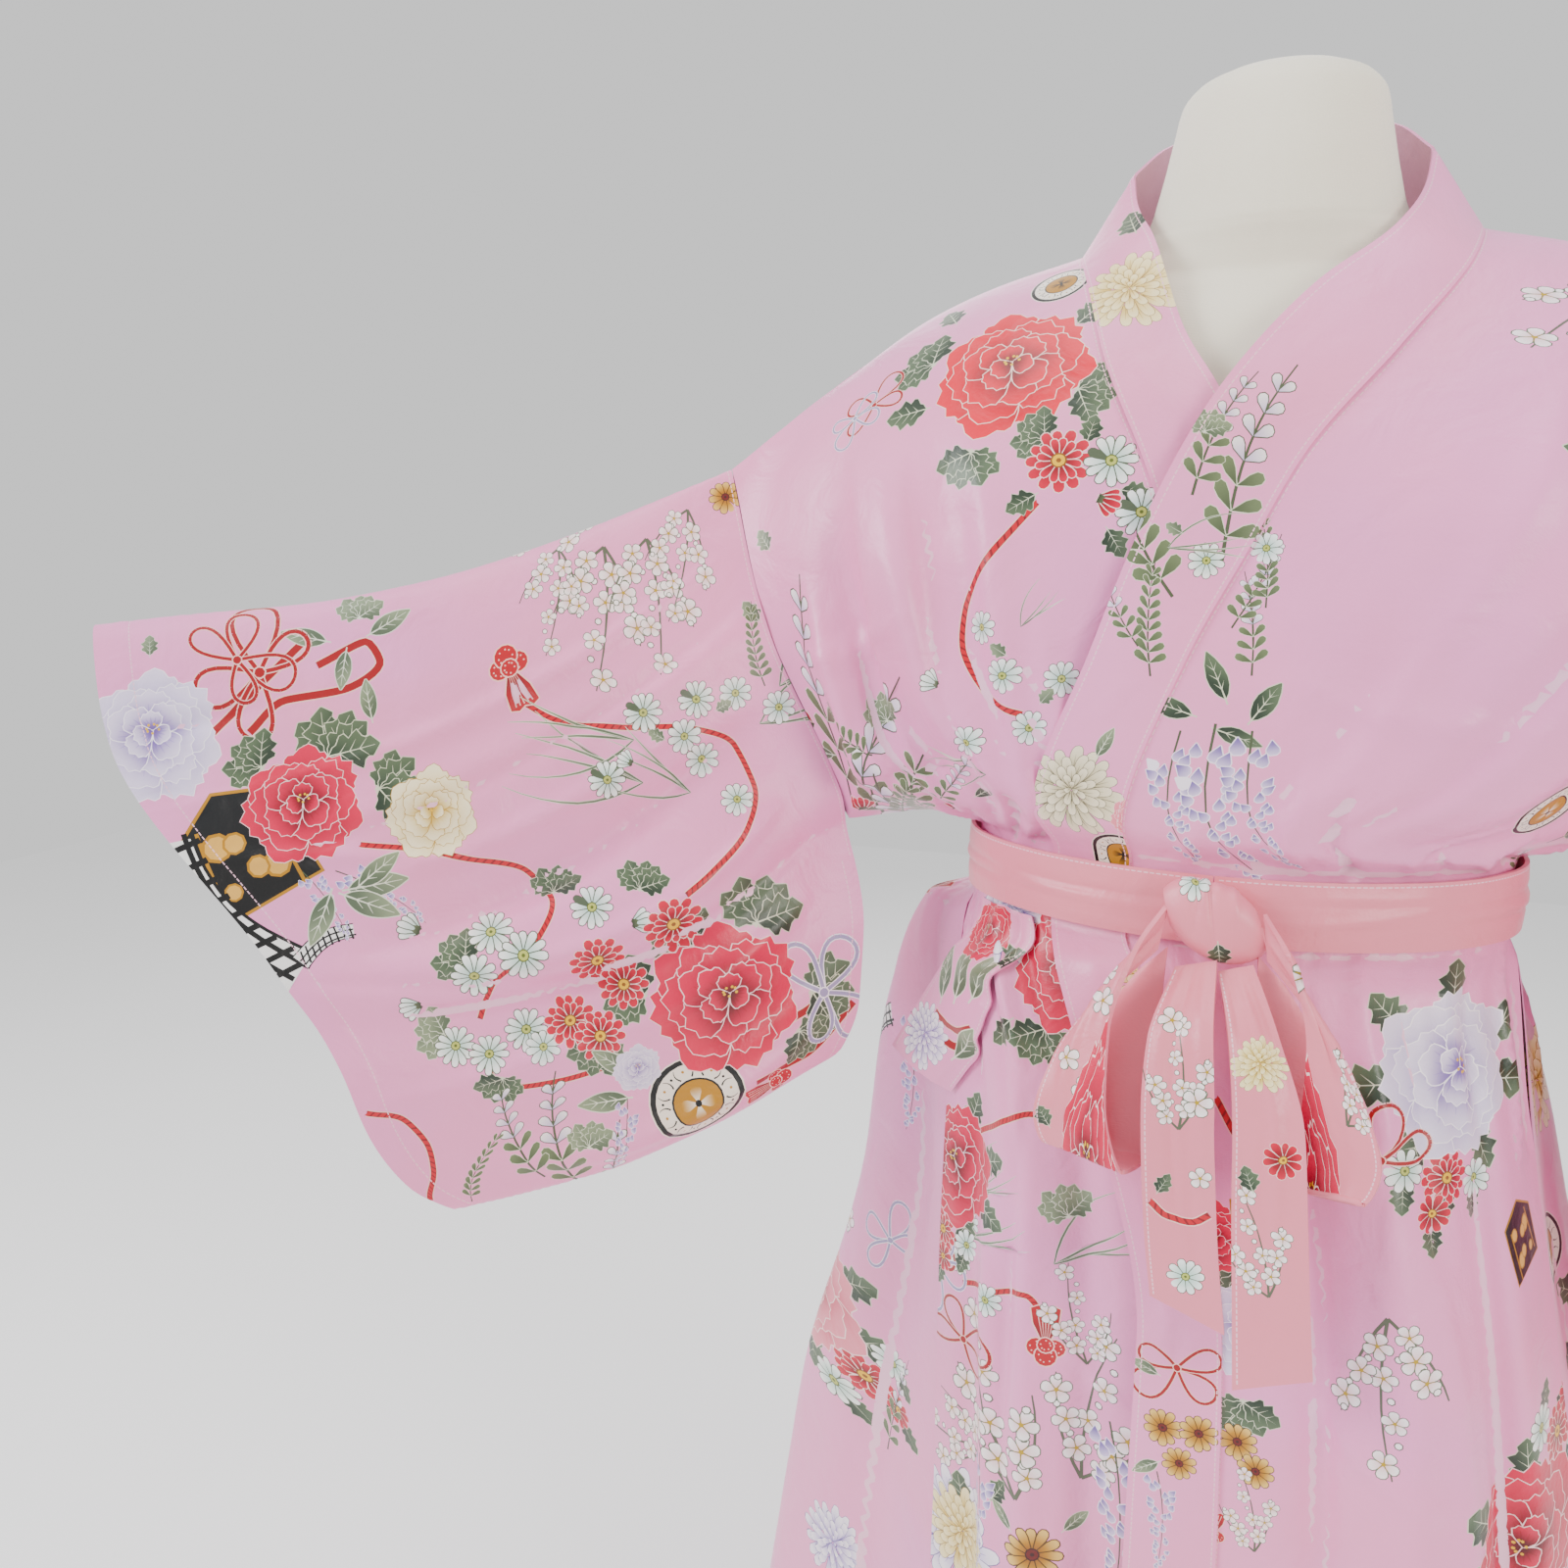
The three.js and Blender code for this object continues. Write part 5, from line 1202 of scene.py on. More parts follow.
# ---------- The left front ----------
# The same cut for the other side. It laps over the right front from the wearer's left.
FRONT_LEFT = [
    (0, (111, 0, 1428), (195, -1, 1402), (240, -1, 1338)),
    (20, (109, -20, 1422), (194, -21, 1396), (240, -21, 1330)),
    (60, (101, -56, 1402), (191, -62, 1368), (236, -56, 1298)),
    (130, (66, -95, 1354), (174, -116, 1300), (228, -80, 1236)),
    (200, (22, -122, 1298), (142, -142, 1240), (208, -88, 1176)),
    (255, (-5, -136, 1243), (102, -148, 1188), (188, -88, 1126)),
    (320, (-34, -146, 1180), (66, -148, 1130), (152, -92, 1092), (190, -12, 1070)),
    (385, (-62, -133, 1086), (30, -140, 1080), (118, -106, 1073), (174, -10, 1067)),
    (480, (-46, -138, 996), (36, -140, 996), (118, -108, 996), (167, -20, 996)),
    (560, (-16, -152, 916), (62, -156, 916), (134, -126, 916), (176, -48, 916)),
    (700, (12, -164, 780), (86, -170, 780), (160, -138, 780), (200, -58, 780)),
    (900, (18, -170, 580), (98, -180, 580), (184, -146, 580), (238, -64, 580)),
    (1330, (22, -176, 150), (112, -190, 150), (212, -152, 150), (288, -64, 150)),
]
WAIST_OF["front_left"] = [(-21, UNDER_BELT), (13, UNDER_BELT), (48, UNDER_BELT), (91, UNDER_BELT)]
FOLDS_OF["front_left"] = [
    (0.3, -0.1, 0.07, -6, 150, 400, 80), (0.55, -0.2, 0.08, 10, 70, 400, 90), (0.78, -0.3, 0.07, -9, 100, 380, 90),
    (0.22, 0.03, 0.07, -7, 465, 1500, 160), (0.45, 0, 0.08, 12, 460, 1500, 160), (0.7, 0, 0.07, -13, 465, 1500, 180),
]
left_front = hang(grid_of(lambda u, v: front_grid("left", u, v), 130, 560, EDGE, 1 - EDGE), -1)
left_pleats = pleats(left_front, (0.12, 0.24, 0.36, 0.46, 0.56, 0.66, 0.76, 0.86, 0.94), 130, 200)
left_front = creased(left_front, left_pleats + [
    (60, 120, 90, 400, -12, 10, 3.5), (120, 90, 120, 390, -14, 10, -4.5), (160, 110, 160, 360, -10, 9, 4),
    (190, 90, 190, 300, -8, 8, -3), (40, 300, 150, 260, 10, 8, 2), (80, 560, 80, 900, 10, 11, -3.5),
    (150, 600, 150, 1000, -12, 12, 4), (210, 560, 215, 1200, 10, 13, -4), (110, 900, 105, 1310, 12, 12, 3.5),
    (40, 820, 50, 1300, -8, 10, 3), (60, 700, 160, 760, 12, 8, 1.6),
], 1.5)
PRINTS["left_front"] = [
    ("slim", "dark", (16, 334, 26, 96), (26, 322, 28, 49), (41, 325, 27, -8), (30, 335, 25, -85)),
    ("wisteria", "", (15, 341, 104, -161), (28, 333, 130, -152), (44, 329, 108, -145)),
    ("spray", "", (31, 307, 59, 41), (13, 291, 54, 12)), ("fern", "", (21, 274, 48, 40)),
    ("daisy", "white", (8, 248, 8.5, 31)), ("peony", "red", (5, 627, 24, 4)),
    ("leaves", "dark", (19, 643, 23, -157)), ("peony", "lilac", (25, 677, 30, 4)),
    ("leaves", "dark", (19, 721, 25, -176)), ("cart", "", (39, 619, 28, 12)), ("ladder", "", (38, 606, 34, -15)),
    ("tassel", "", (2, 795, 25, 175)), ("daisy", "ochre", (15, 746, 11, 4), (28, 761, 10.2, 4)),
    ("branch", "", (30, 815, 52, 13)), ("bouquet", "red", (150, 120, 44, 20)), ("mum", "lilac", (236, 210, 34, 0)),
    ("wisteria", "", (240, 60, 90, 184)), ("branch", "", (90, 40, 80, 170)), ("spray", "", (250, 330, 84, -20)),
    ("roundel", "gold", (200, 300, 22, 0)), ("bouquet", "lilac", (200, 520, 46, -60)),
    ("cart", "", (262, 640, 42, 20)), ("branch", "", (120, 640, 92, 190)), ("bouquet", "red", (230, 800, 46, 100)),
    ("ribbons", "red", (130, 560, 34, 40)), ("mum", "cream", (250, 960, 34, 0)),
    ("wisteria", "", (180, 900, 96, 180)), ("bouquet", "coral", (230, 1130, 48, 10)),
    ("spray", "", (140, 1090, 84, 20)), ("ladder", "", (262, 1040, 60, 30)), ("tassel", "", (200, 1010, 42, 170)),
    ("branch", "", (180, 1300, 90, 0)), ("mum", "grey", (262, 1290, 34, 0)), ("spray", "", (270, 420, 70, 10)),
]
LINES["left_front"] = [
    ("cord", [(28, 541), (36, 561), (58, 577)]),
    ("ribbon", [(26, 608), (3, 646), (15, 675)]),
]
left_front = hemmed(left_front, HEM)
shapes = printed(left_front, "left_front") + side_and_foot_stitches(left_front)
left_front_satin = sheet_object("left_front_satin", left_front, shapes, 6, body_satin, slack=0.2)
sewn(left_front_satin, "front_left", "satin", (0.295, 1.326), "hung", ["form_torso", "right_front_satin"])


# ---------- The back ----------
# Two straight widths joined down the middle, hanging from the shoulders in deep soft folds below the belt.
# Rows of the back's halves: drop, beside the neck, the blade, the outer back, and the side seam.
NECK_START, NECK_END = 0.375, 0.625
BACK_AT = (0, 0.125, 0.25, NECK_START, 0.5, NECK_END, 0.75, 0.875, 1)
BACK_RIGHT = [
    (0, (-111, 0, 1428), (-195, -1, 1402), (-268, -28, 1350)),
    (20, (-110, 20, 1423), (-195, 19, 1397), (-268, -12, 1342)),
    (60, (-104, 66, 1396), (-190, 56, 1370), (-262, 8, 1308)),
    (130, (-95, 104, 1332), (-178, 88, 1306), (-246, 20, 1242)),
    (200, (-88, 115, 1262), (-166, 98, 1240), (-230, 26, 1178)),
    (255, (-82, 118, 1206), (-154, 98, 1184), (-214, 24, 1124)),
    (320, (-72, 117, 1148), (-134, 98, 1132), (-182, 40, 1096), (-208, -24, 1064)),
    (385, (-56, 110, 1086), (-108, 93, 1080), (-152, 52, 1072), (-174, -10, 1067)),
    (480, (-64, 114, 996), (-134, 98, 996), (-204, 26, 996), (-168, -26, 996)),
    (560, (-80, 140, 916), (-164, 118, 916), (-232, 26, 916), (-168, -58, 916)),
    (700, (-100, 166, 780), (-194, 136, 780), (-250, 34, 780), (-168, -76, 780)),
    (900, (-122, 190, 580), (-238, 154, 580), (-304, 50, 580), (-165, -84, 580)),
    (1330, (-154, 222, 150), (-298, 180, 150), (-362, 64, 150), (-165, -88, 150)),
]
BACK_LEFT = [
    (0, (111, 0, 1428), (195, -1, 1402), (240, -1, 1338)),
    (20, (110, 20, 1423), (195, 19, 1397), (240, 19, 1330)),
    (60, (104, 66, 1396), (190, 56, 1368), (236, 52, 1298)),
    (130, (95, 104, 1332), (180, 88, 1302), (227, 76, 1236)),
    (200, (88, 115, 1262), (166, 98, 1240), (208, 80, 1176)),
    (255, (82, 118, 1206), (152, 98, 1186), (190, 74, 1126)),
    (320, (72, 117, 1148), (134, 98, 1132), (174, 54, 1096), (190, -12, 1070)),
    (385, (56, 110, 1086), (108, 93, 1080), (152, 52, 1072), (174, -10, 1067)),
    (480, (60, 112, 996), (114, 98, 996), (160, 50, 996), (167, -20, 996)),
    (560, (80, 140, 916), (150, 116, 916), (196, 46, 916), (176, -48, 916)),
    (700, (100, 166, 780), (186, 132, 780), (232, 44, 780), (200, -58, 780)),
    (900, (122, 190, 580), (232, 148, 580), (294, 46, 580), (238, -64, 580)),
    (1330, (154, 222, 150), (292, 172, 150), (360, 54, 150), (288, -64, 150)),
]
BACK_MIDDLE = [
    (0, 74, 1456), (0, 83, 1440), (0, 95, 1402), (0, 110, 1333), (0, 119, 1264), (0, 122, 1209), (0, 121, 1153),
    (0, 114, 1087), (0, 117, 996), (0, 146, 916), (0, 174, 780), (0, 200, 580), (0, 232, 150),
]
NECK = [(-111, 0, 1428), (-72, 48, 1445), (0, 74, 1456), (72, 48, 1445), (111, 0, 1428)]
BACK_ANGLES = (91, 119, 140, 160, 180, 200, 220, 241, 269)
WAIST_OF["back"] = [(-angle, UNDER_BELT) for angle in BACK_ANGLES]
FOLDS_OF["back"] = [
    (0.055, 0, 0.028, -20, 490, 1500, 200), (0.2, 0, 0.035, -16, 460, 1500, 200),
    (0.3, 0.02, 0.035, 14, 460, 1500, 200), (0.4, 0, 0.035, -15, 460, 1500, 200),
    (0.5, 0, 0.035, 12, 460, 1500, 200), (0.6, 0, 0.035, -15, 460, 1500, 200),
    (0.7, -0.02, 0.035, 14, 460, 1500, 200), (0.81, 0, 0.035, -14, 460, 1500, 200),
    (0.945, 0, 0.03, -8, 490, 1500, 200), (0.12, 0.4, 0.03, -8, 80, 380, 90), (0.3, 0.2, 0.03, 8, 160, 400, 90),
    (0.42, 0.1, 0.03, -6, 240, 400, 70), (0.58, -0.1, 0.03, -6, 240, 400, 70),
    (0.7, -0.2, 0.03, 8, 160, 400, 90), (0.88, -0.4, 0.03, -8, 80, 380, 90),
]


def back_grid(u, v):
    rows = []
    for right, left, middle in zip(BACK_RIGHT, BACK_LEFT, BACK_MIDDLE):
        halves = []
        for name, (drop, *stations) in (("right", right), ("left", left)):
            side = [] if len(stations) == 4 else [armhole(name, drop, -1)[0]]
            halves.append([*stations, *side])
        rows.append((right[0], np.array([*halves[0][::-1], middle, *halves[1]], float)))
    ends = np.concatenate([u, [0.0, 1.0]])
    drops, across = row_curves("back", BACK_AT, rows, ends)
    # The shoulder line and the back of the neck are the fronts' own first rows, and one curve between them.
    top = across[0]
    right, left = ends < NECK_START, ends > NECK_END
    for side, chosen, shares in (
        ("right", right, 1 - ends / NECK_START),
        ("left", left, (ends - NECK_END) / NECK_START),
    ):
        first = front_rows(FRONT_RIGHT if side == "right" else FRONT_LEFT, side)[0][1]
        top[chosen] = curve(FRONT_AT, first, shares[chosen])
    middle = ~(right | left)
    top[middle] = curve((NECK_START, 0.4375, 0.5, 0.5625, NECK_END), NECK, ends[middle])
    lofted = curve(drops, across, v)
    p = lofted[:, :-2].copy()
    sewn = (v <= ARMHOLE_DROP)[:, None, None]
    pulls = (1 - smooth(u, 0, 0.12), smooth(u, 0.88, 1))
    for name, pull, edge in (("right", pulls[0], lofted[:, -2]), ("left", pulls[1], lofted[:, -1])):
        p += sewn * (armhole(name, np.minimum(v, ARMHOLE_DROP), -1) - edge)[:, None] * pull[None, :, None]
    p[..., 1] += smooth(v, ARMHOLE_DROP, 320)[:, None] * SIDE_LAP * np.maximum(*pulls)[None, :]
    p[..., 1] += (1 - smooth(v, 0, 20))[:, None] * SHOULDER_LAP
    turn = np.pi * (u - 0.5)
    outward = np.stack([np.sin(turn), np.cos(turn) + 0.05, 0 * u], -1)
    outward /= np.linalg.norm(outward, axis=1)[:, None]
    return p + fold_height(FOLDS_OF["back"], u[None, :], v[:, None])[..., None] * outward


back = hang(grid_of(back_grid, 330, 560, EDGE * NECK_START, 1 - EDGE * NECK_START))
span = back["size"][0]
back = creased(back, pleats(back, np.linspace(0.06, 0.94, 21), 120, 210) + [
    (
        span * share, 620 + 90 * uneven(i), span * (share + 0.012 * uneven(i, 2)), 1290,
        12 * uneven(i, 3), 13, 4 * (-1) ** i,
    )
    for i, share in enumerate(np.linspace(0.07, 0.93, 17))
] + [
    (span * 0.2, 60, span * 0.3, 330, 18, 12, 3.5), (span * 0.8, 60, span * 0.7, 330, -18, 12, 3.5),
    (span * 0.12, 150, span * 0.24, 380, 12, 10, -3), (span * 0.88, 150, span * 0.76, 380, -12, 10, -3),
    (span * 0.42, 120, span * 0.44, 360, 8, 12, 2.5), (span * 0.58, 120, span * 0.56, 360, -8, 12, 2.5),
], 1.4)
PRINTS["back"] = [
    ("bouquet", "red", (150, 200, 46, 30)), ("bouquet", "lilac", (640, 150, 44, -60)),
    ("bouquet", "red", (410, 330, 48, 120)), ("bouquet", "coral", (760, 400, 42, 10)),
    ("bouquet", "lilac", (210, 560, 46, -30)), ("bouquet", "red", (540, 600, 50, 60), (800, 720, 44, 150)),
    ("bouquet", "rose", (110, 820, 46, -100)), ("bouquet", "cream", (380, 880, 50, 20)),
    ("bouquet", "lilac", (660, 960, 48, -20)), ("bouquet", "red", (200, 1130, 50, 60)),
    ("bouquet", "coral", (480, 1190, 46, -140)), ("bouquet", "red", (800, 1180, 48, 40)),
    ("mum", "cream", (300, 120, 34, 0)), ("mum", "lilac", (530, 430, 36, 0)), ("mum", "grey", (130, 400, 32, 0)),
    ("mum", "cream", (850, 560, 34, 0)), ("mum", "lilac", (330, 700, 34, 0)), ("mum", "cream", (690, 770, 36, 0)),
    ("mum", "lilac", (60, 1010, 34, 0)), ("mum", "rose", (560, 1040, 34, 0)), ("mum", "grey", (860, 960, 34, 0)),
    ("mum", "cream", (330, 1290, 36, 0)), ("mum", "lilac", (660, 1280, 36, 0)), ("wisteria", "", (250, 300, 96, 190),
    (470, 90, 90, 170), (860, 250, 96, 185), (60, 560, 90, 178), (450, 720, 100, 188), (740, 560, 90, 172),
    (270, 980, 96, 182), (590, 800, 90, 190), (880, 1080, 90, 176), (400, 1080, 90, 186)),
    ("branch", "", (70, 130, 92, 160), (560, 260, 100, 200), (330, 480, 96, 150), (640, 470, 90, 190),
    (130, 700, 96, 170), (800, 860, 96, 200), (480, 1010, 90, 160), (120, 1260, 96, 20), (580, 1300, 96, 10),
    (870, 1300, 90, -20)), ("spray", "", (350, 220, 84, 20), (700, 280, 84, -30), (40, 300, 80, 30),
    (880, 90, 84, -10), (260, 440, 80, 0), (460, 520, 84, 40), (700, 640, 80, -40), (40, 900, 84, 20),
    (520, 930, 80, -20), (300, 1210, 84, 10), (720, 1100, 84, 30), (240, 820, 80, -30)),
    ("tassel", "", (480, 200, 44, 160), (90, 470, 42, 200), (600, 700, 44, 170), (300, 1090, 44, 190),
    (740, 1010, 42, 150)), ("ribbons", "red", (540, 60, 34, 30), (820, 480, 36, 120)),
    ("ribbons", "lilac", (60, 740, 34, -30)), ("ribbons", "red", (420, 790, 36, 160), (160, 960, 34, 60)),
    ("ribbons", "lilac", (610, 1160, 36, -60)), ("ribbons", "red", (410, 1310, 34, 0)),
    ("cart", "", (60, 220, 40, 20), (620, 380, 40, -30), (280, 640, 42, 60), (480, 1110, 40, 0),
    (880, 820, 40, 120)), ("roundel", "gold", (380, 60, 22, 0)), ("roundel", "dark", (720, 60, 24, 0)),
    ("roundel", "gold", (170, 340, 24, 0)), ("roundel", "dark", (870, 660, 22, 0)),
    ("roundel", "gold", (30, 1130, 24, 0), (560, 1240, 22, 0)), ("ladder", "", (230, 60, 62, 30),
    (560, 340, 62, -60), (120, 620, 62, 40), (760, 920, 62, 100), (230, 1230, 62, 20)),
]
back = hemmed(back, HEM)
width, length = back["size"]
shapes = printed(back, "back") + stitches(back, 0, length - HEM, width, length - HEM)
shapes += stitches(back, width / 2, 4, width / 2, length - HEM - 2)
back_satin = sheet_object("back_satin", back, shapes, 8, body_satin, slack=0.32, least=1.6)
sewn(back_satin, "back", "satin", (0.906, 1.325), "hung", ["form_torso"])


# ---------- The sleeves ----------
# Each sleeve is one length of satin folded along its top and sewn to the body at the shoulder. Its body side hangs
# open below the armhole, and its cuff and that free edge have turned, stitched hems.


def sleeve_grid(name, around, along):
    """Points of a sleeve: around runs 0 to 1 from the bottom seam up the front, over the top and down the back."""
    sleeve = SLEEVES[name]
    dense = np.linspace(0, 1, 1201)
    share = 0.5 + 0.5 * np.cos(2 * np.pi * dense)
    side = np.where(dense < 0.5, 1.0, -1.0)
    length = 0
    for s in (0.15, 0.5, 0.85):
        ring = sleeve_point(sleeve, 0 * share + s, share, side)
        steps = np.linalg.norm(np.diff(ring, axis=0), axis=1)
        length = length + np.append(0, np.cumsum(steps))
    at = np.interp(around, length / length[-1], dense)
    h, side = 0.5 + 0.5 * np.cos(2 * np.pi * at), np.where(at < 0.5, 1.0, -1.0)
    start = 0.0012 + 0.0078 * smooth(h, ARMHOLE_SHARE - 0.05, ARMHOLE_SHARE + 0.03)
    s = mix(start[None, :], 1, along[:, None])
    shape = s.shape
    p = sleeve_point(sleeve, s.ravel(), np.broadcast_to(h, shape).ravel(), np.broadcast_to(side, shape).ravel())
    return p.reshape(*shape, 3) + np.array([sleeve["aside"], 0, 0])


PRINTS["right_sleeve"] = [
    ("branch", "", (452, 83, 101, 105), (461, 110, 74, 107), (446, 58, 94, 97), (452, 29, 74, 112)),
    ("tassel", "", (359, 150, 51, -97)), ("grass", "", (279, 110, 98, -132), (312, 101, 91, -149), (312, 7, 99, -14),
    (260, 87, 79, -119), (290, 28, 80, 9)), ("daisy", "white", (329, 88, 13, -65), (325, 56, 12.4, -65),
    (319, 33, 11.2, -65), (302, 73, 11.8, -61), (280, 70, 11.9, -60), (290, 128, 12.4, -57), (243, 64, 11.2, -60),
    (297, 13, 11.3, -64)), ("leaf", "grey", (312, 48, 11.8, -2), (305, 85, 11.8, -121)),
    ("bud", "white", (295, 109, 11.7, -119)), ("daisy", "ochre", (445, 7, 11.4, -74)),
    ("slim", "grey", (431, 257, 30, -159), (431, 230, 30, -23), (421, 246, 26, 107)),
    ("leaves", "grey", (445, 235, 21, -87)), ("leaf", "grey", (434, 360, 14, -86)),
    ("cart", "", (253, 363, 76, -75)), ("ladder", "", (191, 381, 110, -92), (201, 373, 38, 5)),
    ("ribbons", "red", (414, 298, 50, -140), (425, 310, 39, -24)), ("leaves", "dark", (348, 271, 38, -49),
    (320, 253, 33, 20)), ("slim", "grey", (371, 239, 26, -86)), ("leaves", "dark", (346, 312, 28, -126)),
    ("peony", "lilac", (372, 367, 42, -77)), ("peony", "red", (314, 302, 38, -59)),
    ("peony", "cream", (296, 234, 29, -54)), ("wisteria", "", (265, 312, 70, 70), (267, 331, 57, 95)),
    ("slim", "grey", (250, 313, 38, 29), (246, 318, 38, 60), (248, 326, 35, 148), (252, 305, 32, -2)),
    ("leaves", "dark", (186, 273, 25, -122), (222, 197, 23, -60)), ("leaves", "grey", (135, 312, 23, -153)),
    ("leaves", "dark", (99, 283, 22, 114), (207, 146, 23, -54), (108, 207, 27, 111)),
    ("bud", "white", (211, 290, 17, -126)), ("daisy", "white", (203, 248, 15, -64), (183, 235, 16, -64),
    (175, 272, 15, -62)), ("bud", "white", (159, 315, 16, -171)), ("daisy", "white", (204, 180, 14, -64)),
    ("bud", "white", (186, 161, 15, 12)), ("daisy", "white", (125, 308, 13, -67), (116, 287, 13, -71),
    (128, 256, 14, -70), (114, 248, 11.6, -75)), ("leaves", "dark", (155, 79, 39, -63), (89, 40, 37, -5),
    (134, 169, 32, -153), (157, 129, 32, -111), (66, 52, 27, 40)), ("daisy", "red", (175, 134, 21, -71),
    (166, 191, 19, -67), (144, 180, 17, -72), (128, 224, 17, -72), (113, 206, 17, -78)),
    ("ribbons", "lilac", (86, 31, 47, -16)), ("roundel", "gold", (46, 138, 33, -99)),
    ("tassel", "", (30, 89, 40, -37)), ("peony", "red", (110, 108, 50, -86)), ("slim", "grey", (83, 189, 29, -139)),
    ("peony", "lilac", (83, 182, 16, -81)), ("slim", "grey", (64, 194, 33, -176)), ("spray", "", (-1, 261, 86, -76),
    (20, 283, 72, -84), (-35, 226, 80, -73)), ("leaves", "grey", (39, 233, 20, -72)),
    ("wisteria", "", (64, 194, 59, 111)), ("fern", "", (10, 366, 39, -28)), ("spray", "", (-55, 87, 40, -132)),
    ("leaf", "grey", (362, 4, 16, -114)), ("fern", "", (316, 15, 53, -71)), ("bouquet", "red", (560, 90, 44, 20)),
    ("bouquet", "lilac", (700, 230, 46, 120)), ("bouquet", "cream", (560, 320, 42, -60)),
    ("bouquet", "red", (830, 120, 44, 60)), ("bouquet", "coral", (840, 330, 42, -20)),
    ("mum", "cream", (640, 160, 30, 0)), ("mum", "grey", (760, 320, 32, 0)), ("mum", "lilac", (500, 210, 30, 0)),
    ("wisteria", "", (640, 60, 86, 200), (780, 60, 86, 170), (640, 330, 86, 190)), ("branch", "", (490, 60, 84, 180),
    (860, 220, 84, 150), (700, 360, 80, 10)), ("spray", "", (580, 210, 76, 20), (730, 130, 76, -40),
    (500, 350, 70, 10)), ("ribbons", "red", (620, 260, 32, 40)), ("ribbons", "lilac", (770, 200, 32, -60)),
    ("tassel", "", (880, 60, 42, 190)), ("cart", "", (510, 130, 36, 0)), ("roundel", "dark", (690, 100, 22, 0)),
    ("ladder", "", (780, 270, 56, 30)),
]
LINES["right_sleeve"] = [
    ("cord", [(359, 150), (343, 137), (324, 104), (306, 67), (281, 48), (248, 50), (219, 68), (201, 100), (193, 120)]),
    ("cord", [(282, 286), (272, 256), (258, 232), (240, 206), (219, 201), (195, 218), (166, 263), (141, 284)]),
    ("cord", [(119, 286), (104, 290), (91, 278), (89, 237), (91, 194), (91, 173)]),
    ("cord", [(88, 386), (81, 363), (61, 354), (42, 362), (19, 392)]),
    ("ribbon", [(373, 332), (402, 302), (440, 263)]),
    ("ribbon", [(371, 311), (392, 285), (394, 252), (410, 227), (426, 234), (414, 264)]),
    ("ribbon", [(78, 144), (77, 97), (79, 48), (95, 11)]),
    ("ribbon", [(44, 88), (43, 42), (69, 5)]),
]
PRINTS["left_sleeve"] = [
    ("bouquet", "red", (90, 80, 44, 30)), ("bouquet", "lilac", (240, 200, 46, -50)),
    ("bouquet", "cream", (110, 300, 42, 100)), ("bouquet", "red", (420, 90, 44, 170), (560, 220, 46, 10)),
    ("bouquet", "coral", (430, 300, 42, -110)), ("bouquet", "lilac", (640, 70, 42, 60)),
    ("mum", "cream", (180, 120, 30, 0)), ("mum", "lilac", (330, 90, 32, 0)), ("mum", "grey", (500, 130, 30, 0)),
    ("mum", "cream", (620, 310, 30, 0)), ("wisteria", "", (40, 180, 84, 180), (300, 300, 84, 190),
    (500, 40, 84, 175)), ("branch", "", (180, 30, 80, 170), (340, 190, 84, 200), (650, 200, 80, 160)),
    ("spray", "", (60, 250, 76, 10), (180, 250, 76, 30), (380, 230, 76, -20), (560, 330, 70, 0)),
    ("ribbons", "red", (260, 60, 32, 20), (490, 230, 32, 120)), ("tassel", "", (160, 190, 42, 160)),
    ("cart", "", (350, 320, 36, 30)), ("roundel", "gold", (560, 90, 22, 0)), ("ladder", "", (20, 320, 56, 20)),
]
ARMHOLE_ENDS = (0.185, 0.815)  # shares of the way round, from the bottom seam, where the sewn part starts and ends
CUFF_HEM, FREE_HEM, SEWN_EDGE = 20, 9, 2.4
for name, outward, partner, flat, spacing, slack, least in (
    ("right", 1, "right_front_satin", (0.908, 0.391), 5, 0.14, 0.3),
    ("left", -1, "left_front_satin", (0.683, 0.351), 6, 0.2, 0.8),
):
    sleeve = hang(sleeve_grid(name, np.linspace(EDGE, 1 - EDGE, 380), np.linspace(0, 1, 190)), outward)
    around, along = sleeve["size"]
    creases = []
    for i in range(9):  # long ones from the armhole towards the cuff, on the front and on the back
        lift = (3.4 + 1.4 * uneven(i, 3)) * (-1) ** i
        start, finish = 0.46 - 0.05 * i + 0.01 * uneven(i), 0.33 - 0.035 * i
        for side in (1, -1):
            x0, x1 = (x * around if side > 0 else (1 - x) * around for x in (start, finish))
            shift = 14 * uneven(i, 4 + side)
            creases.append((
                x0 + shift, 8 + 18 * (1 + uneven(i, 6 + side)), x1 - shift, along * (0.86 + 0.12 * uneven(i, 8 + side)),
                side * (16 + 9 * uneven(i, 2)), 9 + 3 * uneven(i, 5), lift,
            ))
    for i in range(8):  # short ones from the cuff
        x = (0.1 + 0.1 * i) * around
        reach = along * (0.55 + 0.2 * uneven(i, 12))
        creases.append((x, along * 0.98, x + 40 * uneven(i, 11), reach, 8 * uneven(i, 13), 7, 2.2 * (-1) ** i))
    sleeve = hemmed(creased(sleeve, creases, 1.5), CUFF_HEM)
    first, last = (around * end for end in ARMHOLE_ENDS)
    shapes = printed(sleeve, f"{name}_sleeve") + stitches(sleeve, 0, along - CUFF_HEM, around, along - CUFF_HEM)
    shapes += stitches(sleeve, 0, FREE_HEM, first, FREE_HEM) + stitches(sleeve, last, FREE_HEM, around, FREE_HEM)
    shapes += stitches(sleeve, first, SEWN_EDGE, last, SEWN_EDGE)
    sleeve_satin = sheet_object(f"{name}_sleeve_satin", sleeve, shapes, spacing, body_satin, slack=slack, least=least)
    sewn(sleeve_satin, f"sleeve_{name}", "satin", flat, "hung", [partner, "back_satin"])


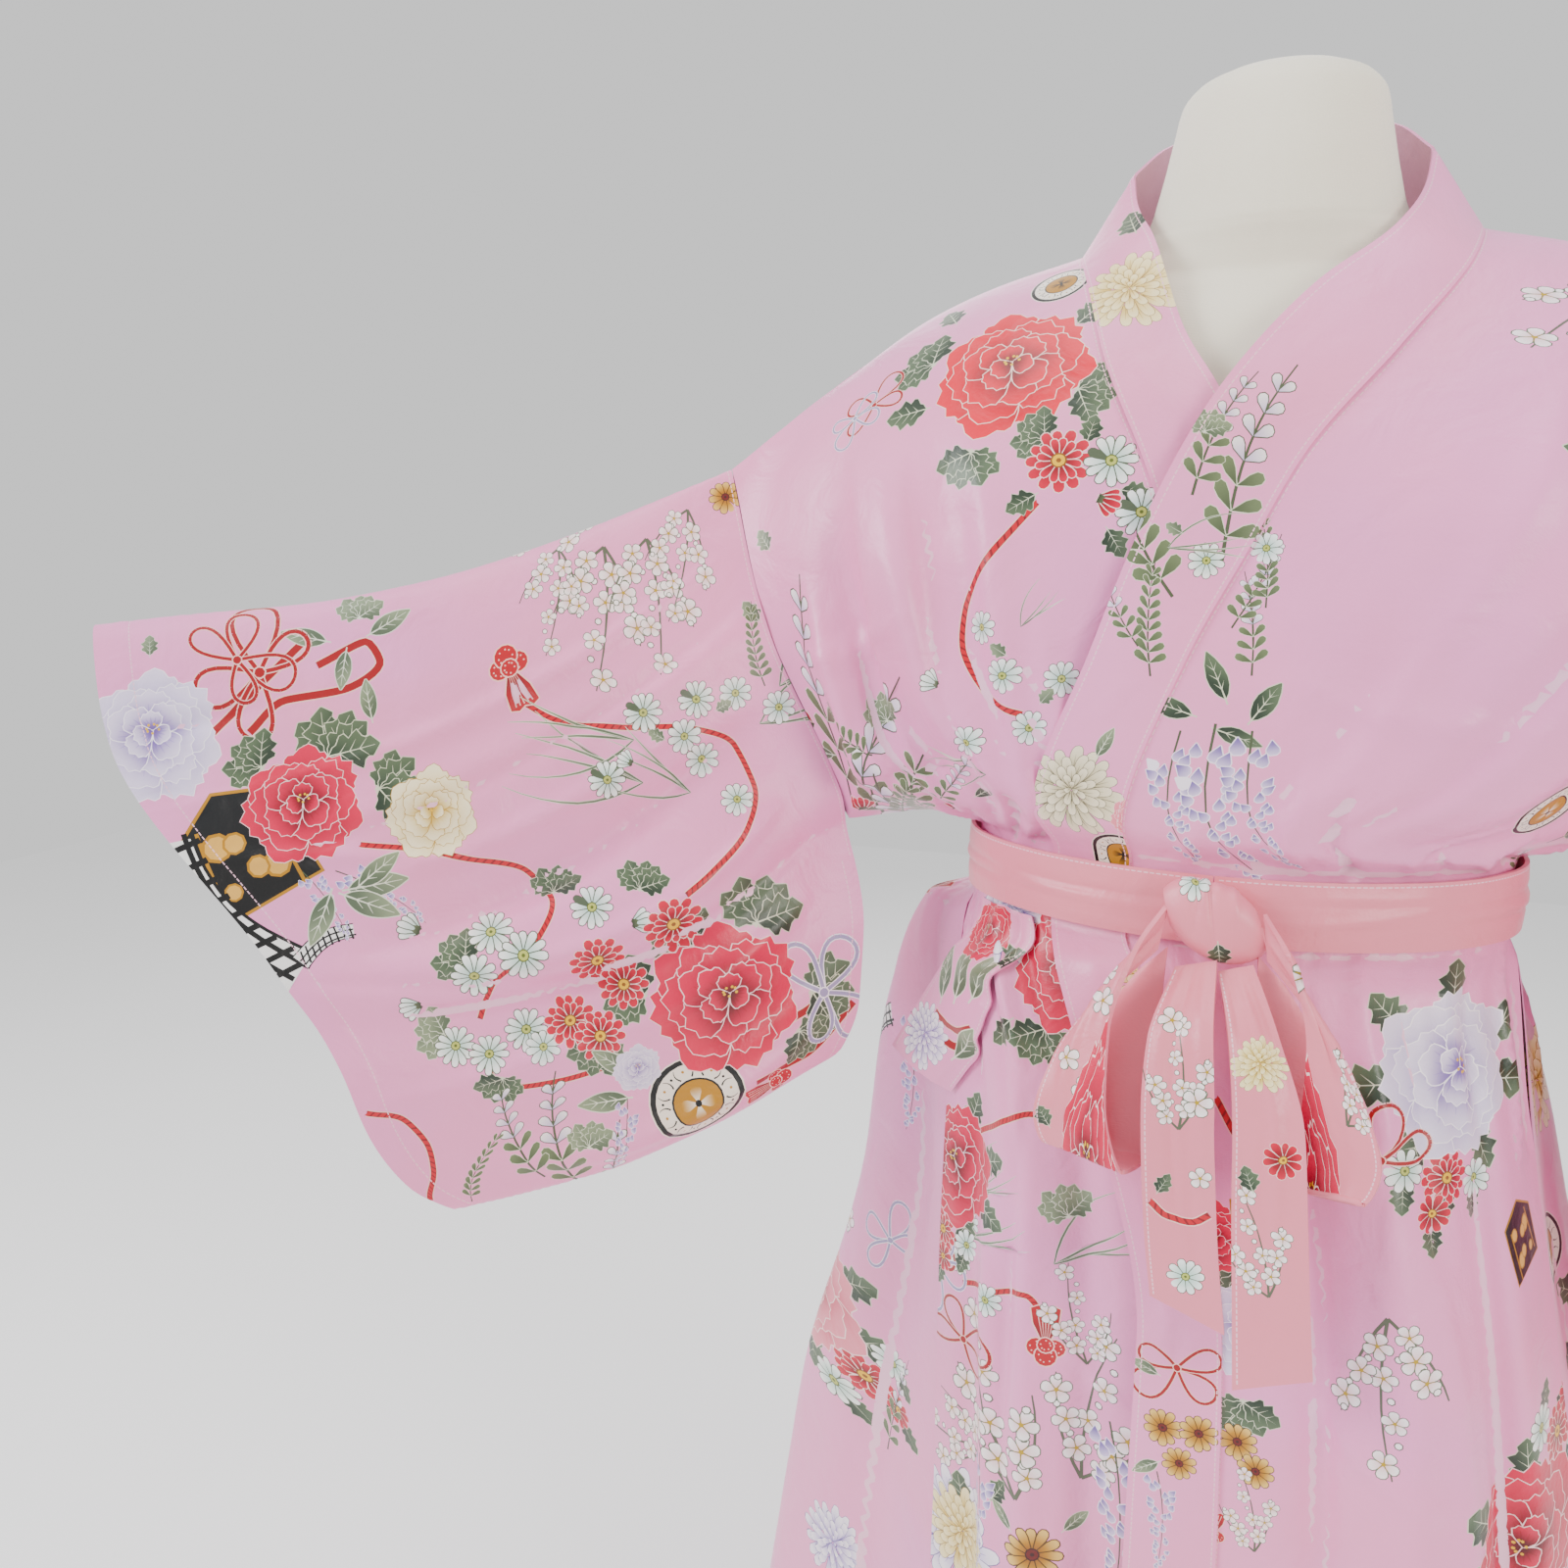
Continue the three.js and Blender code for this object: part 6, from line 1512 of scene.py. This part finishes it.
# ---------- The neckband ----------
# One long strip, folded double and sewn along both fronts and round the back of the neck, with a stitched edge.
# It runs in one length from the right front's foot round the neck to the left front's foot.
BAND_DROPS = (0, 20, 60, 130, 200, 255, 320, 385, 480, 560, 700, 900, 1330)
BAND_RIM = {
    "right": [
        (-84, 9, 1477), (-80, -12, 1456), (-66, -50, 1427), (-45, -84, 1370), (-20, -108, 1328), (6, -118, 1266),
        (36, -122, 1182), (64, -114, 1088), (75, -113, 996), (92, -118, 916), (107, -127, 780), (113, -130, 580),
        (121, -135, 150),
    ],
    "left": [
        (84, 9, 1477), (80, -12, 1454), (65, -50, 1426), (22, -84, 1389), (-24, -117, 1330), (-55, -138, 1265),
        (-82, -145, 1186), (-112, -124, 1091), (-94, -128, 996), (-66, -147, 916), (-33, -159, 780), (-33, -165, 580),
        (-30, -170, 150),
    ],
}
RIM_AT_WAIST = {"right": (29, SECOND_LAYER), "left": (-39, UNDER_BELT)}
NECK_RIM = [
    (-84, 9, 1477), (-66, 44, 1501), (-36, 67, 1513), (0, 75, 1516), (36, 67, 1513), (66, 44, 1501), (84, 9, 1477),
]
BAND_LAP = 3.2  # how far the band laps the seam


def band_across(seam, rim, bulge, gap, columns, outward):
    """The band's rows from its seam, which it laps by a little, over its soft middle, to the free edge."""
    reach = np.linalg.norm(rim - seam, axis=1)[:, None]
    start = mix(seam, rim, (gap[:, None] - BAND_LAP) / reach) + 1.3 * np.array(outward)
    middle = mix(start, rim, 0.5) + bulge
    t = np.linspace(0, 1, columns)
    return np.stack([curve((0, 0.5, 1), (a, b, c), t) for a, b, c in zip(start, middle, rim)])


def band_side(side, drops, columns):
    levels = sorted([*BAND_DROPS, *WAIST_LEVELS])
    rises = rise_at(np.array(WAIST_LEVELS, float))
    at_waist = waist_point(RIM_AT_WAIST[side][0] + 0 * rises, RIM_AT_WAIST[side][1], rises)
    rows = dict(zip([*BAND_DROPS, *WAIST_LEVELS], [*np.array(BAND_RIM[side], float), *at_waist]))
    rim = curve(levels, [rows[level] for level in levels], drops)
    seam = front_grid(side, np.array([EDGE]), drops)[:, 0]
    gap = 0.3 + mix(1.4, 0.6, smooth(drops, 60, 250))
    return band_across(seam, rim, (0, -1.5, 0), gap, columns, (0, -0.97, 0.24))


def band_hang(columns=24, rows=1300):
    drops, t = np.linspace(0, ROBE_DROP, 500), np.linspace(0, 1, 90)[1:-1]
    seam = back_grid(mix(NECK_START, NECK_END, t), np.array([0.0]))[0]
    rim = curve(np.arange(7) / 6, NECK_RIM, t)
    neck = band_across(seam, rim, (0, 0, 0), np.full(len(t), 1.9), columns, (0, 0.9, 0.44))
    points = np.concatenate([band_side("right", drops, columns)[::-1], neck, band_side("left", drops, columns)])
    length = np.append(0, np.cumsum(np.linalg.norm(np.diff(points.mean(1), axis=0), axis=1)))
    even = np.linspace(0, length[-1], rows)
    i = np.clip(np.searchsorted(length, even) - 1, 0, len(length) - 2)
    share = ((even - length[i]) / (length[i + 1] - length[i]))[:, None, None]
    return hang(mix(points[i], points[i + 1], share))


band = band_hang()
half = band["size"][1] / 2
creases = []
for side in (-1, 1):
    for i in range(20):
        start = half + side * (300 + 46 * i)
        end = half + side * (360 + 46 * i + 30 * uneven(i, 4))
        creases.append((26 + 8 * uneven(i), start, 34 + 8 * uneven(i, 2), end, 3 * uneven(i, 3), 5, 0.9 * (-1) ** i))
band = creased(band, creases)
# The two tints are painted cool and warm light reflected by the satin.
band_satin = satin("band_satin", (1.0, 0.97, 0.99), (1.0, 0.92, 0.87), 0.28, 0.06, 0.003)
PRINTS["neckband"] = [
    ("leaf", "dark", (45, 1330, 26, -159)), ("leaf", "black", (113, 1324, 25, 140)),
    ("mum", "cream", (28, 1285, 29, -154)), ("spray", "", (9, 1951, 107, -1)), ("fern", "", (23, 1979, 92, -37)),
    ("spray", "", (38, 1925, 76, -1)), ("leaves", "grey", (48, 1893, 16, -18)),
    ("daisy", "white", (16, 1954, 9.7, -24)), ("grass", "", (37, 1955, 49, 58)), ("fern", "", (15, 2026, 60, 0)),
    ("spray", "", (29, 2010, 49, -30)), ("leaf", "grey", (34, 1945, 9.7, -83)), ("mum", "grey", (32, 2104, 29, -5)),
    ("roundel", "dark", (4, 2149, 19, 6)), ("slim", "grey", (24, 2078, 19, 20)),
    ("peony", "rose", (-9, 2113, 15, -8)), ("ribbons", "red", (28, 2469, 30, 176)),
    ("daisy", "ochre", (35, 2508, 11.1, -4), (13, 2506, 11, -3), (24, 2528, 9.9, -3)),
    ("slim", "grey", (37, 2531, 18, -129)), ("mum", "cream", (-10, 2230, 23, -7)),
    ("wisteria", "", (37, 2537, 65, 177)), ("slim", "grey", (40, 2476, 17, -74)),
    ("leaf", "black", (28, 1484, 20, 40)), ("daisy", "white", (30, 1634, 10, 0)), ("mum", "lilac", (26, 984, 26, 0)),
    ("branch", "", (26, 844, 60, 0)), ("ribbons", "red", (26, 664, 24, 30)), ("daisy", "ochre", (26, 544, 12, 0)),
    ("peony", "rose", (28, 424, 24, 0)), ("spray", "", (26, 254, 60, 0)), ("peony", "lilac", (26, 2794, 24, 0)),
    ("leaf", "dark", (24, 2874, 22, 30)), ("branch", "", (28, 2984, 60, 0)),
]
width, length = band["size"]
shapes = printed(band, "neckband")
shapes += stitches(band, 2.6, 4, 2.6, length - 4) + stitches(band, width - 4, 4, width - 4, length - 4)
neckband_satin = sheet_object("neckband_satin", band, shapes, 6, band_satin, 0.0016)
body_sheets = ["right_front_satin", "left_front_satin", "back_satin"]
sewn(neckband_satin, "neckband", "satin_band", (0.0547, 3.088), "hung", body_sheets)


# ---------- The belt and its bow ----------
# A flat tube of salmon satin, turned right side out and tied in front: the belt, a drawn knot, two drooping loops
# and two ends. The knot is a short barrel, and each loop and end is a strip about a path of middle points and
# half its width there.
BELT_INK = ink("f2b2be")
# The two tints are painted cool and warm light reflected by the satin.
belt_satin = satin("belt_satin", (1.0, 1.0, 1.0), (1.0, 0.96, 0.94), 0.28, 0.06, 0.004)
BELT_WIDTH = 40


def belt_hang(columns=520, rows=22):
    around, share = np.linspace(-2.6, 357.2, columns), np.linspace(0.5, -0.5, rows)
    depth = -1.7 - 1.2 * np.cos(np.pi * share)  # it swells outwards in its middle
    return hang(np.array([waist_point(around, np.full(columns, d), s * BELT_WIDTH) for d, s in zip(depth, share)]), -1)


belt = belt_hang()
belt = creased(belt, [
    (2, 13, 1000, 15, 2, 1.8, -2.0), (2, 27, 1000, 26, -2, 1.7, -1.8), (120, 20, 330, 17, 3, 3, 1.3),
    (560, 19, 800, 22, -3, 3, 1.2), (40, 8, 130, 6, 2, 2, 1), (830, 33, 930, 34, 2, 2, 1),
    (760, 10, 915, 24, 5, 3, 1.6),
    (700, 30, 900, 18, -4, 2.5, -1.6), (10, 26, 120, 12, 4, 3, 1.4),
])
PRINTS["belt"] = [
    ("branch", "", (20, 140, 30, -90)), ("peony", "red", (20, 230, 18, 0)), ("mum", "cream", (18, 330, 18, 0)),
    ("leaves", "dark", (22, 390, 18, 90)), ("peony", "lilac", (20, 470, 19, 0)), ("branch", "", (22, 560, 34, 90)),
    ("mum", "lilac", (20, 650, 18, 0)), ("peony", "red", (22, 740, 18, 0)), ("daisy", "white", (18, 800, 10, 0)),
]
LINES["belt"] = [
    ("cord", [(30, 905), (26, 880), (32, 862), (24, 850)]),
]
KNOT_AT, KNOT_LENGTH, KNOT_Y, KNOT_Z = np.array([-6, -147.3, 1038]), 50, 13, 22
LOOP = [
    ((-33.5, -153, 1032), (2, 0, 13)), ((-56, -170, 1004), (9, -4, 16)), ((-72, -181, 966), (15, -6, 12)),
    ((-76, -188, 930), (20, -6, 5)), ((-67, -188, 902), (22, -8, -2)), ((-55, -176, 904), (22, 0, -3)),
    ((-52, -165, 940), (20, 0, 2)), ((-46, -156, 985), (15, 0, 6)), ((-37, -150, 1012), (7, 0, 8)),
]
TAIL_RIGHT = [
    ((-14, -156, 1013), (11, 0, 3)), ((-19, -188, 978), (17, -3, 2)), ((-18, -196, 940), (19, 0, 0)),
    ((-15, -199, 900), (19, 2, 1)), ((-11, -199, 860), (19.5, 0, -3)), ((-6, -199, 824), (20, -1, -7)),
]
TAIL_LEFT = [
    ((7, -156, 1013), (9, 0, 3)), ((19, -183, 980), (14, 3, -2)), ((28, -194, 940), (18, 1, -1)),
    ((32, -198, 890), (19, -2, 1)), ((36, -199, 840), (19.5, 0, 3)), ((40, -199, 792), (20, 1, 7)),
]


def strip_hang(rows, length, creases, outward=1, columns=20):
    middle, half = (np.array(part, float) for part in zip(*rows))
    keys, t = np.arange(len(rows)) / (len(rows) - 1), np.linspace(0, 1, length)
    share = np.linspace(-1, 1, columns)[None, :, None]
    cloth = hang(curve(keys, middle, t)[:, None] + curve(keys, half, t)[:, None] * share, outward)
    return creased(cloth, creases)


loop_right = strip_hang(LOOP, 170, [
    (19, 0, 16, 95, 3, 3.5, 2.6), (10, 0, 6, 60, 2, 2.5, -1.6), (28, 0, 33, 70, -2, 2.8, -1.8),
    (12, 70, 26, 130, 3, 4, 1.6),
], -1)
other_loop = [((2 * KNOT_AT[0] - at[0], at[1], at[2]), (-wide[0], -wide[1], wide[2])) for at, wide in LOOP]
loop_left = strip_hang(other_loop, 170, [
    (18, 0, 20, 80, -3, 3.5, -2.4), (9, 0, 5, 70, 2, 2.5, 1.6), (29, 0, 32, 55, -2, 2.8, 1.6),
    (26, 80, 12, 140, 3, 4, -1.5),
])
tail_right = strip_hang(TAIL_RIGHT, 150, [
    (18, 0, 17, 150, 3, 2.6, -2.2), (10, 0, 7, 80, 1, 2.4, 1.4), (27, 0, 31, 100, -2, 2.6, 1.4),
    (24, 70, 28, 185, 2, 3, -1),
], -1)
tail_left = strip_hang(TAIL_LEFT, 150, [
    (17, 0, 19, 170, -3, 2.6, 2), (9, 0, 8, 70, 1, 2.4, -1.3), (27, 0, 30, 90, -2, 2.6, -1.4),
    (12, 90, 9, 210, 2, 3, 1),
], -1)


def knot_hang():
    a, t = np.meshgrid(np.linspace(0.02, 2 * np.pi - 0.02, 150), np.linspace(-0.98, 0.98, 60))
    size = np.sqrt(1.02 - 0.84 * t * t) * (1 + 0.05 * np.cos(3 * a + 2 * t))
    x = KNOT_LENGTH / 2 * t + 3 * np.sin(a)
    turn = a - np.pi  # so that the strip's own ends meet behind the knot
    y, z = -KNOT_Y * size * np.cos(turn), KNOT_Z * size * np.sin(turn) - 4 * t
    return hang(np.stack([x, y, z], -1) + KNOT_AT, -1)


knot = knot_hang()
knot = creased(knot, [
    (40, 14, 92, 20, 3, 2.5, -2), (36, 28, 100, 32, -3, 2.4, -2.2), (50, 40, 96, 38, 2, 2.4, 1.6),
    (44, 22, 90, 26, 1, 2, 1.2),
])
PRINTS["knot"] = [
    ("leaf", "dark", (40, 30, 16, 90)), ("daisy", "white", (66, 18, 8, 0)),
]
PRINTS["loop_right"] = [
    ("plum", "", (12, 30, 7, 0), (27, 52, 8, 30), (14, 76, 7, 60), (28, 96, 8, 10)),
    ("peony", "red", (22, 142, 17, 0)), ("leaf", "dark", (8, 118, 14, 30)), ("mum", "cream", (20, 210, 16, 0)),
]
PRINTS["loop_left"] = [
    ("branch", "", (18, 96, 56, 10)), ("peony", "red", (18, 150, 16, 0)), ("plum", "", (26, 30, 8, 0)),
    ("mum", "lilac", (20, 220, 15, 0)),
]
PRINTS["tail_right"] = [
    ("branch", "", (20, 96, 62, 6)), ("plum", "", (12, 30, 7, 20), (29, 74, 8, 60)),
    ("leaf", "dark", (8, 128, 12, -30)), ("daisy", "white", (20, 178, 10, 0)), ("plum", "", (30, 118, 6, 0)),
]
LINES["tail_right"] = [
    ("cord", [(4, 134), (12, 142), (24, 144), (34, 138)]),
]
PRINTS["tail_left"] = [
    ("mum", "cream", (18, 60, 15, 0)), ("daisy", "red", (24, 112, 10, 0)), ("branch", "", (18, 190, 60, 10)),
    ("leaf", "dark", (10, 130, 14, 20)),
]
for cloth, name, part, node_name, flat, held in (
    (belt, "belt", "belt_satin", "belt", (0.920, 0.0408), "hung"),
    (knot, "knot", "knot_satin", "bow_knot", (0.0953, 0.0563), "folded"),
    (loop_right, "loop_right", "right_loop_satin", "bow_loop_right", (0.039, 0.283), "folded"),
    (loop_left, "loop_left", "left_loop_satin", "bow_loop_left", (0.039, 0.2835), "folded"),
    (tail_right, "tail_right", "right_end_satin", "tie_end_right", (0.0375, 0.204), "hung"),
    (tail_left, "tail_left", "left_end_satin", "tie_end_left", (0.0353, 0.236), "hung"),
):
    width, length = cloth["size"]
    shapes = printed(cloth, name)
    if name != "knot":
        shapes += stitches(cloth, 2.2, 2.2, *((width - 2, 2.2) if name == "belt" else (2.2, length - 2)))
    piece = sheet_object(part, cloth, shapes, 2.5, belt_satin, 0.002 if name == "knot" else 0.0026, BELT_INK, BELT_INK)
    rests = {"belt": body_sheets, "knot": ["belt_satin"]}.get(name, ["knot_satin"])
    sewn(piece, node_name, "satin_belt", flat, held, rests)


# ---------- The pocket's welt ----------
# A short doubled strip set on a slant at the hip. Its outer edge stands away from the body as the pocket's mouth.
WELT_LIFT = 3.4
WELT_TOP, WELT_OUTER, WELT_FOOT = (0.45, 458), (0.74, 458), (0.95, 594)  # share of the front's width, and drop
WELT_MOUTH = np.array([-212, -44, 898])


def on_front(share, drop):
    width, length = right_front["size"]
    place = np.array([[share * width, drop / ROBE_DROP * length]])
    lying, normal = (found_on(right_front, right_front[part], place)[0] for part in ("points", "normals"))
    return lying + WELT_LIFT * normal


def welt_hang(columns=26, rows=90):
    grid = np.empty((rows, columns, 3))
    for i, place in enumerate(np.linspace(0, 1, rows)):
        drop = mix(WELT_TOP[1], WELT_FOOT[1], place)
        inner = on_front(mix(WELT_TOP[0], WELT_FOOT[0], place), drop)
        outer = mix(on_front(*WELT_OUTER), WELT_MOUTH, place)
        for j, t in enumerate(np.linspace(0, 1, columns)):
            lying = on_front(mix(WELT_TOP[0], WELT_OUTER[0], t), drop)
            standing = mix(inner, outer, t) + (0, -8 * np.sin(np.pi * t), 0)
            grid[i, j] = mix(lying, standing, smooth(place, 0, 0.35))
    return hang(grid)


welt = creased(welt_hang(), [(12, 5, 30, 120, 4, 4, -1.4), (30, 10, 44, 150, -3, 4, 1.2), (8, 60, 20, 160, 2, 3, 1)])
PRINTS["welt"] = [
    ("slim", "grey", (20, 70, 40, 20), (34, 76, 44, 0), (46, 84, 40, -24)), ("peony", "red", (40, 22, 22, 0)),
    ("leaf", "dark", (14, 40, 24, 60)), ("mum", "lilac", (44, 120, 24, 0)), ("slim", "grey", (14, 120, 34, 30)),
]
LINES["welt"] = [
    ("ribbon", [(8, 90), (24, 100), (44, 96)]),
    ("ribbon", [(6, 104), (22, 114), (40, 112)]),
]
width, length = welt["size"]
shapes = printed(welt, "welt")
shapes += stitches(welt, 3, 3, 3, length - 3) + stitches(welt, width - 3, 3, width - 3, length - 3)
welt_satin = sheet_object("pocket_welt_satin", welt, shapes, 3, band_satin, 0.0014)
sewn(welt_satin, "pocket_welt", "satin_band", (0.0639, 0.1461), "laid", ["right_front_satin"])


# ---------- The floor, the light and the camera ----------
# A plain pale floor under soft light: a large lamp on each side in front, one behind, and an even pale room. The camera
# stands a little above the belt, turned 22 degrees towards the wearer's right and tipped 10 degrees down. Its lens is
# shifted, so that the frame runs from the held-out sleeve past the middle of the chest.
bpy.ops.mesh.primitive_plane_add(size=9, location=(0, 0, 0))
floor = bpy.context.active_object
floor.name = "floor"
paper, tree, surface = new_material("floor_paper")
place = node(tree, "ShaderNodeTexCoord").outputs["Object"]
grain = node(tree, "ShaderNodeTexNoise", {"Vector": place, "Scale": 3.0, "Detail": 6.0})
pale = node(
    tree, "ShaderNodeMix", {0: grain.outputs["Fac"], 6: (0.95, 0.95, 0.95, 1), 7: (0.98, 0.98, 0.98, 1)},
    data_type="RGBA",
)
tree.links.new(pale.outputs[2], surface.inputs["Base Color"])
surface.inputs["Roughness"].default_value = 0.85
floor.data.materials.append(paper)
LIT = Vector((-0.1, 0, 1.0))  # what the lamps are turned to
for name, place, size, power, colour in (
    ("lamp_right", (-2.6, -1.5, 2.3), 1.3, 84, (0.95, 0.96, 1.0)),
    ("lamp_left", (2.2, -1.9, 1.8), 1.2, 52, (1.0, 0.93, 0.88)),
    ("lamp_behind", (-0.6, 2.6, 2.6), 2.0, 40, (1.0, 0.98, 0.97)),
    ("lamp_top", (-0.2, -0.3, 3.3), 1.6, 26, (1.0, 1.0, 1.0)),
):
    lamp = bpy.data.lights.new(name, "AREA")
    lamp.size, lamp.energy, lamp.color = size, power, colour
    holder = bpy.data.objects.new(name, lamp)
    holder.location = place
    holder.rotation_euler = (LIT - Vector(place)).to_track_quat("-Z", "Y").to_euler()
    bpy.context.collection.objects.link(holder)
world = bpy.data.worlds.new("pale_room")
bpy.context.scene.world = world
world.use_nodes = True
sky = world.node_tree.nodes["Background"].inputs
sky["Color"].default_value = (1.0, 1.0, 1.0, 1)
sky["Strength"].default_value = 0.9

camera_data = bpy.data.cameras.new("camera")
camera_data.lens, camera_data.sensor_width = 31.5, 36
camera_data.shift_x = 0.0619
camera = bpy.data.objects.new("camera", camera_data)
camera.location = (-0.0014, -0.9545, 1.248)
camera.rotation_euler = Euler(np.radians((80, 0, 22)))
bpy.context.collection.objects.link(camera)
bpy.context.scene.camera = camera
